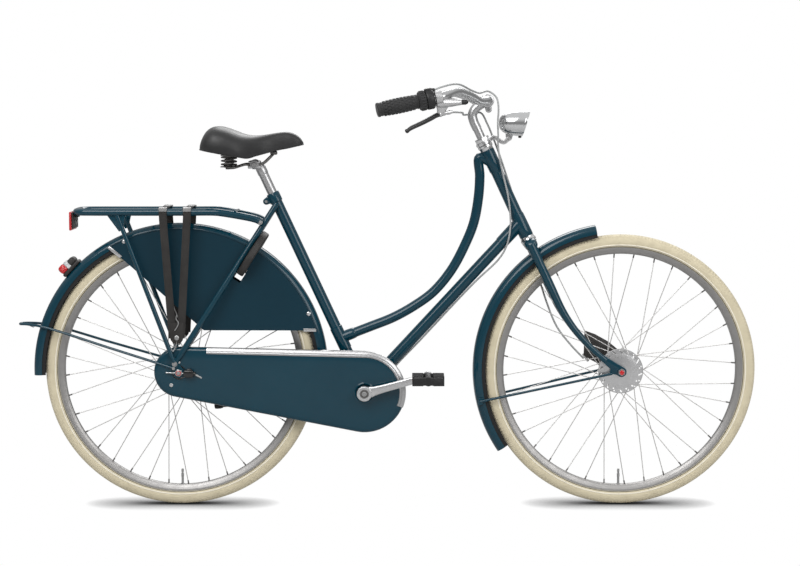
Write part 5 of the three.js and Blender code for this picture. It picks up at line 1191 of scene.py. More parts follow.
    def seat_stay(self, side: int, hand: str) -> None:
        """One seat stay from the seat lug to the eyelet above the axle, with its plate."""
        out, eyelet = 0.0635 if side > 0 else 0.0687, Vector((-0.010, 0, 0.0233))
        top = on_seat_tube(0.5386, 0.0, 0.0205 * side)
        foot = REAR_AXLE + eyelet + LEFT * (out * side)
        points = [top]
        for share, wide in ((0.29, 0.04), (0.62, 0.058), (0.93, out - 0.0015)):
            point = top + (foot - top) * share
            point.y = wide * side
            points.append(point)
        name = f"seat_stay_skin_{hand}"
        body = tube(name, [*points, foot], self.stay_radius, 24, 8, 0.0052, 0.86)
        end = bar_plate("seat_stay_plate", REAR_AXLE, REAR_AXLE + eyelet, 0.014, 0.0095, side * (out - 0.002),
                        side * (out + 0.002), self.plate_edge)
        self.painted(name, f"seat_stay_{hand}", body, end)

    def chain_stay(self, side: int, node: str) -> None:
        """One chain stay from the bracket shell to the axle, with its plate."""
        back = REAR_AXLE - BRACKET
        points = []
        for share, out in ((0.03, 0.0275), (0.2, 0.0358), (0.42, 0.044), (0.7, 0.0505), (0.9, 0.055),
                           (0.965, 0.0588)):
            point = BRACKET + back * share
            point.y = out * side
            points.append(point)
        body = tube(f"{node}_skin", points, self.chain_radius, 24, 8, 0.0055, 0.88)
        end = bar_plate("chain_stay_plate", REAR_AXLE, REAR_AXLE - back.normalized() * 0.026, 0.0135, 0.0075,
                        side * 0.057, side * 0.061, self.plate_edge)
        self.painted(f"{node}_skin", node, body, end)


@dataclass
class GuardStays:
    """The painted rods that hold the mudguards: two a side, bent into a loop behind the rear guard."""

    rod_radius: float = 0.0034
    front_ring: float = 0.3735
    front_angle: float = 192.5

    def build(self) -> None:
        """Makes both sets of rods and the fixings that hold them."""
        self.rear()
        self.front()

    def rear(self) -> None:
        """The rear rods: from the eyelets, past the guard and round behind it."""
        rows = []
        for side, out in ((1, 0.0655), (-1, 0.0705)):
            eye = REAR_AXLE + Vector((-0.013, side * out, 0.012))
            at_guard = round_wheel(REAR_AXLE, 0.372, 162, side * 0.0325)
            rows.append([eye, eye.lerp(at_guard, 0.5), at_guard, spot(-402, side * 17, 476.5),
                         spot(-419, side * 9, 476.3)])
        rods = tube("rear_guard_rod", [*rows[0], *reversed(rows[1])], self.rod_radius, 16, 10)
        leaf_route = [spot(x, 0, z) for x, z in ((-384, 468), (-396, 473), (-410, 476), (-422, 477.5))]
        leaf = ribbon("rear_guard_leaf", leaf_route, LEFT, 0.026, 0.0022, 0.0009)
        dress(joined("rear_guard_rods", rods, leaf), "petrol_enamel", "frame",
              ["rear_mudguard_stays"])
        eyes = [rod("eye_screw", REAR_AXLE + Vector((-0.013, side * 0.062, 0.012)),
                    REAR_AXLE + Vector((-0.013, side * 0.0755, 0.012)), 0.0045, sides=6) for side, _ in SIDES]
        dress(joined("rear_eye_screws", *eyes), "zinc_steel", "frame")

    def front(self) -> None:
        """The front rods, from the blade eyelets to clips on the guard's edges."""
        rods, clips = [], []
        for side, _ in SIDES:
            eye = FRONT_AXLE + Vector((-0.024, side * 0.0575, -0.004))
            edge, clip = [round_wheel(FRONT_AXLE, self.front_ring, self.front_angle, side * out)
                          for out in (0.0305, 0.0295)]
            rods.append(rod("front_guard_rod", eye, edge, self.rod_radius, sides=16))
            clips.append(block("front_rod_clip", clip, (0.012, 0.006, 0.018), 0.0012))
        dress(joined("front_guard_rods", *rods, *clips), "petrol_enamel", "steering",
              ["front_mudguard_stays"])


@dataclass
class Fork:
    """The fork: crown, tapered blades with flattened tips, and the bearing race on the crown."""

    blade_radius: float = 0.0116
    tip_radius: float = 0.007
    top: float = 0.392
    bend_from: float = 0.24
    top_out: float = 0.0405
    tip_out: float = 0.052
    steps: int = 40

    def build(self) -> None:
        """Makes the crown and both blades."""
        self.crown()
        for side, hand in SIDES:
            self.blade(side, f"fork_blade_{hand}")

    def middle(self, share: float, side: int) -> Vector:
        """A point of a blade's middle line, from its top at 0 to its tip at 1."""
        height = self.top * (1 - share * 0.89)
        forward = FORK_RAKE * (max(0.0, self.bend_from - height) / self.bend_from) ** 2
        return on_column(forward, side * (self.top_out + (self.tip_out - self.top_out) * share), height)

    def blade(self, side: int, node: str) -> None:
        """One blade with its dropout and mudguard eyelet."""
        sections = []
        for step in range(self.steps + 1):
            share = step / self.steps
            along = (self.middle(share + 0.01, side) - self.middle(share - 0.01, side)).normalized()
            outward = (LEFT - along * LEFT.dot(along)).normalized()
            size = self.blade_radius - (self.blade_radius - self.tip_radius) * max(0.0, (share - 1 / 3) * 1.5)
            flat = 1 - 0.42 * max(0.0, (share - 0.86) / 0.14)
            sections.append(oval(self.middle(share, side), outward.cross(along) * size,
                                 outward * (size * flat)))
        body = lofted(f"{node}_skin", sections)
        tip = self.middle(0.97, side)
        tip.y = 0
        drop = bar_plate("front_dropout", tip, FRONT_AXLE, 0.0075, 0.0135, side * 0.05, side * 0.054, 0.0009)
        eye = bar_plate("front_eyelet", FRONT_AXLE, FRONT_AXLE + Vector((-0.024, 0, 0.001)), 0.009, 0.0068,
                        side * 0.0505, side * 0.0535, 0.0008)
        dress(joined(f"{node}_skin", body, drop, eye), "petrol_enamel", "steering", [node])

    def crown(self) -> None:
        """The rounded crown across the blades' tops, and the lower race of the bearing."""
        half_wide, half_deep, half_high, height, droop = 0.0521, 0.0175, 0.0145, 0.4005, 0.004
        sections = []
        for step in range(25):
            share = -1 + step / 12
            squash = math.sqrt(max(0.0, 1 - abs(share) ** 7)) * 0.999 + 0.001
            middle = on_column(0, half_wide * share, height - droop * share * share)
            sections.append(oval(middle, AHEAD * (half_deep * squash), COLUMN * (half_high * squash),
                                 power=0.75))
        body = lofted("fork_crown_skin", sections)
        socket_foot, socket_top, socket_radius = 0.352, 0.40, 0.0128
        sockets = [rod("crown_socket", on_column(0, side * self.top_out, socket_foot),
                       on_column(0, side * self.top_out, socket_top), socket_radius, sides=32, edge=0.0008)
                   for side, _ in SIDES]
        lug = rod("crown_lug", on_column(0, 0, 0.37), on_column(0, 0, self.top), 0.0075, sides=24,
                  edge=0.0008)
        dress(joined("fork_crown_skin", body, *sockets, lug), "petrol_enamel", "steering",
              ["fork_crown"])
        race = capped("crown_race", [(0.019, height), (0.0195, 0.4015), (0.0195, 0.4045), (0.0185, 0.4058)],
                      COLUMN_FOOT, COLUMN, 40)
        dress(race, "chrome_plate", "steering")


@dataclass
class Carrier:
    """The rear carrier: a bent tube frame with cross bars, legs, gussets and foot plates."""

    height: float = 771.2
    half: float = 60.6
    back: float = -265
    front: float = 214
    rail_radius: float = 0.0092
    leg_radius: float = 0.006
    bar_radius: float = 0.0035

    def build(self) -> None:
        """Makes the carrier and its fixings."""
        pieces = [self.frame_tube(), *self.bars()]
        for side, out in ((1, 67.3), (-1, 72.5)):
            pieces += self.leg(side, out)
        dress(joined("carrier_frame", *pieces), "petrol_enamel", "frame", ["rear_carrier"])
        self.fixings()

    def frame_tube(self) -> bpy.types.Object:
        """The bent tube round the deck, whose front ends drop to the seat stays."""
        half = [(self.front, 43.5, 26), (self.front - 12, 45.5, 20), (182, 49, 14.5), (112, 60, 1.6),
                (96, self.half, 0), (20, self.half, 0), (-120, self.half, 0), (self.back + 40, self.half, 0),
                (self.back + 14, self.half - 5, 0), (self.back + 2, self.half - 22, 0), (self.back, 14, 0)]
        row = [spot(x, out, self.height - down) for x, out, down in half]
        return tube("carrier_frame", [*row, *other_side(row)], self.rail_radius, 24, 6)

    def bars(self) -> list[bpy.types.Object]:
        """The cross bars and the two inner lengthwise bars."""
        span = self.front - 40 - self.back
        ends = []
        for share in (0.16, 0.42, 0.68, 0.94):
            x = self.back + span * share
            ends.append((spot(x, -self.half + 3, self.height), spot(x, self.half - 3, self.height)))
        for share in (-0.36, 0.36):
            y = self.half * share
            ends.append((spot(self.back + 3, y, self.height), spot(self.back + span * 0.94, y, self.height)))
        return [rod("carrier_bar", start, end, self.bar_radius, sides=16) for start, end in ends]

    def leg(self, side: int, out: float) -> list[bpy.types.Object]:
        """One leg from the rail to the axle, with its gusset under the rail and its flattened foot."""
        top, foot = spot(-158, side * self.half, self.height - 2), spot(-11, side * out, AXLE_MM + 27)
        route = [top, top.lerp(foot, 0.4), top.lerp(foot, 0.8), foot]
        body = tube("carrier_leg", route, self.leg_radius, 24, 6, 0.0046, 0.85)
        inner, thick = side * self.half - 1.5, 3
        corners = [(-186, self.height - 2), (-133, self.height - 2), (-143, self.height - 46),
                   (-151, self.height - 50)]
        gusset = plate("carrier_gusset", [spot(x, inner, z) for x, z in corners], LEFT * thick * MM, 0.0008)
        low = bar_plate("carrier_foot", spot(-11, 0, AXLE_MM + 33), spot(-9.5, 0, AXLE_MM + 21), 0.0075,
                        0.009, side * (out - 1.5) * MM, side * (out + 1.5) * MM, 0.0009)
        return [body, gusset, low]

    def fixings(self) -> None:
        """The bolts at the feet and at the front ends."""
        heads = []
        for side, out in ((1, 0.0688), (-1, 0.074)):
            foot = REAR_AXLE + Vector((-0.010, side * out, 0.0233))
            heads.append(bolt("carrier_foot_bolt", foot, LEFT * side, 0.0045, 0.0035))
            end = spot(self.front - 2, side * 50.4, self.height - 26)
            heads.append(bolt("carrier_front_bolt", end, LEFT * side, 0.0045, 0.003, True))
        dress(joined("carrier_bolts", *heads), "zinc_steel", "frame")


@dataclass
class Straps:
    """The two rubber luggage bands each side, held by a riveted plate low down and wire hooks."""

    width: float = 0.020
    thickness: float = 0.0026
    tops: tuple[float, float] = (-37, 25)
    half_gap: float = 10.625

    def build(self) -> None:
        """Makes the bands, clips, plates, rivets and hooks."""
        bands, clips, rivets, wires = [], [], [], []
        for top in self.tops:
            bands.append(self.band(top))
            clips += [block("strap_clip", spot(top, side * 67.5, 779), (0.0215, 0.013, 0.012), 0.002)
                      for side, _ in SIDES]
        corners = [(-23, 486), (15, 486), (14, 450), (11, 440), (5, 433), (-4, 430.5), (-13, 433), (-19, 440),
                   (-22, 450)]
        rivet = [(0.0066, 0), (0.0062, 0.0012), (0.0044, 0.0022), (0.0042, 0.0012)]
        hook = [(-4, 71, 446), (-5, 71.2, 432), (-9, 71.5, 420), (-15, 71.8, 412), (-19, 72, 419)]
        tie = [(-9, 73.6, 466), (-3, 74.2, 475), (1, 73.8, 486), (-5, 73.4, 497), (-3, 73, 508)]
        for side, _ in SIDES:
            outline = [spot(x, side * 69.4, z) for x, z in corners]
            bands.append(plate("strap_plate", outline, LEFT * side * 0.0034, 0.0012))
            rivets.append(capped("strap_rivet", rivet, spot(-4, side * 72.7, 447), LEFT * side, 24))
            for name, route, radius in (("strap_hook", hook, 0.0018), ("strap_tie", tie, 0.0014)):
                wires.append(tube(name, [spot(x, side * out, z) for x, out, z in route], radius, 12, 8))
        dress(joined("strap_bands", *bands), "strap_band", "frame", ["luggage_straps"])
        dress(joined("strap_clips", *clips), "zinc_steel", "frame")
        dress(joined("strap_wires", *wires, *rivets), "zinc_steel", "frame")

    def band(self, top: float) -> bpy.types.Object:
        """One band from plate to plate over the carrier's rails, a little thicker at its edges."""
        low = -4 + math.copysign(self.half_gap, top)
        side_y, over = 70.6, 781.5
        points = [(low, side_y, 446), (low + (top - low) * 0.35, side_y, 556),
                  (low + (top - low) * 0.7, side_y, 665), (top, side_y, 762), (top, 70.2, 774),
                  (top, 66, 780.4), (top, 58, over), (top, 0, over)]
        route = smooth_route([spot(*point) for point in points], 8)
        route += other_side(route[:-1])
        half, thin = self.width / 2, self.thickness / 2
        outline = [(-half, -thin * 0.6), (-half, thin), (-half * 0.8, thin), (-half * 0.72, thin * 0.55),
                   (half * 0.72, thin * 0.55), (half * 0.8, thin), (half, thin), (half, -thin * 0.6),
                   (0, -thin * 0.8)]
        sections = []
        for index, point in enumerate(route):
            along = track(route, index)
            across = (FORWARD - along * along.x).normalized()
            outward = along.cross(across).normalized()
            if outward.dot(Vector((0, point.y, 0.04))) < 0:
                outward = -outward
            sections.append([point + across * wide + outward * out for wide, out in outline])
        return lofted("strap_band", sections)


@dataclass
class RearLights:
    """The reflector on the carrier and the tail light on the mudguard."""

    seat_radius: float = 0.3845
    light_angle: float = 136.7

    def build(self) -> None:
        """Makes both."""
        self.reflector()
        self.tail_light()

    def reflector(self) -> None:
        """The red plate in its grey holder, with a bracket and bolt."""
        lens = block("reflector_lens", spot(-279.6, 0, 747), (0.0062, 0.090, 0.048), 0.0022)
        dress(lens, "red_lens", "frame", ["rear_reflector"])
        holder = block("reflector_holder", spot(-274.6, 0, 748), (0.0045, 0.084, 0.042), 0.0018)
        arm = block("reflector_arm", spot(-268, 0, 762), (0.011, 0.022, 0.012), 0.0012)
        dress(joined("reflector_holder", holder, arm), "charcoal_plastic", "frame")
        screw = bolt("reflector_screw", spot(-272.3, 0.0, 744), FORWARD, 0.005, 0.004)
        dress(screw, "zinc_steel", "frame")

    def tail_light(self) -> None:
        """The lamp: a dark base on the mudguard, a red lens and a clear window."""
        seat = round_wheel(REAR_AXLE, self.seat_radius, self.light_angle)
        outward = round_wheel(Vector(), 1, self.light_angle)
        along = LEFT.cross(outward)
        turn = facing(along, LEFT, outward)
        made_blocks = {}
        for name, up, ahead, size, edge, segments in (
                ("base", 0.004, 0, (0.056, 0.046, 0.010), 0.004, 3),
                ("shell", 0.0165, 0.013, (0.024, 0.0455, 0.0185), 0.008, 5),
                ("lens", 0.0185, -0.0155, (0.0235, 0.0465, 0.0225), 0.0085, 5),
                ("window", 0.0180, 0.0005, (0.013, 0.0462, 0.0215), 0.004, 3)):
            place = seat + outward * up + along * ahead
            made_blocks[name] = block(f"tail_light_{name}", place, size, edge, turn, segments)
        dress(joined("tail_light_base", made_blocks["base"], made_blocks["shell"]), "charcoal_plastic",
              "frame", ["tail_light"])
        dress(made_blocks["lens"], "red_lens", "frame")
        dress(made_blocks["window"], "white_lens", "frame")


@dataclass
class CoatGuards:
    """The fixings of the thin sheets over the rear wheel: a bead round each and its clips."""

    near: float = 0.0268
    wall: float = 0.0015
    lift: float = 0.0004
    radius: float = 0.373

    def build(self) -> None:
        """Makes the fixings of both sheets. The sheets are CAD nodes with their own finish."""
        button = [(0.0052, 0), (0.0052, 0.0008), (0.0036, 0.0018), (0.0015, 0.002)]
        for side, hand in SIDES:
            face = side * (self.near + self.wall)
            clip_face = side * (self.near + self.wall + self.lift)
            bead = [round_wheel(REAR_AXLE, self.radius - 0.0025, 17.2 + 101.4 * i / 60,
                                face) for i in range(61)]
            dress(tube(f"coat_bead_{hand}", bead, 0.0016, 10, 0), "petrol_sheet", "frame")
            clips = [capped("coat_clip", button, round_wheel(REAR_AXLE, self.radius - 0.006, angle, face),
                            LEFT * side, 20) for angle in (113.0, 24.0)]
            rear, after = [round_wheel(REAR_AXLE, self.radius - 0.001, 119.6 - back, clip_face)
                           for back in (0, 5.2 / 6)]
            low = spot(-152, clip_face / MM, 653)
            clips.append(ribbon("coat_clip_rear", [rear, low], after - rear, 0.0085, 0.0012, 0.0004))
            edge = round_wheel(REAR_AXLE, self.radius - 0.002, 16.6).x
            ahead = [Vector((edge - back, clip_face, 462.4 * MM)) for back in (0.001, 0.034)]
            clips.append(ribbon("coat_clip_front", ahead, UP, 0.008, 0.0012, 0.0004))
            dress(joined(f"coat_clips_{hand}", *clips), "bright_alloy", "frame")


@dataclass
class ChainCase:
    """The closed chain case: a pressed outer half with a rolled rim, its bright trim, screws and axle nut."""

    rear_radius: float = 0.0655
    front_radius: float = 0.106
    face: float = -0.0656
    hole: float = 0.0215
    slot: float = 0.0185
    trim_from_mm: float = 72
    trim_to: float = -22

    def build(self) -> None:
        """Makes the case and what is on it."""
        self.shell()
        self.trim()
        self.screws()
        self.axle_end()
        self.shift_box()

    def outline(self, inset: float, side: float, steps: int = 40) -> list[Vector]:
        """The case's outline, drawn in by an inset, at a side distance."""
        return belt(REAR_AXLE, self.rear_radius - inset, BRACKET, self.front_radius - inset, side, steps)

    def shell(self) -> None:
        """The outer half: a shallow crowned pan whose rim turns inwards."""
        rows = []
        for inset, sunk in ((0.030, -0.0002), (0.012, 0), (0.0075, 0.0005), (0.004, 0.0018), (0.0016, 0.0042),
                            (0.0004, 0.0075), (0, 0.011), (0.0016, 0.011), (0.0034, 0.0045), (0.012, 0.0018),
                            (0.030, 0.0016)):
            row = self.outline(inset, self.face + sunk)
            rows.append([*row, row[0]])
        pan = skinned("chain_case_pan", rows)
        edit(pan, close_seam, mend)
        outside, inside = -0.08, -0.05
        crank_hole = rod("crank_hole", BRACKET + LEFT * outside, BRACKET + LEFT * inside, self.hole, sides=64)
        slot = bar_plate("axle_slot", REAR_AXLE, REAR_AXLE + FORWARD * MM, self.slot, self.slot, outside,
                         inside, 0)
        bored(pan, crank_hole, slot)
        dress(pan, "petrol_enamel", "frame", ["chain_case_outer"], 28)
        ring = [(0, -0.0005), (0.0028, -0.0012), (0.0052, -0.0002), (0.0045, 0.001), (0, 0.001)]
        lip = lathe("crank_hole_lip", [(self.hole + out, self.face + sunk) for out, sunk in ring], BRACKET,
                    LEFT, 64)
        dress(lip, "petrol_enamel", "frame")

    def trim(self) -> None:
        """The bright double-ridged strip along the case's upper rim and round its front."""
        outline = self.outline(0.0, 0, 60)
        rear_top, front_top = outline[0], max(outline[61:], key=lambda point: point.z)
        start_x = spot(self.trim_from_mm, 0, 0).x
        slope = (front_top.z - rear_top.z) / (front_top.x - rear_top.x)
        path = []
        for i in range(25):
            x = start_x + (front_top.x - start_x) * i / 25
            path.append(Vector((x, 0, rear_top.z + slope * (x - rear_top.x))))
        first = math.degrees(math.atan2(front_top.z - BRACKET.z, front_top.x - BRACKET.x))
        path += [round_wheel(BRACKET, self.front_radius,
                             first + (self.trim_to - first) * i / 40) for i in range(41)]
        section = [(0.0012, 0.0105), (0.0016, 0.0065), (0.0006, 0.0028), (-0.0022, 0.0004),
                   (-0.0058, -0.0012), (-0.0076, -0.0016), (-0.0092, -0.0006), (-0.0108, -0.0016),
                   (-0.0138, -0.0016), (-0.0152, -0.0004), (-0.0148, 0.0006), (-0.0060, 0.0006),
                   (-0.0010, 0.0030), (0.0002, 0.0065), (0.0002, 0.0105)]
        rows = []
        for index, point in enumerate(path):
            along = track(path, index)
            outward = Vector((-along.z, 0, along.x))
            rows.append([point + outward * out + LEFT * (self.face + deep) for out, deep in section])
        dress(lofted("chain_case_trim", rows), "satin_alloy", "frame", degrees=20)

    def screws(self) -> None:
        """The case's screws."""
        heads = []
        for x, z, radius in ((-0.5, 381.5, 0.0045), (-20, 323, 0.0048)):
            shape = [(radius, 0), (radius, 0.0012), (radius * 0.7, 0.0024), (radius * 0.3, 0.0026)]
            heads.append(capped("case_screw", shape, spot(x, 0, z) + LEFT * (self.face - 0.0002), -LEFT, 24))
        dress(joined("chain_case_screws", *heads), "bright_alloy", "frame")

    def axle_end(self) -> None:
        """The axle's nut in its brass ring, with a red dust cap, and the left nut on the axle."""
        near = REAR_AXLE + LEFT * (self.face - 0.001)
        ring = lathe("axle_ring", [(0.0095, 0), (0.0135, 0), (0.0135, 0.002), (0.012, 0.0034),
                                   (0.0095, 0.0034)],
                     near, -LEFT, 40)
        dress(ring, "brass", "frame")
        nut = {"radius": 0.0102, "low": 0, "high": 0.0085, "edge": 0.0012}
        dress(hex_nut("axle_nut", near - LEFT * 0.0005, -LEFT, **nut), "zinc_steel", "frame",
              ["rear_axle"])
        core = rod("axle_core", REAR_AXLE - LEFT * 0.0815, REAR_AXLE + LEFT * 0.078, 0.0051, sides=24,
                   edge=0.0006)
        far = hex_nut("axle_nut_left", REAR_AXLE + LEFT * 0.0690, LEFT, **nut)
        dress(joined("axle_core", core, far), "zinc_steel", "frame")
        cap = capped("axle_cap", [(0.0068, 0), (0.0068, 0.0012), (0.004, 0.0026)], REAR_AXLE - LEFT * 0.0768,
                     -LEFT, 24)
        dress(cap, "red_lens", "frame")

    def shift_box(self) -> None:
        """The shifter's click box, with the rod that it pushes and its cable stop."""
        body = block("shift_box_body", spot(26, -72.6, AXLE_MM - 2), (0.025, 0.0165, 0.019), 0.0035, None, 4)
        nose = rod("shift_box_nose", spot(12, -70.5, AXLE_MM - 2), spot(44, -70.5, AXLE_MM - 3), 0.0062,
                   0.0048, 28, 0.001)
        ears = block("shift_box_ear", spot(27, -70, AXLE_MM + 7), (0.013, 0.010, 0.008), 0.002)
        dress(joined("shift_box_body", body, nose, ears), "gloss_black", "frame",
              ["shift_box"])
        pin = rod("shift_rod", spot(-33, -70.8, AXLE_MM + 0.5), spot(16, -70.5, AXLE_MM - 1.5), 0.0017,
                  sides=14)
        dress(pin, "bright_alloy", "frame")


@dataclass
class Cranks:
    """The crank arms on their axle, and a pedal at each end."""

    angle: float = 15.2
    length: float = 0.170
    arm_near: float = 0.079
    arm_far: float = 0.092
    pedal_near: float = 0.0965
    pedal_far: float = 0.1865
    rubber_ahead: float = 0.0265
    ribs: int = 7

    def build(self) -> None:
        """Makes both arms and pedals."""
        for side, hand in reversed(SIDES):
            turn = math.radians(self.angle if side < 0 else self.angle + 180)
            way = Vector((math.cos(turn), 0, math.sin(turn)))
            self.arm(side, hand, way)
            self.pedal(side, hand, BRACKET + way * self.length)

    def arm(self, side: int, hand: str, way: Vector) -> None:
        """One arm: a swelling at the axle, a slim waist and a round end."""
        lift, out_way = LEFT.cross(way), LEFT * side
        middle = (self.arm_near + self.arm_far) / 2
        # The share of the length, half height, thickness and set outwards of each section
        stations = ((0.075, 0.0155, 0.0125, 0), (0.16, 0.0122, 0.0125, 0), (0.3, 0.0105, 0.0118, 0.0003),
                    (0.6, 0.0097, 0.0112, 0.0006), (0.84, 0.0095, 0.011, 0.0006),
                    (0.93, 0.0105, 0.0112, 0.0005), (1.0, 0.0112, 0.0115, 0.0004))
        body = lofted("crank_arm", [
            oval(BRACKET + way * (self.length * share) + out_way * (middle + out), lift * high,
                 LEFT * thick / 2, power=0.55) for share, high, thick, out in stations])
        boss = capped("crank_boss", [(0.0172, 0.0785), (0.0196, 0.0800), (0.0202, 0.0830), (0.0202, 0.0905),
                                     (0.0192, 0.0935), (0.0165, 0.0945), (0.0118, 0.0945), (0.0112, 0.0938)],
                      BRACKET, out_way, 48)
        end = capped("crank_end", [(0.0105, 0.0792), (0.0128, 0.0802), (0.0133, 0.0825), (0.0133, 0.0902),
                                   (0.0124, 0.0918), (0.0085, 0.0922)], BRACKET + way * self.length, out_way,
                                   40)
        axle = rod("crank_axle", BRACKET + out_way * 0.03, BRACKET + out_way * 0.082, 0.0098, sides=32)
        dress(joined(f"crank_{hand}_skin", body, boss, end, axle), "crank_metal", "crank",
              [f"crank_{hand}"], 38)
        dust = lathe(f"crank_dust_{hand}", [(0.0062, 0.0950), (0.0108, 0.0950), (0.0108, 0.0936),
                                            (0.0062, 0.0936)],
                     BRACKET, out_way, 40)
        dress(dust, "dark_steel", "crank")
        screw = hex_nut(f"crank_bolt_{hand}", BRACKET, out_way, 0.0055, 0.0925, 0.0965, 0.0006, 1)
        dress(screw, "zinc_steel", "crank")

    def pedal(self, side: int, hand: str, axle: Vector) -> None:
        """One pedal: two ribbed rubber blocks on a cage, with reflectors and the axle's end cap."""
        body, near, far = f"pedal_{hand}", self.pedal_near, self.pedal_far
        middle, ahead = side * (near + far) / 2, self.rubber_ahead
        cage = [capped("pedal_barrel", [(0.0102, near - 0.001), (0.0112, near + 0.004),
                                        (0.0098, near + 0.012), (0.0098, far - 0.012), (0.0115, far - 0.005),
                                        (0.0115, far)],
                       axle, LEFT * side, 28)]
        for out in (near + 0.0025, far - 0.004):
            cage.append(block("pedal_side", axle + LEFT * (side * out), (0.078, 0.005, 0.0205), 0.0022))
        dress(joined(f"pedal_cage_{hand}", *cage), "black_plastic", body, [body])
        rubbers, marks = [], []
        first, run = near + 0.0135, far - near - 0.027
        for way in (-1, 1):
            rubbers.append(block("pedal_rubber", axle + Vector((way * ahead, middle, 0)),
                                 (0.0255, far - near - 0.013, 0.0215), 0.003))
            for i in range(self.ribs):
                out = side * (first + i * run / (self.ribs - 1))
                rubbers.append(block("pedal_rib", axle + Vector((way * ahead, out, 0)),
                                     (0.0285, 0.0062, 0.0255), 0.0016))
        dress(joined(f"pedal_rubber_{hand}", *rubbers), "pedal_rubber", body)
        for way in (-1, 1):
            marks.append(block("pedal_mark", axle + Vector((way * 0.0395, middle, 0)),
                               (0.0028, 0.040, 0.0135), 0.001))
        dress(joined(f"pedal_marks_{hand}", *marks), "amber_lens", body)
        spindle = rod(f"pedal_spindle_{hand}", axle + LEFT * (side * 0.086), axle + LEFT * (side * 0.1005),
                      0.0068, sides=28)
        dress(spindle, "zinc_steel", body)


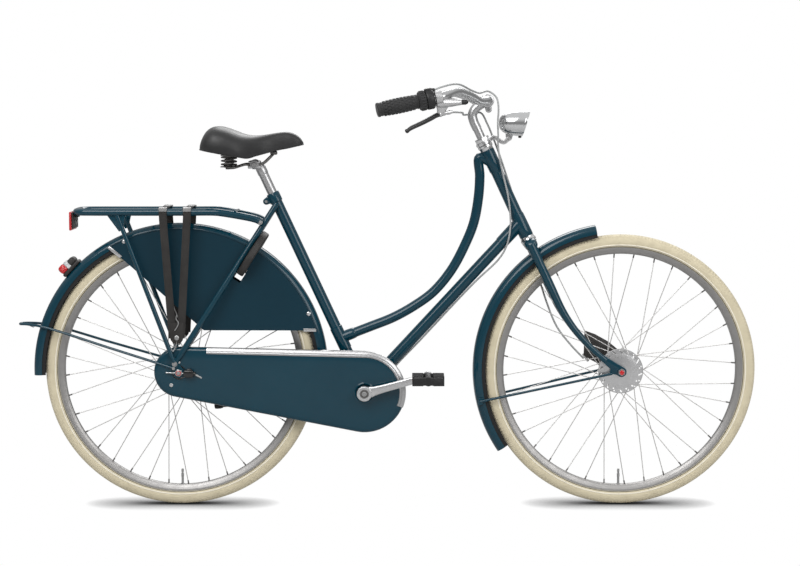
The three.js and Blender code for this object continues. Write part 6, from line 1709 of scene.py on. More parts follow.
@dataclass
class Cockpit:
    """Everything on the steering column above the frame: stem, bar, grips, controls and locknut."""

    bar_radius: float = 0.0111
    clamp_ahead: float = 0.0542
    clamp_height: float = 0.7832
    left_grip_from: float = -0.0075
    right_grip_from: float = 0.0328
    shifter_start: float = -0.007
    shifter_end: float = 0.0322
    lever_middle: float = -0.01905
    lever_reach: float = 0.044
    blade_length: float = 0.088
    lever_lean: float = 22
    grip_start: Triple = (0.150, 0.260, 0.0042)
    grip_aim: Triple = (0.283, 0.283, -0.0235)

    def __post_init__(self) -> None:
        """Works out the clamp and the grips' lines."""
        self.clamp = on_column(self.clamp_ahead, 0, self.clamp_height)
        self.starts = {side: self.on_bar(side, self.grip_start) for side, _ in SIDES}
        spans = {side: self.on_bar(side, self.grip_aim) - start for side, start in self.starts.items()}
        self.grip_end = spans[1].length
        self.lines = {side: span.normalized() for side, span in spans.items()}

    def build(self) -> None:
        """Makes all of it."""
        self.locknut()
        self.stem()
        self.bar()
        self.grip(1, "left", self.left_grip_from)
        self.grip(-1, "right", self.right_grip_from)
        self.shifter()
        self.lever()

    def on_bar(self, side: int, place: Triple) -> Vector:
        """A point so many metres behind the clamp, out to one side of it and above it."""
        back, out, high = place
        return self.clamp + Vector((-back, side * out, high))

    def on_grip(self, side: int, along: float) -> Vector:
        """A point of a grip's middle line."""
        return self.starts[side] + self.lines[side] * along

    def locknut(self) -> None:
        """The stacked rings over the upper bearing."""
        radius, foot, top = 0.0188, 0.6915, 0.7025
        nut = hex_nut("headset_nut", COLUMN_FOOT, COLUMN, radius, foot, top, 0.001, sides=8)
        rings = [(0.0185, 0.6828), (0.0208, 0.6838), (0.0208, 0.6875), (0.0196, 0.6885), (0.0202, 0.6892),
                 (0.0202, 0.6912), (radius, 0.6918)]
        stack = capped("headset_stack", rings, COLUMN_FOOT, COLUMN, 40)
        dress(joined("headset_stack", stack, nut), "chrome_plate", "steering", ["headset_locknut"])

    def stem(self) -> None:
        """The quill, its forward arm, the clamp round the bar and the two bolts."""
        foot, top, radius = 0.592, 0.755, 0.011
        quill = rod("stem_quill", on_column(0, 0, foot), on_column(0, 0, top), radius, sides=36, edge=0.0006)
        arm_line = ((0, 0.728), (0, 0.750), (0.0042, 0.7665), (0.017, 0.7775), (0.034, 0.7822))
        route = [on_column(ahead, 0, high) for ahead, high in arm_line]
        arm_foot, arm_end, arm_short = 0.0121, 0.0135, 0.004
        arm = tube("stem_arm", [*route, self.clamp - AHEAD * arm_short], arm_foot, 32, 8, arm_end, 0.4)
        barrel = [(0.0148, -0.0198), (0.0166, -0.0185), (0.0170, -0.0160), (0.0172, 0.0), (0.0170, 0.0160),
                  (0.0166, 0.0185), (0.0148, 0.0198)]
        clamp = capped("stem_clamp", barrel, self.clamp, LEFT, 44)
        ear_start = self.clamp - COLUMN * 0.012 - AHEAD * 0.003
        ear_end = self.clamp - COLUMN * 0.0225 - AHEAD * 0.0065
        ear_root, ear_tip, ear_half = 0.0095, 0.0078, 0.0118
        ear = bar_plate("stem_ear", ear_start, ear_end, ear_root, ear_tip, -ear_half, ear_half, 0.002)
        slot_size = (0.05, 0.0022, 0.022)
        slot = block("stem_slot", ear_end, slot_size, 0.0002)
        dress(joined("stem_skin", quill, arm, clamp, bored(ear, slot)), "satin_alloy", "steering",
              ["stem"], 40)
        screw_half, screw_radius, cap_height = 0.0145, 0.0042, 0.766
        screw = rod("stem_clamp_bolt", ear_end - LEFT * screw_half, ear_end + LEFT * screw_half, screw_radius,
                    sides=24, edge=0.0009)
        cap = capped("stem_cap", [(0.0086, 0), (0.0086, 0.004), (0.0062, 0.0062)],
                     on_column(0, 0, cap_height), COLUMN, 28)
        dress(joined("stem_bolts", screw, cap), "chrome_plate", "steering")

    def bar(self) -> None:
        """The swept-back bar with its thicker sleeve in the clamp."""
        route = [(0, 0.022, 0), (0.003, 0.040, 0), (0.024, 0.070, -0.001), (0.042, 0.110, 0.0086),
                 (0.0655, 0.165, 0.018), (0.0887, 0.215, 0.022)]
        end_short = 0.0035
        in_grip = (-0.030, -0.015, 0.0, 0.06, self.grip_end - end_short)
        halves = {}
        for side, _ in SIDES:
            halves[side] = [self.on_bar(side, place) for place in route]
            halves[side] += [self.on_grip(side, along) for along in in_grip]
        bar = tube("bar_skin", [*reversed(halves[-1]), self.clamp, *halves[1]], self.bar_radius, 32, 10)
        thin, thick, half, full_half = self.bar_radius, 0.0127, 0.031, 0.0275
        sleeve = capped("bar_sleeve", [(thin, -half), (thick, -full_half), (thick, full_half), (thin, half)],
                        self.clamp, LEFT, 36)
        dress(joined("bar_skin", bar, sleeve), "polished_alloy", "steering", ["handlebar"])

    def grip(self, side: int, hand: str, start: float) -> None:
        """One grip: a swelling palm, rings round both ends, rows of pads and a closed cap."""
        shape = [(0, 0.0168), (0.02, 0.0182), (0.035, 0.0182), (0.045, 0.0160), (0.075, 0.0160),
                 (0.085, 0.0172), (0.25, 0.0181), (0.42, 0.0187), (0.6, 0.0183), (0.78, 0.0168),
                 (0.86, 0.0162), (0.875, 0.0172), (0.90, 0.0172), (0.91, 0.0164), (0.925, 0.0164),
                 (0.935, 0.0178), (0.985, 0.0178), (1.0, 0.0160)]
        length, line = self.grip_end - start, self.lines[side]
        body = capped(f"grip_skin_{hand}", [(radius, start + length * share) for share, radius in shape],
                      self.starts[side], line, 44)
        across = line.orthogonal().normalized()
        pads = []
        rows, row_pads = 9, 14
        for row in range(rows):
            share = 0.13 + 0.68 * row / (rows - 1)
            radius = 0.0171 + 0.0015 * math.sin(math.pi * min(1, max(0, (share - 0.06) / 0.82)))
            for i in range(row_pads):
                turn = FULL_TURN * (i + 0.5 * (row % 2)) / row_pads
                outward = Matrix.Rotation(turn, 3, line) @ across
                place = self.on_grip(side, start + length * share) + outward * radius
                pads.append(block("grip_pad", place, (0.0068, 0.0056, 0.0022), 0.0009,
                                  facing(line, outward.cross(line), outward), 2))
        dress(joined(f"grip_skin_{hand}", body, *pads), "grip_rubber", "steering",
              [f"grip_{hand}"])

    def shifter(self) -> None:
        """The twist shifter: a ribbed ring beside a smooth housing with its window bump and cable outlet."""
        start, end, line, base = self.shifter_start, self.shifter_end, self.lines[-1], self.starts[-1]
        shape = [(0.0195, 0), (0.0235, 0.0012), (0.0252, 0.004), (0.0254, 0.016), (0.0244, 0.0195),
                 (0.0205, 0.0205)]
        housing = capped("shifter_housing", [(radius, start + along) for radius, along in shape], base, line,
                         56)
        up = (UP - line * UP.dot(line)).normalized()
        turn = facing(line, up.cross(line), up)
        top = self.on_grip(-1, start + 0.0105)
        bump = block("shifter_bump", top + up * 0.0215, (0.0175, 0.024, 0.0112), 0.0035, turn, 4)
        outlet_start = self.on_grip(-1, start + 0.006) + up * 0.0205
        outlet = rod("shifter_outlet", outlet_start, outlet_start - line * 0.013, 0.0058, 0.0040, 24, 0.0008)
        dress(joined("shifter_housing", housing, bump, outlet), "black_plastic", "shifter",
              ["shifter"])
        sleeve = [(0.0205, start + 0.0207), (0.0236, start + 0.0220), (0.0236, end - 0.0035),
                  (0.0215, end - 0.0012), (0.0185, end - 0.0002)]
        ring = capped("shifter_ring", sleeve, base, line, 56)
        rib_start, rib_end, rib_reach = start + 0.0222, end - 0.004, 0.0237
        rib_size = (end - start - 0.0275, 0.0032, 0.0030)
        rib_middle = self.on_grip(-1, (rib_start + rib_end) / 2)
        across = line.orthogonal().normalized()
        ribs = []
        for turned in angles(22):
            outward = Matrix.Rotation(turned, 3, line) @ across
            ribs.append(block("shifter_rib", rib_middle + outward * rib_reach, rib_size, 0.0011,
                              facing(line, outward.cross(line), outward), 2))
        dress(joined("shifter_ring", ring, *ribs), "grip_rubber", "shifter")
        window = block("shifter_window", top + up * 0.0272, (0.0095, 0.014, 0.0012), 0.0005, turn)
        dress(window, "pale_plastic", "shifter")

    def lever(self) -> None:
        """The brake lever, which reaches down and a little forwards from the right grip's line."""
        line = self.lines[-1]
        down = (-UP + line * line.z).normalized()
        lean = math.radians(self.lever_lean)
        reach = down * math.cos(lean) + down.cross(line).normalized() * math.sin(lean)
        middle = self.on_grip(-1, self.lever_middle)
        pin = middle + reach * self.lever_reach
        hinge = line.cross(reach).normalized()
        self.lever_housing(line, reach, hinge, middle, pin)
        self.lever_blade(line, reach, hinge, pin)

    def lever_housing(self, line: Vector, reach: Vector, hinge: Vector, middle: Vector, pin: Vector) -> None:
        """The lever's bright clamp and housing, its cable adjuster, the pin and the cradle of the cable."""
        clamp = capped("lever_clamp", [(0.0142, -0.0094), (0.0163, -0.008), (0.0166, 0.0), (0.0163, 0.008),
                                       (0.0142, 0.0094)], middle, line, 44)
        # The share of the reach, the set along the bar, and both half widths of each section
        stations = ((0.22, -0.002, 0.0125, 0.0088), (0.45, -0.006, 0.0150, 0.0084),
                    (0.68, -0.0075, 0.0150, 0.0078), (0.88, -0.0035, 0.0115, 0.0074),
                    (1.05, -0.001, 0.0085, 0.0066), (1.16, 0.0, 0.0040, 0.0050))
        housing = lofted("lever_housing", [
            oval(middle + reach * (self.lever_reach * share) + line * back, line * wide, hinge * thick)
            for share, back, wide, thick in stations])
        bored(housing, block("lever_mouth", pin + line * 0.0100 + reach * 0.004, (0.022, 0.0078, 0.024),
                             0.001, facing(line, hinge, reach)))
        aim = (spot(*BRAKE_ROUTE[0]) - pin).normalized()
        barrel = capped("lever_barrel", [(0.0072, -0.004), (0.0078, 0.004), (0.0070, 0.0125),
                                         (0.0055, 0.0135), (0.0055, 0.018), (0.0062, 0.0185),
                                         (0.0062, 0.0265), (0.0048, 0.0275), (0.0046, 0.0325),
                                         (0.0034, 0.0335)], pin - reach * 0.001, aim, 28)
        screw = rod("lever_pin", pin - hinge * 0.0078, pin + hinge * 0.0078, 0.0035, sides=20, edge=0.0006)
        start, end = middle + reach * 0.013 + line * 0.006, spot(724, -237, 1053.5)
        long, way = (end - start).length, (end - start).normalized()
        cradle = capped("lever_cradle", [(0.0105, 0), (0.0128, 0.006), (0.0130, long * 0.3),
                                         (0.0108, long * 0.62), (0.0088, long * 0.82), (0.0076, long * 0.97),
                                         (0.0068, long)], start, way, 32)
        ferrule = capped("lever_ferrule", [(0.0062, -0.001), (0.0066, 0.002), (0.0066, 0.012),
                                           (0.0050, 0.0155), (0.0032, 0.018)], end, way, 24)
        dress(ferrule, "black_plastic", "steering")
        dress(joined("lever_housing", clamp, housing, barrel, screw, cradle), "bright_alloy", "steering",
              ["brake_lever_clamp"], 40)

    def lever_blade(self, line: Vector, reach: Vector, hinge: Vector, pin: Vector) -> None:
        """The black blade, which bends away from the grip and ends in a ball."""
        shares = [(-0.07, 0.005), (0.0, 0), (0.15, 0.035), (0.3, 0.09), (0.48, 0.145), (0.65, 0.19),
                  (0.78, 0.222), (0.88, 0.25), (0.95, 0.282), (1.0, 0.31)]
        long = self.blade_length
        centres = [pin + line * (long * along) + reach * (long * away) for along, away in shares]
        sections = []
        for index, (centre, (along, _)) in enumerate(zip(centres, shares)):
            outward = hinge.cross(track(centres, index)).normalized()
            wide = 0.0062 + 0.0006 * math.sin(math.pi * min(1, max(0, along))) if along < 0.93 else 0.0050
            thick = 0.0054 - 0.0010 * max(0, along) if along > 0.05 else 0.0062
            sections.append(oval(centre, hinge * wide, outward * thick, 24, 0.7))
        body = lofted("lever_blade", sections)
        tip = capped("lever_tip", [(0.0030, -0.004), (0.0052, -0.002), (0.0058, 0.001), (0.0048, 0.0042),
                                   (0.0022, 0.0056)],
                     centres[-1], line + reach * 0.45, 24)
        dress(joined("lever_blade", body, tip), "gloss_black", "brake_lever",
              ["brake_lever"], 45)


@dataclass
class Headlamp:
    """The chrome lamp bowl with its raked rim, glass and bulb, on a forked bracket."""

    back: float = 829.5
    axis_height: float = 999
    pin_ahead: float = 855.5
    pin_height: float = 960.6
    length: float = 0.104
    radius: float = 0.0335
    wall: float = 0.002
    rake: float = 17
    steps: int = 64

    def build(self) -> None:
        """Makes the lamp and its bracket."""
        self.start = spot(self.back, 0, self.axis_height)
        self.bowl()
        self.front()
        self.bracket()

    def turned(self, name: str, outline: Outline, steps: int = 64) -> bpy.types.Object:
        """A solid turned about the lamp's axis, from its back end."""
        return capped(name, outline, self.start, FORWARD, steps)

    def cut_mouth(self, piece: bpy.types.Object, offset: float) -> bpy.types.Object:
        """Cuts a piece off along the raked mouth and closes it."""
        lean = math.radians(self.rake)
        way = Vector((math.cos(lean), 0, -math.sin(lean)))
        place = self.start + FORWARD * (0.0705 + offset)
        edit(piece, lambda: bpy.ops.mesh.bisect(plane_co=place, plane_no=way, use_fill=True,
                                                clear_outer=True), mend)
        return piece

    def bowl(self) -> None:
        """The bowl as a wall, with the ear below it."""
        shares = [(0.16, 0.0045), (0.32, 0.014), (0.45, 0.03), (0.63, 0.082), (0.78, 0.15), (0.87, 0.23),
                  (0.93, 0.32), (0.975, 0.42), (1, 0.52), (1, 0.78), (1, 1)]
        outer = [(self.radius * wide, self.length * along) for wide, along in shares]
        inner = [(radius - self.wall, along + self.wall) for radius, along in outer[1:]]
        shell = self.cut_mouth(self.turned("lamp_shell", outer), -0.004)
        bored(shell, self.turned("lamp_hollow", inner))
        ear = bar_plate("lamp_ear", spot(self.pin_ahead, 0, self.pin_height), spot(857, 0, 972), 0.0078,
                        0.010, -0.0025, 0.0025, 0.0007)
        dress(joined("lamp_shell", shell, ear), "chrome_plate", "headlamp", ["headlamp_shell"])

    def front(self) -> None:
        """The rolled rim, the glass, the bulb and the switch."""
        room = [(0.05, -0.01), (0.05, 0.12)]
        rim = self.cut_mouth(self.turned("lamp_rim", [(self.radius, 0.036), (self.radius + 0.0008, 0.11)]),
                             0.0004)
        behind = self.cut_mouth(self.turned("lamp_behind", room, 24), -0.0062)
        opening = self.radius - 0.0028
        bored(rim, behind, self.turned("lamp_opening", [(opening, -0.01), (opening, 0.14)]))
        dress(bevelled(rim, 0.0005, 2), "chrome_plate", "headlamp")
        pane = self.radius - 0.0030
        glass = self.cut_mouth(self.turned("lamp_glass", [(pane, 0.03), (pane, 0.11)]), -0.0008)
        bored(glass, self.cut_mouth(self.turned("lamp_glass_back", room, 24), -0.0048))
        dress(glass, "lamp_glass", "headlamp", ["headlamp_lens"])
        bulb = self.turned("lamp_bulb", [(0.006, 0.018), (0.0065, 0.026), (0.004, 0.033), (0.002, 0.0345)],
                           24)
        dress(bulb, "pale_plastic", "headlamp")
        knob = capped("lamp_switch", [(0.0042, 0), (0.0042, 0.004), (0.0028, 0.0055)], spot(884, 0, 966.6),
                      -UP, 20)
        dress(knob, "black_plastic", "headlamp")

    def bracket(self) -> None:
        """Two bent arms from the steering column to the lamp's pin, with the pin's screw."""
        arms = []
        for side, _ in SIDES:
            half = side * 6.5
            route = [on_column(0.017, half * MM, 0.6883), on_column(0.030, half * MM, 0.6905),
                     spot(842, half, 949.5), spot(self.pin_ahead, half, self.pin_height)]
            arms.append(ribbon("lamp_arm", smooth_route(route, 6), LEFT, 0.0030, 0.0105, 0.0007))
        ring = lathe("lamp_ring", [(0.0140, 0.6868), (0.0212, 0.6868), (0.0212, 0.6888), (0.0140, 0.6888)],
                     COLUMN_FOOT, COLUMN, 40)
        tongue = ribbon("lamp_tongue", [on_column(0.015, 0, 0.6878), on_column(0.033, 0, 0.6898)], LEFT,
                        0.016, 0.0024)
        screw = rod("lamp_screw", spot(self.pin_ahead, -10.5, self.pin_height),
                    spot(self.pin_ahead, 10.5, self.pin_height), 0.0042, sides=24, edge=0.0008)
        dress(joined("lamp_arms", *arms, ring, tongue, screw), "bright_alloy", "steering")


SADDLE_STATIONS = (
    (58.1, 940, 931.6, 66), (60.0, 951, 930.9, 76), (64, 962, 930.5, 84), (69.5, 972.5, 929.2, 91),
    (76, 981, 928, 97), (86, 988.2, 926, 101), (97.3, 991.9, 924, 104), (112, 990.8, 921.3, 105),
    (128.6, 986.5, 918.6, 104), (142, 981.1, 916, 101.5), (156, 975.5, 913.5, 97), (167, 971.6, 911.3, 90.5),
    (178, 969, 909.5, 82), (188, 967.5, 910.5, 72), (198, 966.9, 914, 62), (210, 967.6, 917.3, 51),
    (222, 969, 920.5, 42), (235, 971.3, 924.1, 35.5), (248.3, 973.5, 927.7, 31), (263, 975.7, 930.8, 28),
    (278.5, 976.9, 933.5, 26), (292, 975, 936.4, 24.4), (303, 970, 939, 22), (310.5, 965, 940.6, 19.5),
    (316, 958.5, 942, 16), (320, 953, 942.8, 12), (322.7, 947.5, 943.2, 8))


@dataclass
class Saddle:
    """The padded saddle, its two coil springs, rails, clamp and post. The stations are in millimetres."""

    stations: Sequence[tuple[float, float, float, float]] = SADDLE_STATIONS
    across: Outline = ((0.0, 0.0), (0.10, -0.006), (0.22, 0.003), (0.36, 0.006), (0.52, -0.010),
                       (0.66, -0.045), (0.78, -0.115), (0.88, -0.23), (0.95, -0.38), (0.985, -0.55),
                       (1.0, -0.72), (0.992, -0.86), (0.975, -0.955), (0.955, -0.992), (0.935, -1.0),
                       (0.86, -0.985), (0.70, -0.955), (0.50, -0.93), (0.25, -0.915), (0.0, -0.91))
    fill: float = 0.85
    spring_at: float = 128.6
    spring_out: float = 50
    spring_foot: float = 890
    coil_turns: int = 3
    coil_radius: float = 15
    coil_rise: float = 24.3
    seat: float = 1
    coil_steps: int = 28
    post_radius: float = 0.0125
    clamp_at: float = 195.5
    clamp_height: float = 893

    def build(self) -> None:
        """Makes the cover and what carries it."""
        self.cover()
        for side, hand in SIDES:
            self.spring(side, hand)
        self.rails()
        self.post()
        self.clamp()

    def cover(self) -> None:
        """The padded cover and its piping. Each station is its place, top, bottom and half width."""
        sections = []
        for x, top, bottom, half in self.stations:
            left = [spot(x, share * half, top + drop * (top - bottom)) for share, drop in self.across]
            sections.append(left + other_side(left[1:-1]))
        pad = lofted("saddle_pad", sections)
        apply(pad, "SUBSURF", levels=2, render_levels=2)
        dress(pad, "saddle_hide", "seatpost", ["saddle_cover"], 60)
        rim = [spot(x, half * 0.94, bottom + 1.2) for x, _, bottom, half in self.stations[1:-1]]
        piping = tube("saddle_piping", [*rim, *other_side(rim), rim[0].copy()], 0.0017, 12, 5)
        dress(piping, "black_plastic", "seatpost")

    def spring(self, side: int, hand: str) -> None:
        """One coil spring between its trays."""
        ahead, out, foot = self.spring_at, side * self.spring_out, self.spring_foot
        steps = self.coil_turns * self.coil_steps
        coil = []
        for i in range(steps + 1):
            share = i / steps
            turn = FULL_TURN * self.coil_turns * share
            rise = self.coil_rise * min(1.0, max(0.0, (share - 0.05) / 0.9))
            coil.append(spot(ahead + self.coil_radius * math.cos(turn),
                             out + self.coil_radius * math.sin(turn),
                             foot + rise + self.seat))
        spring = tube(f"saddle_spring_{hand}_wire", coil, 0.0022, 14, 0)
        low = capped("spring_tray", [(0.0185, 0), (0.0188, 0.0012), (0.017, 0.0026), (0.010, 0.0030),
                                     (0.0065, 0.010),
                                     (0.0050, 0.0105)], spot(ahead, out, foot - 3.4), UP, 32)
        top = capped("spring_cap", [(0.0175, 0), (0.0178, 0.0015), (0.0165, 0.0024)],
                     spot(ahead, out, foot + 26), UP, 32)
        dress(joined(f"saddle_spring_{hand}_wire", spring, low, top), "dark_steel", "seatpost",
              [f"saddle_spring_{hand}"], 45)

    def rails(self) -> None:
        """The two rails, from the spring trays through the clamp to the nose."""
        route = [(128.6, 50, 884.4), (146, 41, 885.6), (160, 28, 890), (172, 21, 893), (180, 20, 893),
                 (207, 20, 893), (218, 19, 896), (232, 14, 908), (241, 7, 917), (244, 1.5, 920.5)]
        radius = 0.0036
        rails = [tube("saddle_rail", [spot(x, side * y, z) for x, y, z in route], radius, 16, 8)
                 for side, _ in SIDES]
        foot = block("saddle_nose_bracket", spot(245, 0, 922.5), (0.018, 0.018, 0.010), 0.003)
        ends = [bolt("spring_bolt", spot(self.spring_at, side * self.spring_out, 886.5), -UP, 0.0052, 0.0042)
                for side, _ in SIDES]
        dress(joined("saddle_rail_pair", *rails, foot, *ends), "dark_steel", "seatpost",
              ["saddle_rails"], 45)

    def post(self) -> None:
        """The post with its thicker neck."""
        top, radius = spot(206, 0, self.clamp_height), self.post_radius
        shaft = rod("post_shaft", on_seat_tube(0.36), top - COLUMN * 0.004, radius, sides=40)
        neck = capped("post_neck", [(radius, -0.03), (0.0136, -0.026), (0.0136, -0.010), (0.0115, -0.004)],
                      top, COLUMN, 40)
        dress(joined("post_shaft", shaft, neck), "satin_alloy", "seatpost", ["seatpost"])

    def clamp(self) -> None:
        """The clamp: a cradle and lid, and on each side two discs, a ring of teeth and a bolt."""
        at, height = self.clamp_at, self.clamp_height
        pieces = [block("post_cradle", spot(at, 0, 886.5), (0.033, 0.050, 0.0085), 0.002),
                  block("post_lid", spot(at, 0, 899), (0.030, 0.048, 0.0065), 0.002)]
        teeth = 20
        for side, _ in SIDES:
            for radius, near, far in ((0.0125, 15.5, 19.5), (0.0112, 20.4, 25.2)):
                pieces.append(rod("post_disc", spot(at, side * near, height), spot(at, side * far, height),
                                  radius, sides=36, edge=0.0009))
            pieces += [block("post_tooth", round_wheel(spot(at, 0, height), 0.0123, 360 * i / teeth,
                                                       side * 0.0202),
                             (0.0016, 0.0014, 0.0016), 0.0002) for i in range(teeth)]
        bolt_out, bolt_radius, bolt_depth = 25.0, 0.0062, 0.0052
        heads = [bolt("post_bolt", spot(at, side * bolt_out, height), LEFT * side, bolt_radius, bolt_depth)
                 for side, _ in SIDES]
        dress(joined("post_clamp", *pieces), "bright_alloy", "seatpost")
        dress(joined("post_bolts", *heads), "zinc_steel", "seatpost")


@dataclass
class Stand:
    """The side stand, folded up along the chain stay: its pivot, its leg and a grooved rubber foot."""

    axis: Triple = (0.1681282, -0.9857651, 0)
    leg_radius: float = 0.0068
    ankle_radius: float = 0.006
    rings: int = 3
    ring_step: float = 0.004

    def build(self) -> None:
        """Makes the stand."""
        pivot, foot = spot(425, 20, 281.88), spot(80, 70, 249)
        way = (foot - pivot).normalized()
        boss = capped("stand_boss", [(0.0085, -0.011), (0.0097, -0.010), (0.0097, 0.010), (0.0085, 0.011)],
                      pivot, Vector(self.axis), 32)
        route = [pivot, pivot.lerp(foot, 0.3), pivot.lerp(foot, 0.7), foot - way * 0.018]
        leg = tube("stand_leg", route, self.leg_radius, 24, 4, self.ankle_radius, 0.5)
        dress(joined("stand_skin", boss, leg), "dark_steel", "kickstand", ["kickstand"])
        heel = foot - way * 0.022
        tip = capped("stand_foot", [(0.0070, 0), (0.0082, 0.002), (0.0088, 0.008), (0.0089, 0.019),
                                    (0.0080, 0.0215)],
                     heel, way, 28)
        shape = [(0.0086, 0.006), (0.0092, 0.0066), (0.0092, 0.0084), (0.0086, 0.009)]
        rings = [lathe("stand_foot_ring", [(radius, along + self.ring_step * i) for radius, along in shape],
                       heel, way, 28)
                 for i in range(self.rings)]
        dress(joined("stand_foot", tip, *rings), "pedal_rubber", "kickstand")


@dataclass
class RingLock:
    """The ring lock's housing on the seat stays, with the channel that the CAD's shackle slides in."""

    inner: float = 0.047
    outer: float = 0.072
    half: float = 0.0095
    ring: float = 0.0595
    bore: float = 0.0052
    slot_half: float = 0.0029
    end_angle: float = 139.5

    def build(self) -> None:
        """Makes the housing."""
        centre, ahead = spot(186.04, 0, 654.35), Vector((0.5376, 0, 0.8432)).normalized()
        across = LEFT.cross(ahead).normalized()
        side = [(self.outer, self.half - 0.003), (self.outer - 0.003, self.half),
                (self.inner + 0.002, self.half), (self.inner, self.half - 0.002)]
        section = [*((radius, -out) for radius, out in reversed(side)), *side]
        housing = swept("lock_housing", section, centre, across, ahead, -self.end_angle, self.end_angle, 60)
        bore = [(self.ring + self.bore * math.cos(turn), self.bore * math.sin(turn)) for turn in angles(16)]
        slot = [(self.ring, -self.slot_half), (0.08, -self.slot_half), (0.08, self.slot_half),
                (self.ring, self.slot_half)]
        cuts = (("lock_channel", bore, -152, -36, 30), ("lock_slot", slot, -152, -36, 30),
                ("lock_socket", bore, 122, 152, 8))
        bored(housing, *(swept(name, shape, centre, across, ahead, start, end, steps)
                         for name, shape, start, end, steps in cuts))
        dress(housing, "charcoal_plastic", "frame", ["ring_lock"])


@dataclass
class Cables:
    """The two cables in their sheaths. Each comes out of its control and goes into what it works."""

    shift_route: Sequence[Triple]
    brake_route: Sequence[Triple]
    diameter: float = 0.005

    def build(self) -> None:
        """Makes both."""
        past_head = Bend("steering", tuple(spot(826, -26, 962)), tuple(spot(858.9, -21, 765)))
        self.cable("shift_sheath", self.shift_route, "frame", "shift_cable", past_head)
        self.cable("brake_sheath", self.brake_route, "steering", "brake_cable")

    def cable(self, name: str, route: Sequence[Triple], body: str, node: str,
              bend: Bend | None = None) -> None:
        """Makes one cable along its route.

        Args:
            name: The piece's name.
            route: The points that it follows, in the bike's own millimetres.
            body: The body that it rides on.
            node: The CAD node that it stands for.
            bend: Where it would pass from another body to its own, if it crosses a joint; handed to dress,
                which reads only whether it is given.
        """
        points = smooth_route([spot(*place) for place in route], 8)
        piece = tube(name, points, self.diameter / 2, 12, 0)
        dress(piece, "cable_sheath", body, [node], 60, bend)
        length = sum((end - start).length for start, end in zip(points, points[1:]))
        tuple(points[0])


SHIFT_ROUTE = [(656, -256, 1083.5), (676, -248, 1091), (712, -214, 1098.5), (755, -112, 1083),
               (776, -62, 1077), (803, -18, 1081), (822, -15, 1066), (827.3, -20, 1041), (825.5, -27, 1000),
               (826.5, -27, 968), (826, -24, 953), (830.8, -22, 908), (841.3, -22, 862), (852.9, -22, 812),
               (858.9, -21, 765), (858.9, -20, 723), (850.5, -18, 683), (831.9, -7, 648), (767, -2, 584.2),
               (630.6, 0, 437.8), (542.4, -3, 342.4), (513, -7, 291), (497, -10, 280), (478, -12, 276),
               (450, -15, 281), (420, -25, 290), (385, -35.8, 300.9), (293, -44, 310.9), (200, -48, 321),
               (110, -52, 330.7), (80, -56, 334), (58, -64, 342), (49, -68.5, 347.5), (40.2, -70, 352)]
BRAKE_ROUTE = [(702, -225, 1029), (731, -100, 1027), (735, -30, 1024), (737, 0, 1021), (743, 13, 1021),
               (758, 18.5, 1023), (783, 20, 1026), (800, 21, 998), (814.6, 22, 963.7), (826, 22, 935),
               (870, 27, 806), (893, 44, 735), (906, 57, 695), (918, 57.5, 655), (934, 57.5, 609),
               (962, 57, 523), (988, 55, 462), (1023, 53, 416), (1059, 50, 378)]


# The studio


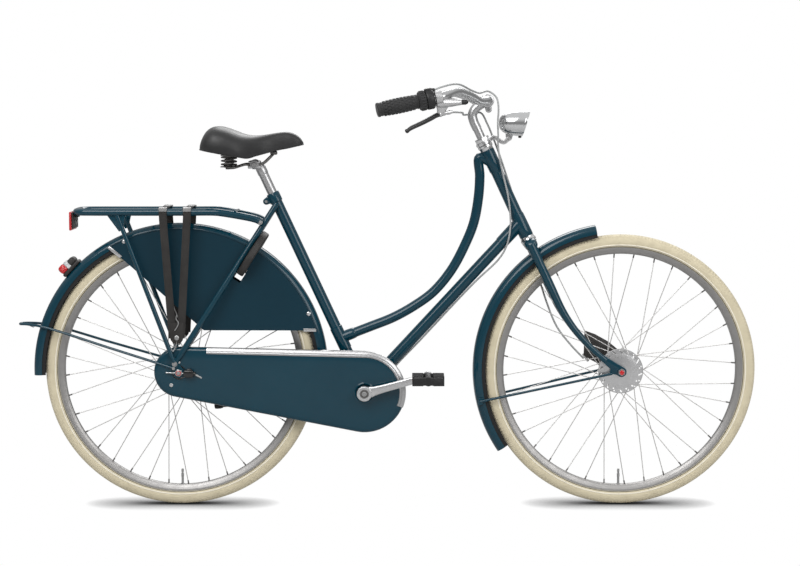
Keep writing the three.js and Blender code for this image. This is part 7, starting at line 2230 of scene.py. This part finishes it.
@dataclass
class Studio:
    """A pale floor, a white surround and three soft lights, with the camera of the photograph."""

    camera_place: Triple = (0.034, -5.2, 1.05)
    aim: Triple = (0.034, 0, 0.583)
    lens_mm: float = 89.9
    horizon: float = 0.3
    zenith: float = 0.85
    floor_reach: float = 60
    shadow_reach: float = 0.085
    shadow_power: float = 2.8

    def build(self) -> None:
        """Makes the world, the floor, the lights and the camera."""
        self.world()
        self.floor()
        for name, place, size, power in (("key", (-1.6, -3.2, 3.4), 2.6, 110),
                                         ("fill", (2.8, -3.0, 2.2), 2.4, 60),
                                         ("back", (0.4, 2.6, 3.0), 2.2, 60)):
            self.lamp(name, place, size, power)
        self.camera()
        bpy.context.scene.view_settings.view_transform = "Standard"

    def point(self, thing: bpy.types.Object) -> None:
        """Turns a light or camera towards the bike."""
        thing.rotation_euler = (Vector(self.aim) - thing.location).to_track_quat("-Z", "Y").to_euler()

    def camera(self) -> None:
        """The camera at the photograph's place."""
        select_none()
        bpy.ops.object.camera_add(location=self.camera_place)
        camera = bpy.context.object
        self.point(camera)
        camera.data.lens = self.lens_mm
        camera.data.clip_end = 200
        bpy.context.scene.camera = camera

    def lamp(self, name: str, place: Triple, size: float, power: float) -> None:
        """One soft square light that shines at the bike."""
        select_none()
        bpy.ops.object.light_add(type="AREA", location=place)
        light = bpy.context.object
        light.name = name
        light.data.size = size
        light.data.energy = power
        self.point(light)

    def world(self) -> None:
        """White to the camera and through glass, dimmer as light and in reflections."""
        world = bpy.data.worlds.new("surround")
        world.use_nodes = True
        bpy.context.scene.world = world
        nodes, links = world.node_tree.nodes, world.node_tree.links
        nodes.clear()
        seen = nodes.new("ShaderNodeLightPath")
        bright, strength = nodes.new("ShaderNodeMath"), nodes.new("ShaderNodeMath")
        way, sky = nodes.new("ShaderNodeSeparateXYZ"), nodes.new("ShaderNodeMapRange")
        light = nodes.new("ShaderNodeBackground")
        bright.operation = strength.operation = "MAXIMUM"
        sky.interpolation_type = "SMOOTHSTEP"
        for name, value in {"From Min": 0.05, "From Max": 0.75, "To Min": self.horizon,
                            "To Max": self.zenith}.items():
            sky.inputs[name].default_value = value
        light.inputs["Color"].default_value = (1, 1, 1, 1)
        for output, into in ((seen.outputs["Is Camera Ray"], bright.inputs[0]),
                             (seen.outputs["Is Transmission Ray"], bright.inputs[1]),
                             (nodes.new("ShaderNodeTexCoord").outputs["Generated"], way.inputs[0]),
                             (way.outputs["Z"], sky.inputs["Value"]),
                             (bright.outputs[0], strength.inputs[0]),
                             (sky.outputs[0], strength.inputs[1]),
                             (strength.outputs[0], light.inputs["Strength"]),
                             (light.outputs[0], nodes.new("ShaderNodeOutputWorld").inputs[0])):
            links.new(output, into)

    def floor(self) -> None:
        """A floor that is white to the camera but for the shadow under the tyres."""
        select_none()
        bpy.ops.mesh.primitive_plane_add(size=self.floor_reach, location=(0, 0, 0))
        floor = bpy.context.object
        floor.name = "studio_floor"
        graph = Graph("studio_white")
        graph.paint(base_color=(0.5, 0.5, 0.5, 1), roughness=0.9, specular_ior_level=0)
        output = graph.surface.outputs[0].links[0].to_node
        shade = graph.node("ShaderNodeAmbientOcclusion", {"samples": 16}, {"Distance": self.shadow_reach})
        paper = Number(graph, shade.outputs["AO"]).maths("POWER", self.shadow_power)
        paper = paper.maths("MULTIPLY", 1.03).maths("MINIMUM", 1.0)
        glow = graph.node("ShaderNodeEmission", {}, {"Strength": paper})
        seen = graph.node("ShaderNodeLightPath", {}, {}).outputs["Is Camera Ray"]
        mixed = graph.node("ShaderNodeMixShader", {}, {0: seen, 1: graph.surface.outputs[0],
                                                       2: glow.outputs[0]})
        graph.links.new(mixed.outputs[0], output.inputs[0])
        floor.data.materials.append(graph.material)


# The finishes of the CAD nodes that no piece of the scene replaces
NODE_FINISHES = {
    "petrol_enamel": ["chain_case_inner"],
    "petrol_sheet": ["coat_guard_left", "coat_guard_right"],
    "zinc_steel": ["front_axle", "chain", "rear_sprocket", "lock_shackle"],
}


def finish_nodes(nodes: dict[str, bpy.types.Object]) -> None:
    """Gives every CAD node that stays in sight its finish."""
    for finish, names in NODE_FINISHES.items():
        for name in names:
            materials = nodes[name].data.materials
            materials.clear()
            materials.append(FINISH[finish])


def main() -> None:
    """Builds the bike's looks over its frame."""
    logging.basicConfig(level=logging.INFO, format="%(message)s")
    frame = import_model()
    finish_nodes(frame["nodes"])
    Studio().build()
    parts = [
        Cables(SHIFT_ROUTE, BRAKE_ROUTE),
        Wheel("front", FRONT_AXLE, 0.017, "front_wheel", 0.037, -0.033),
        Wheel("rear", REAR_AXLE, 0.031, "rear_wheel", 0.04, -0.036),
        FrontBrake(),
        FrameTubes(),
        GuardStays(),
        Fork(),
        Mudguard("front_mudguard", FRONT_AXLE, "steering", 100, 214),
        Mudguard("rear_mudguard", REAR_AXLE, "frame", 4.5, 182),
        Carrier(),
        Straps(),
        RearLights(),
        CoatGuards(),
        ChainCase(),
        Cranks(),
        Cockpit(),
        Headlamp(),
        Saddle(),
        Stand(),
        RingLock(),
    ]
    for part in parts:
        part.build()
    select_none()


if __name__ == "__main__":
    main()
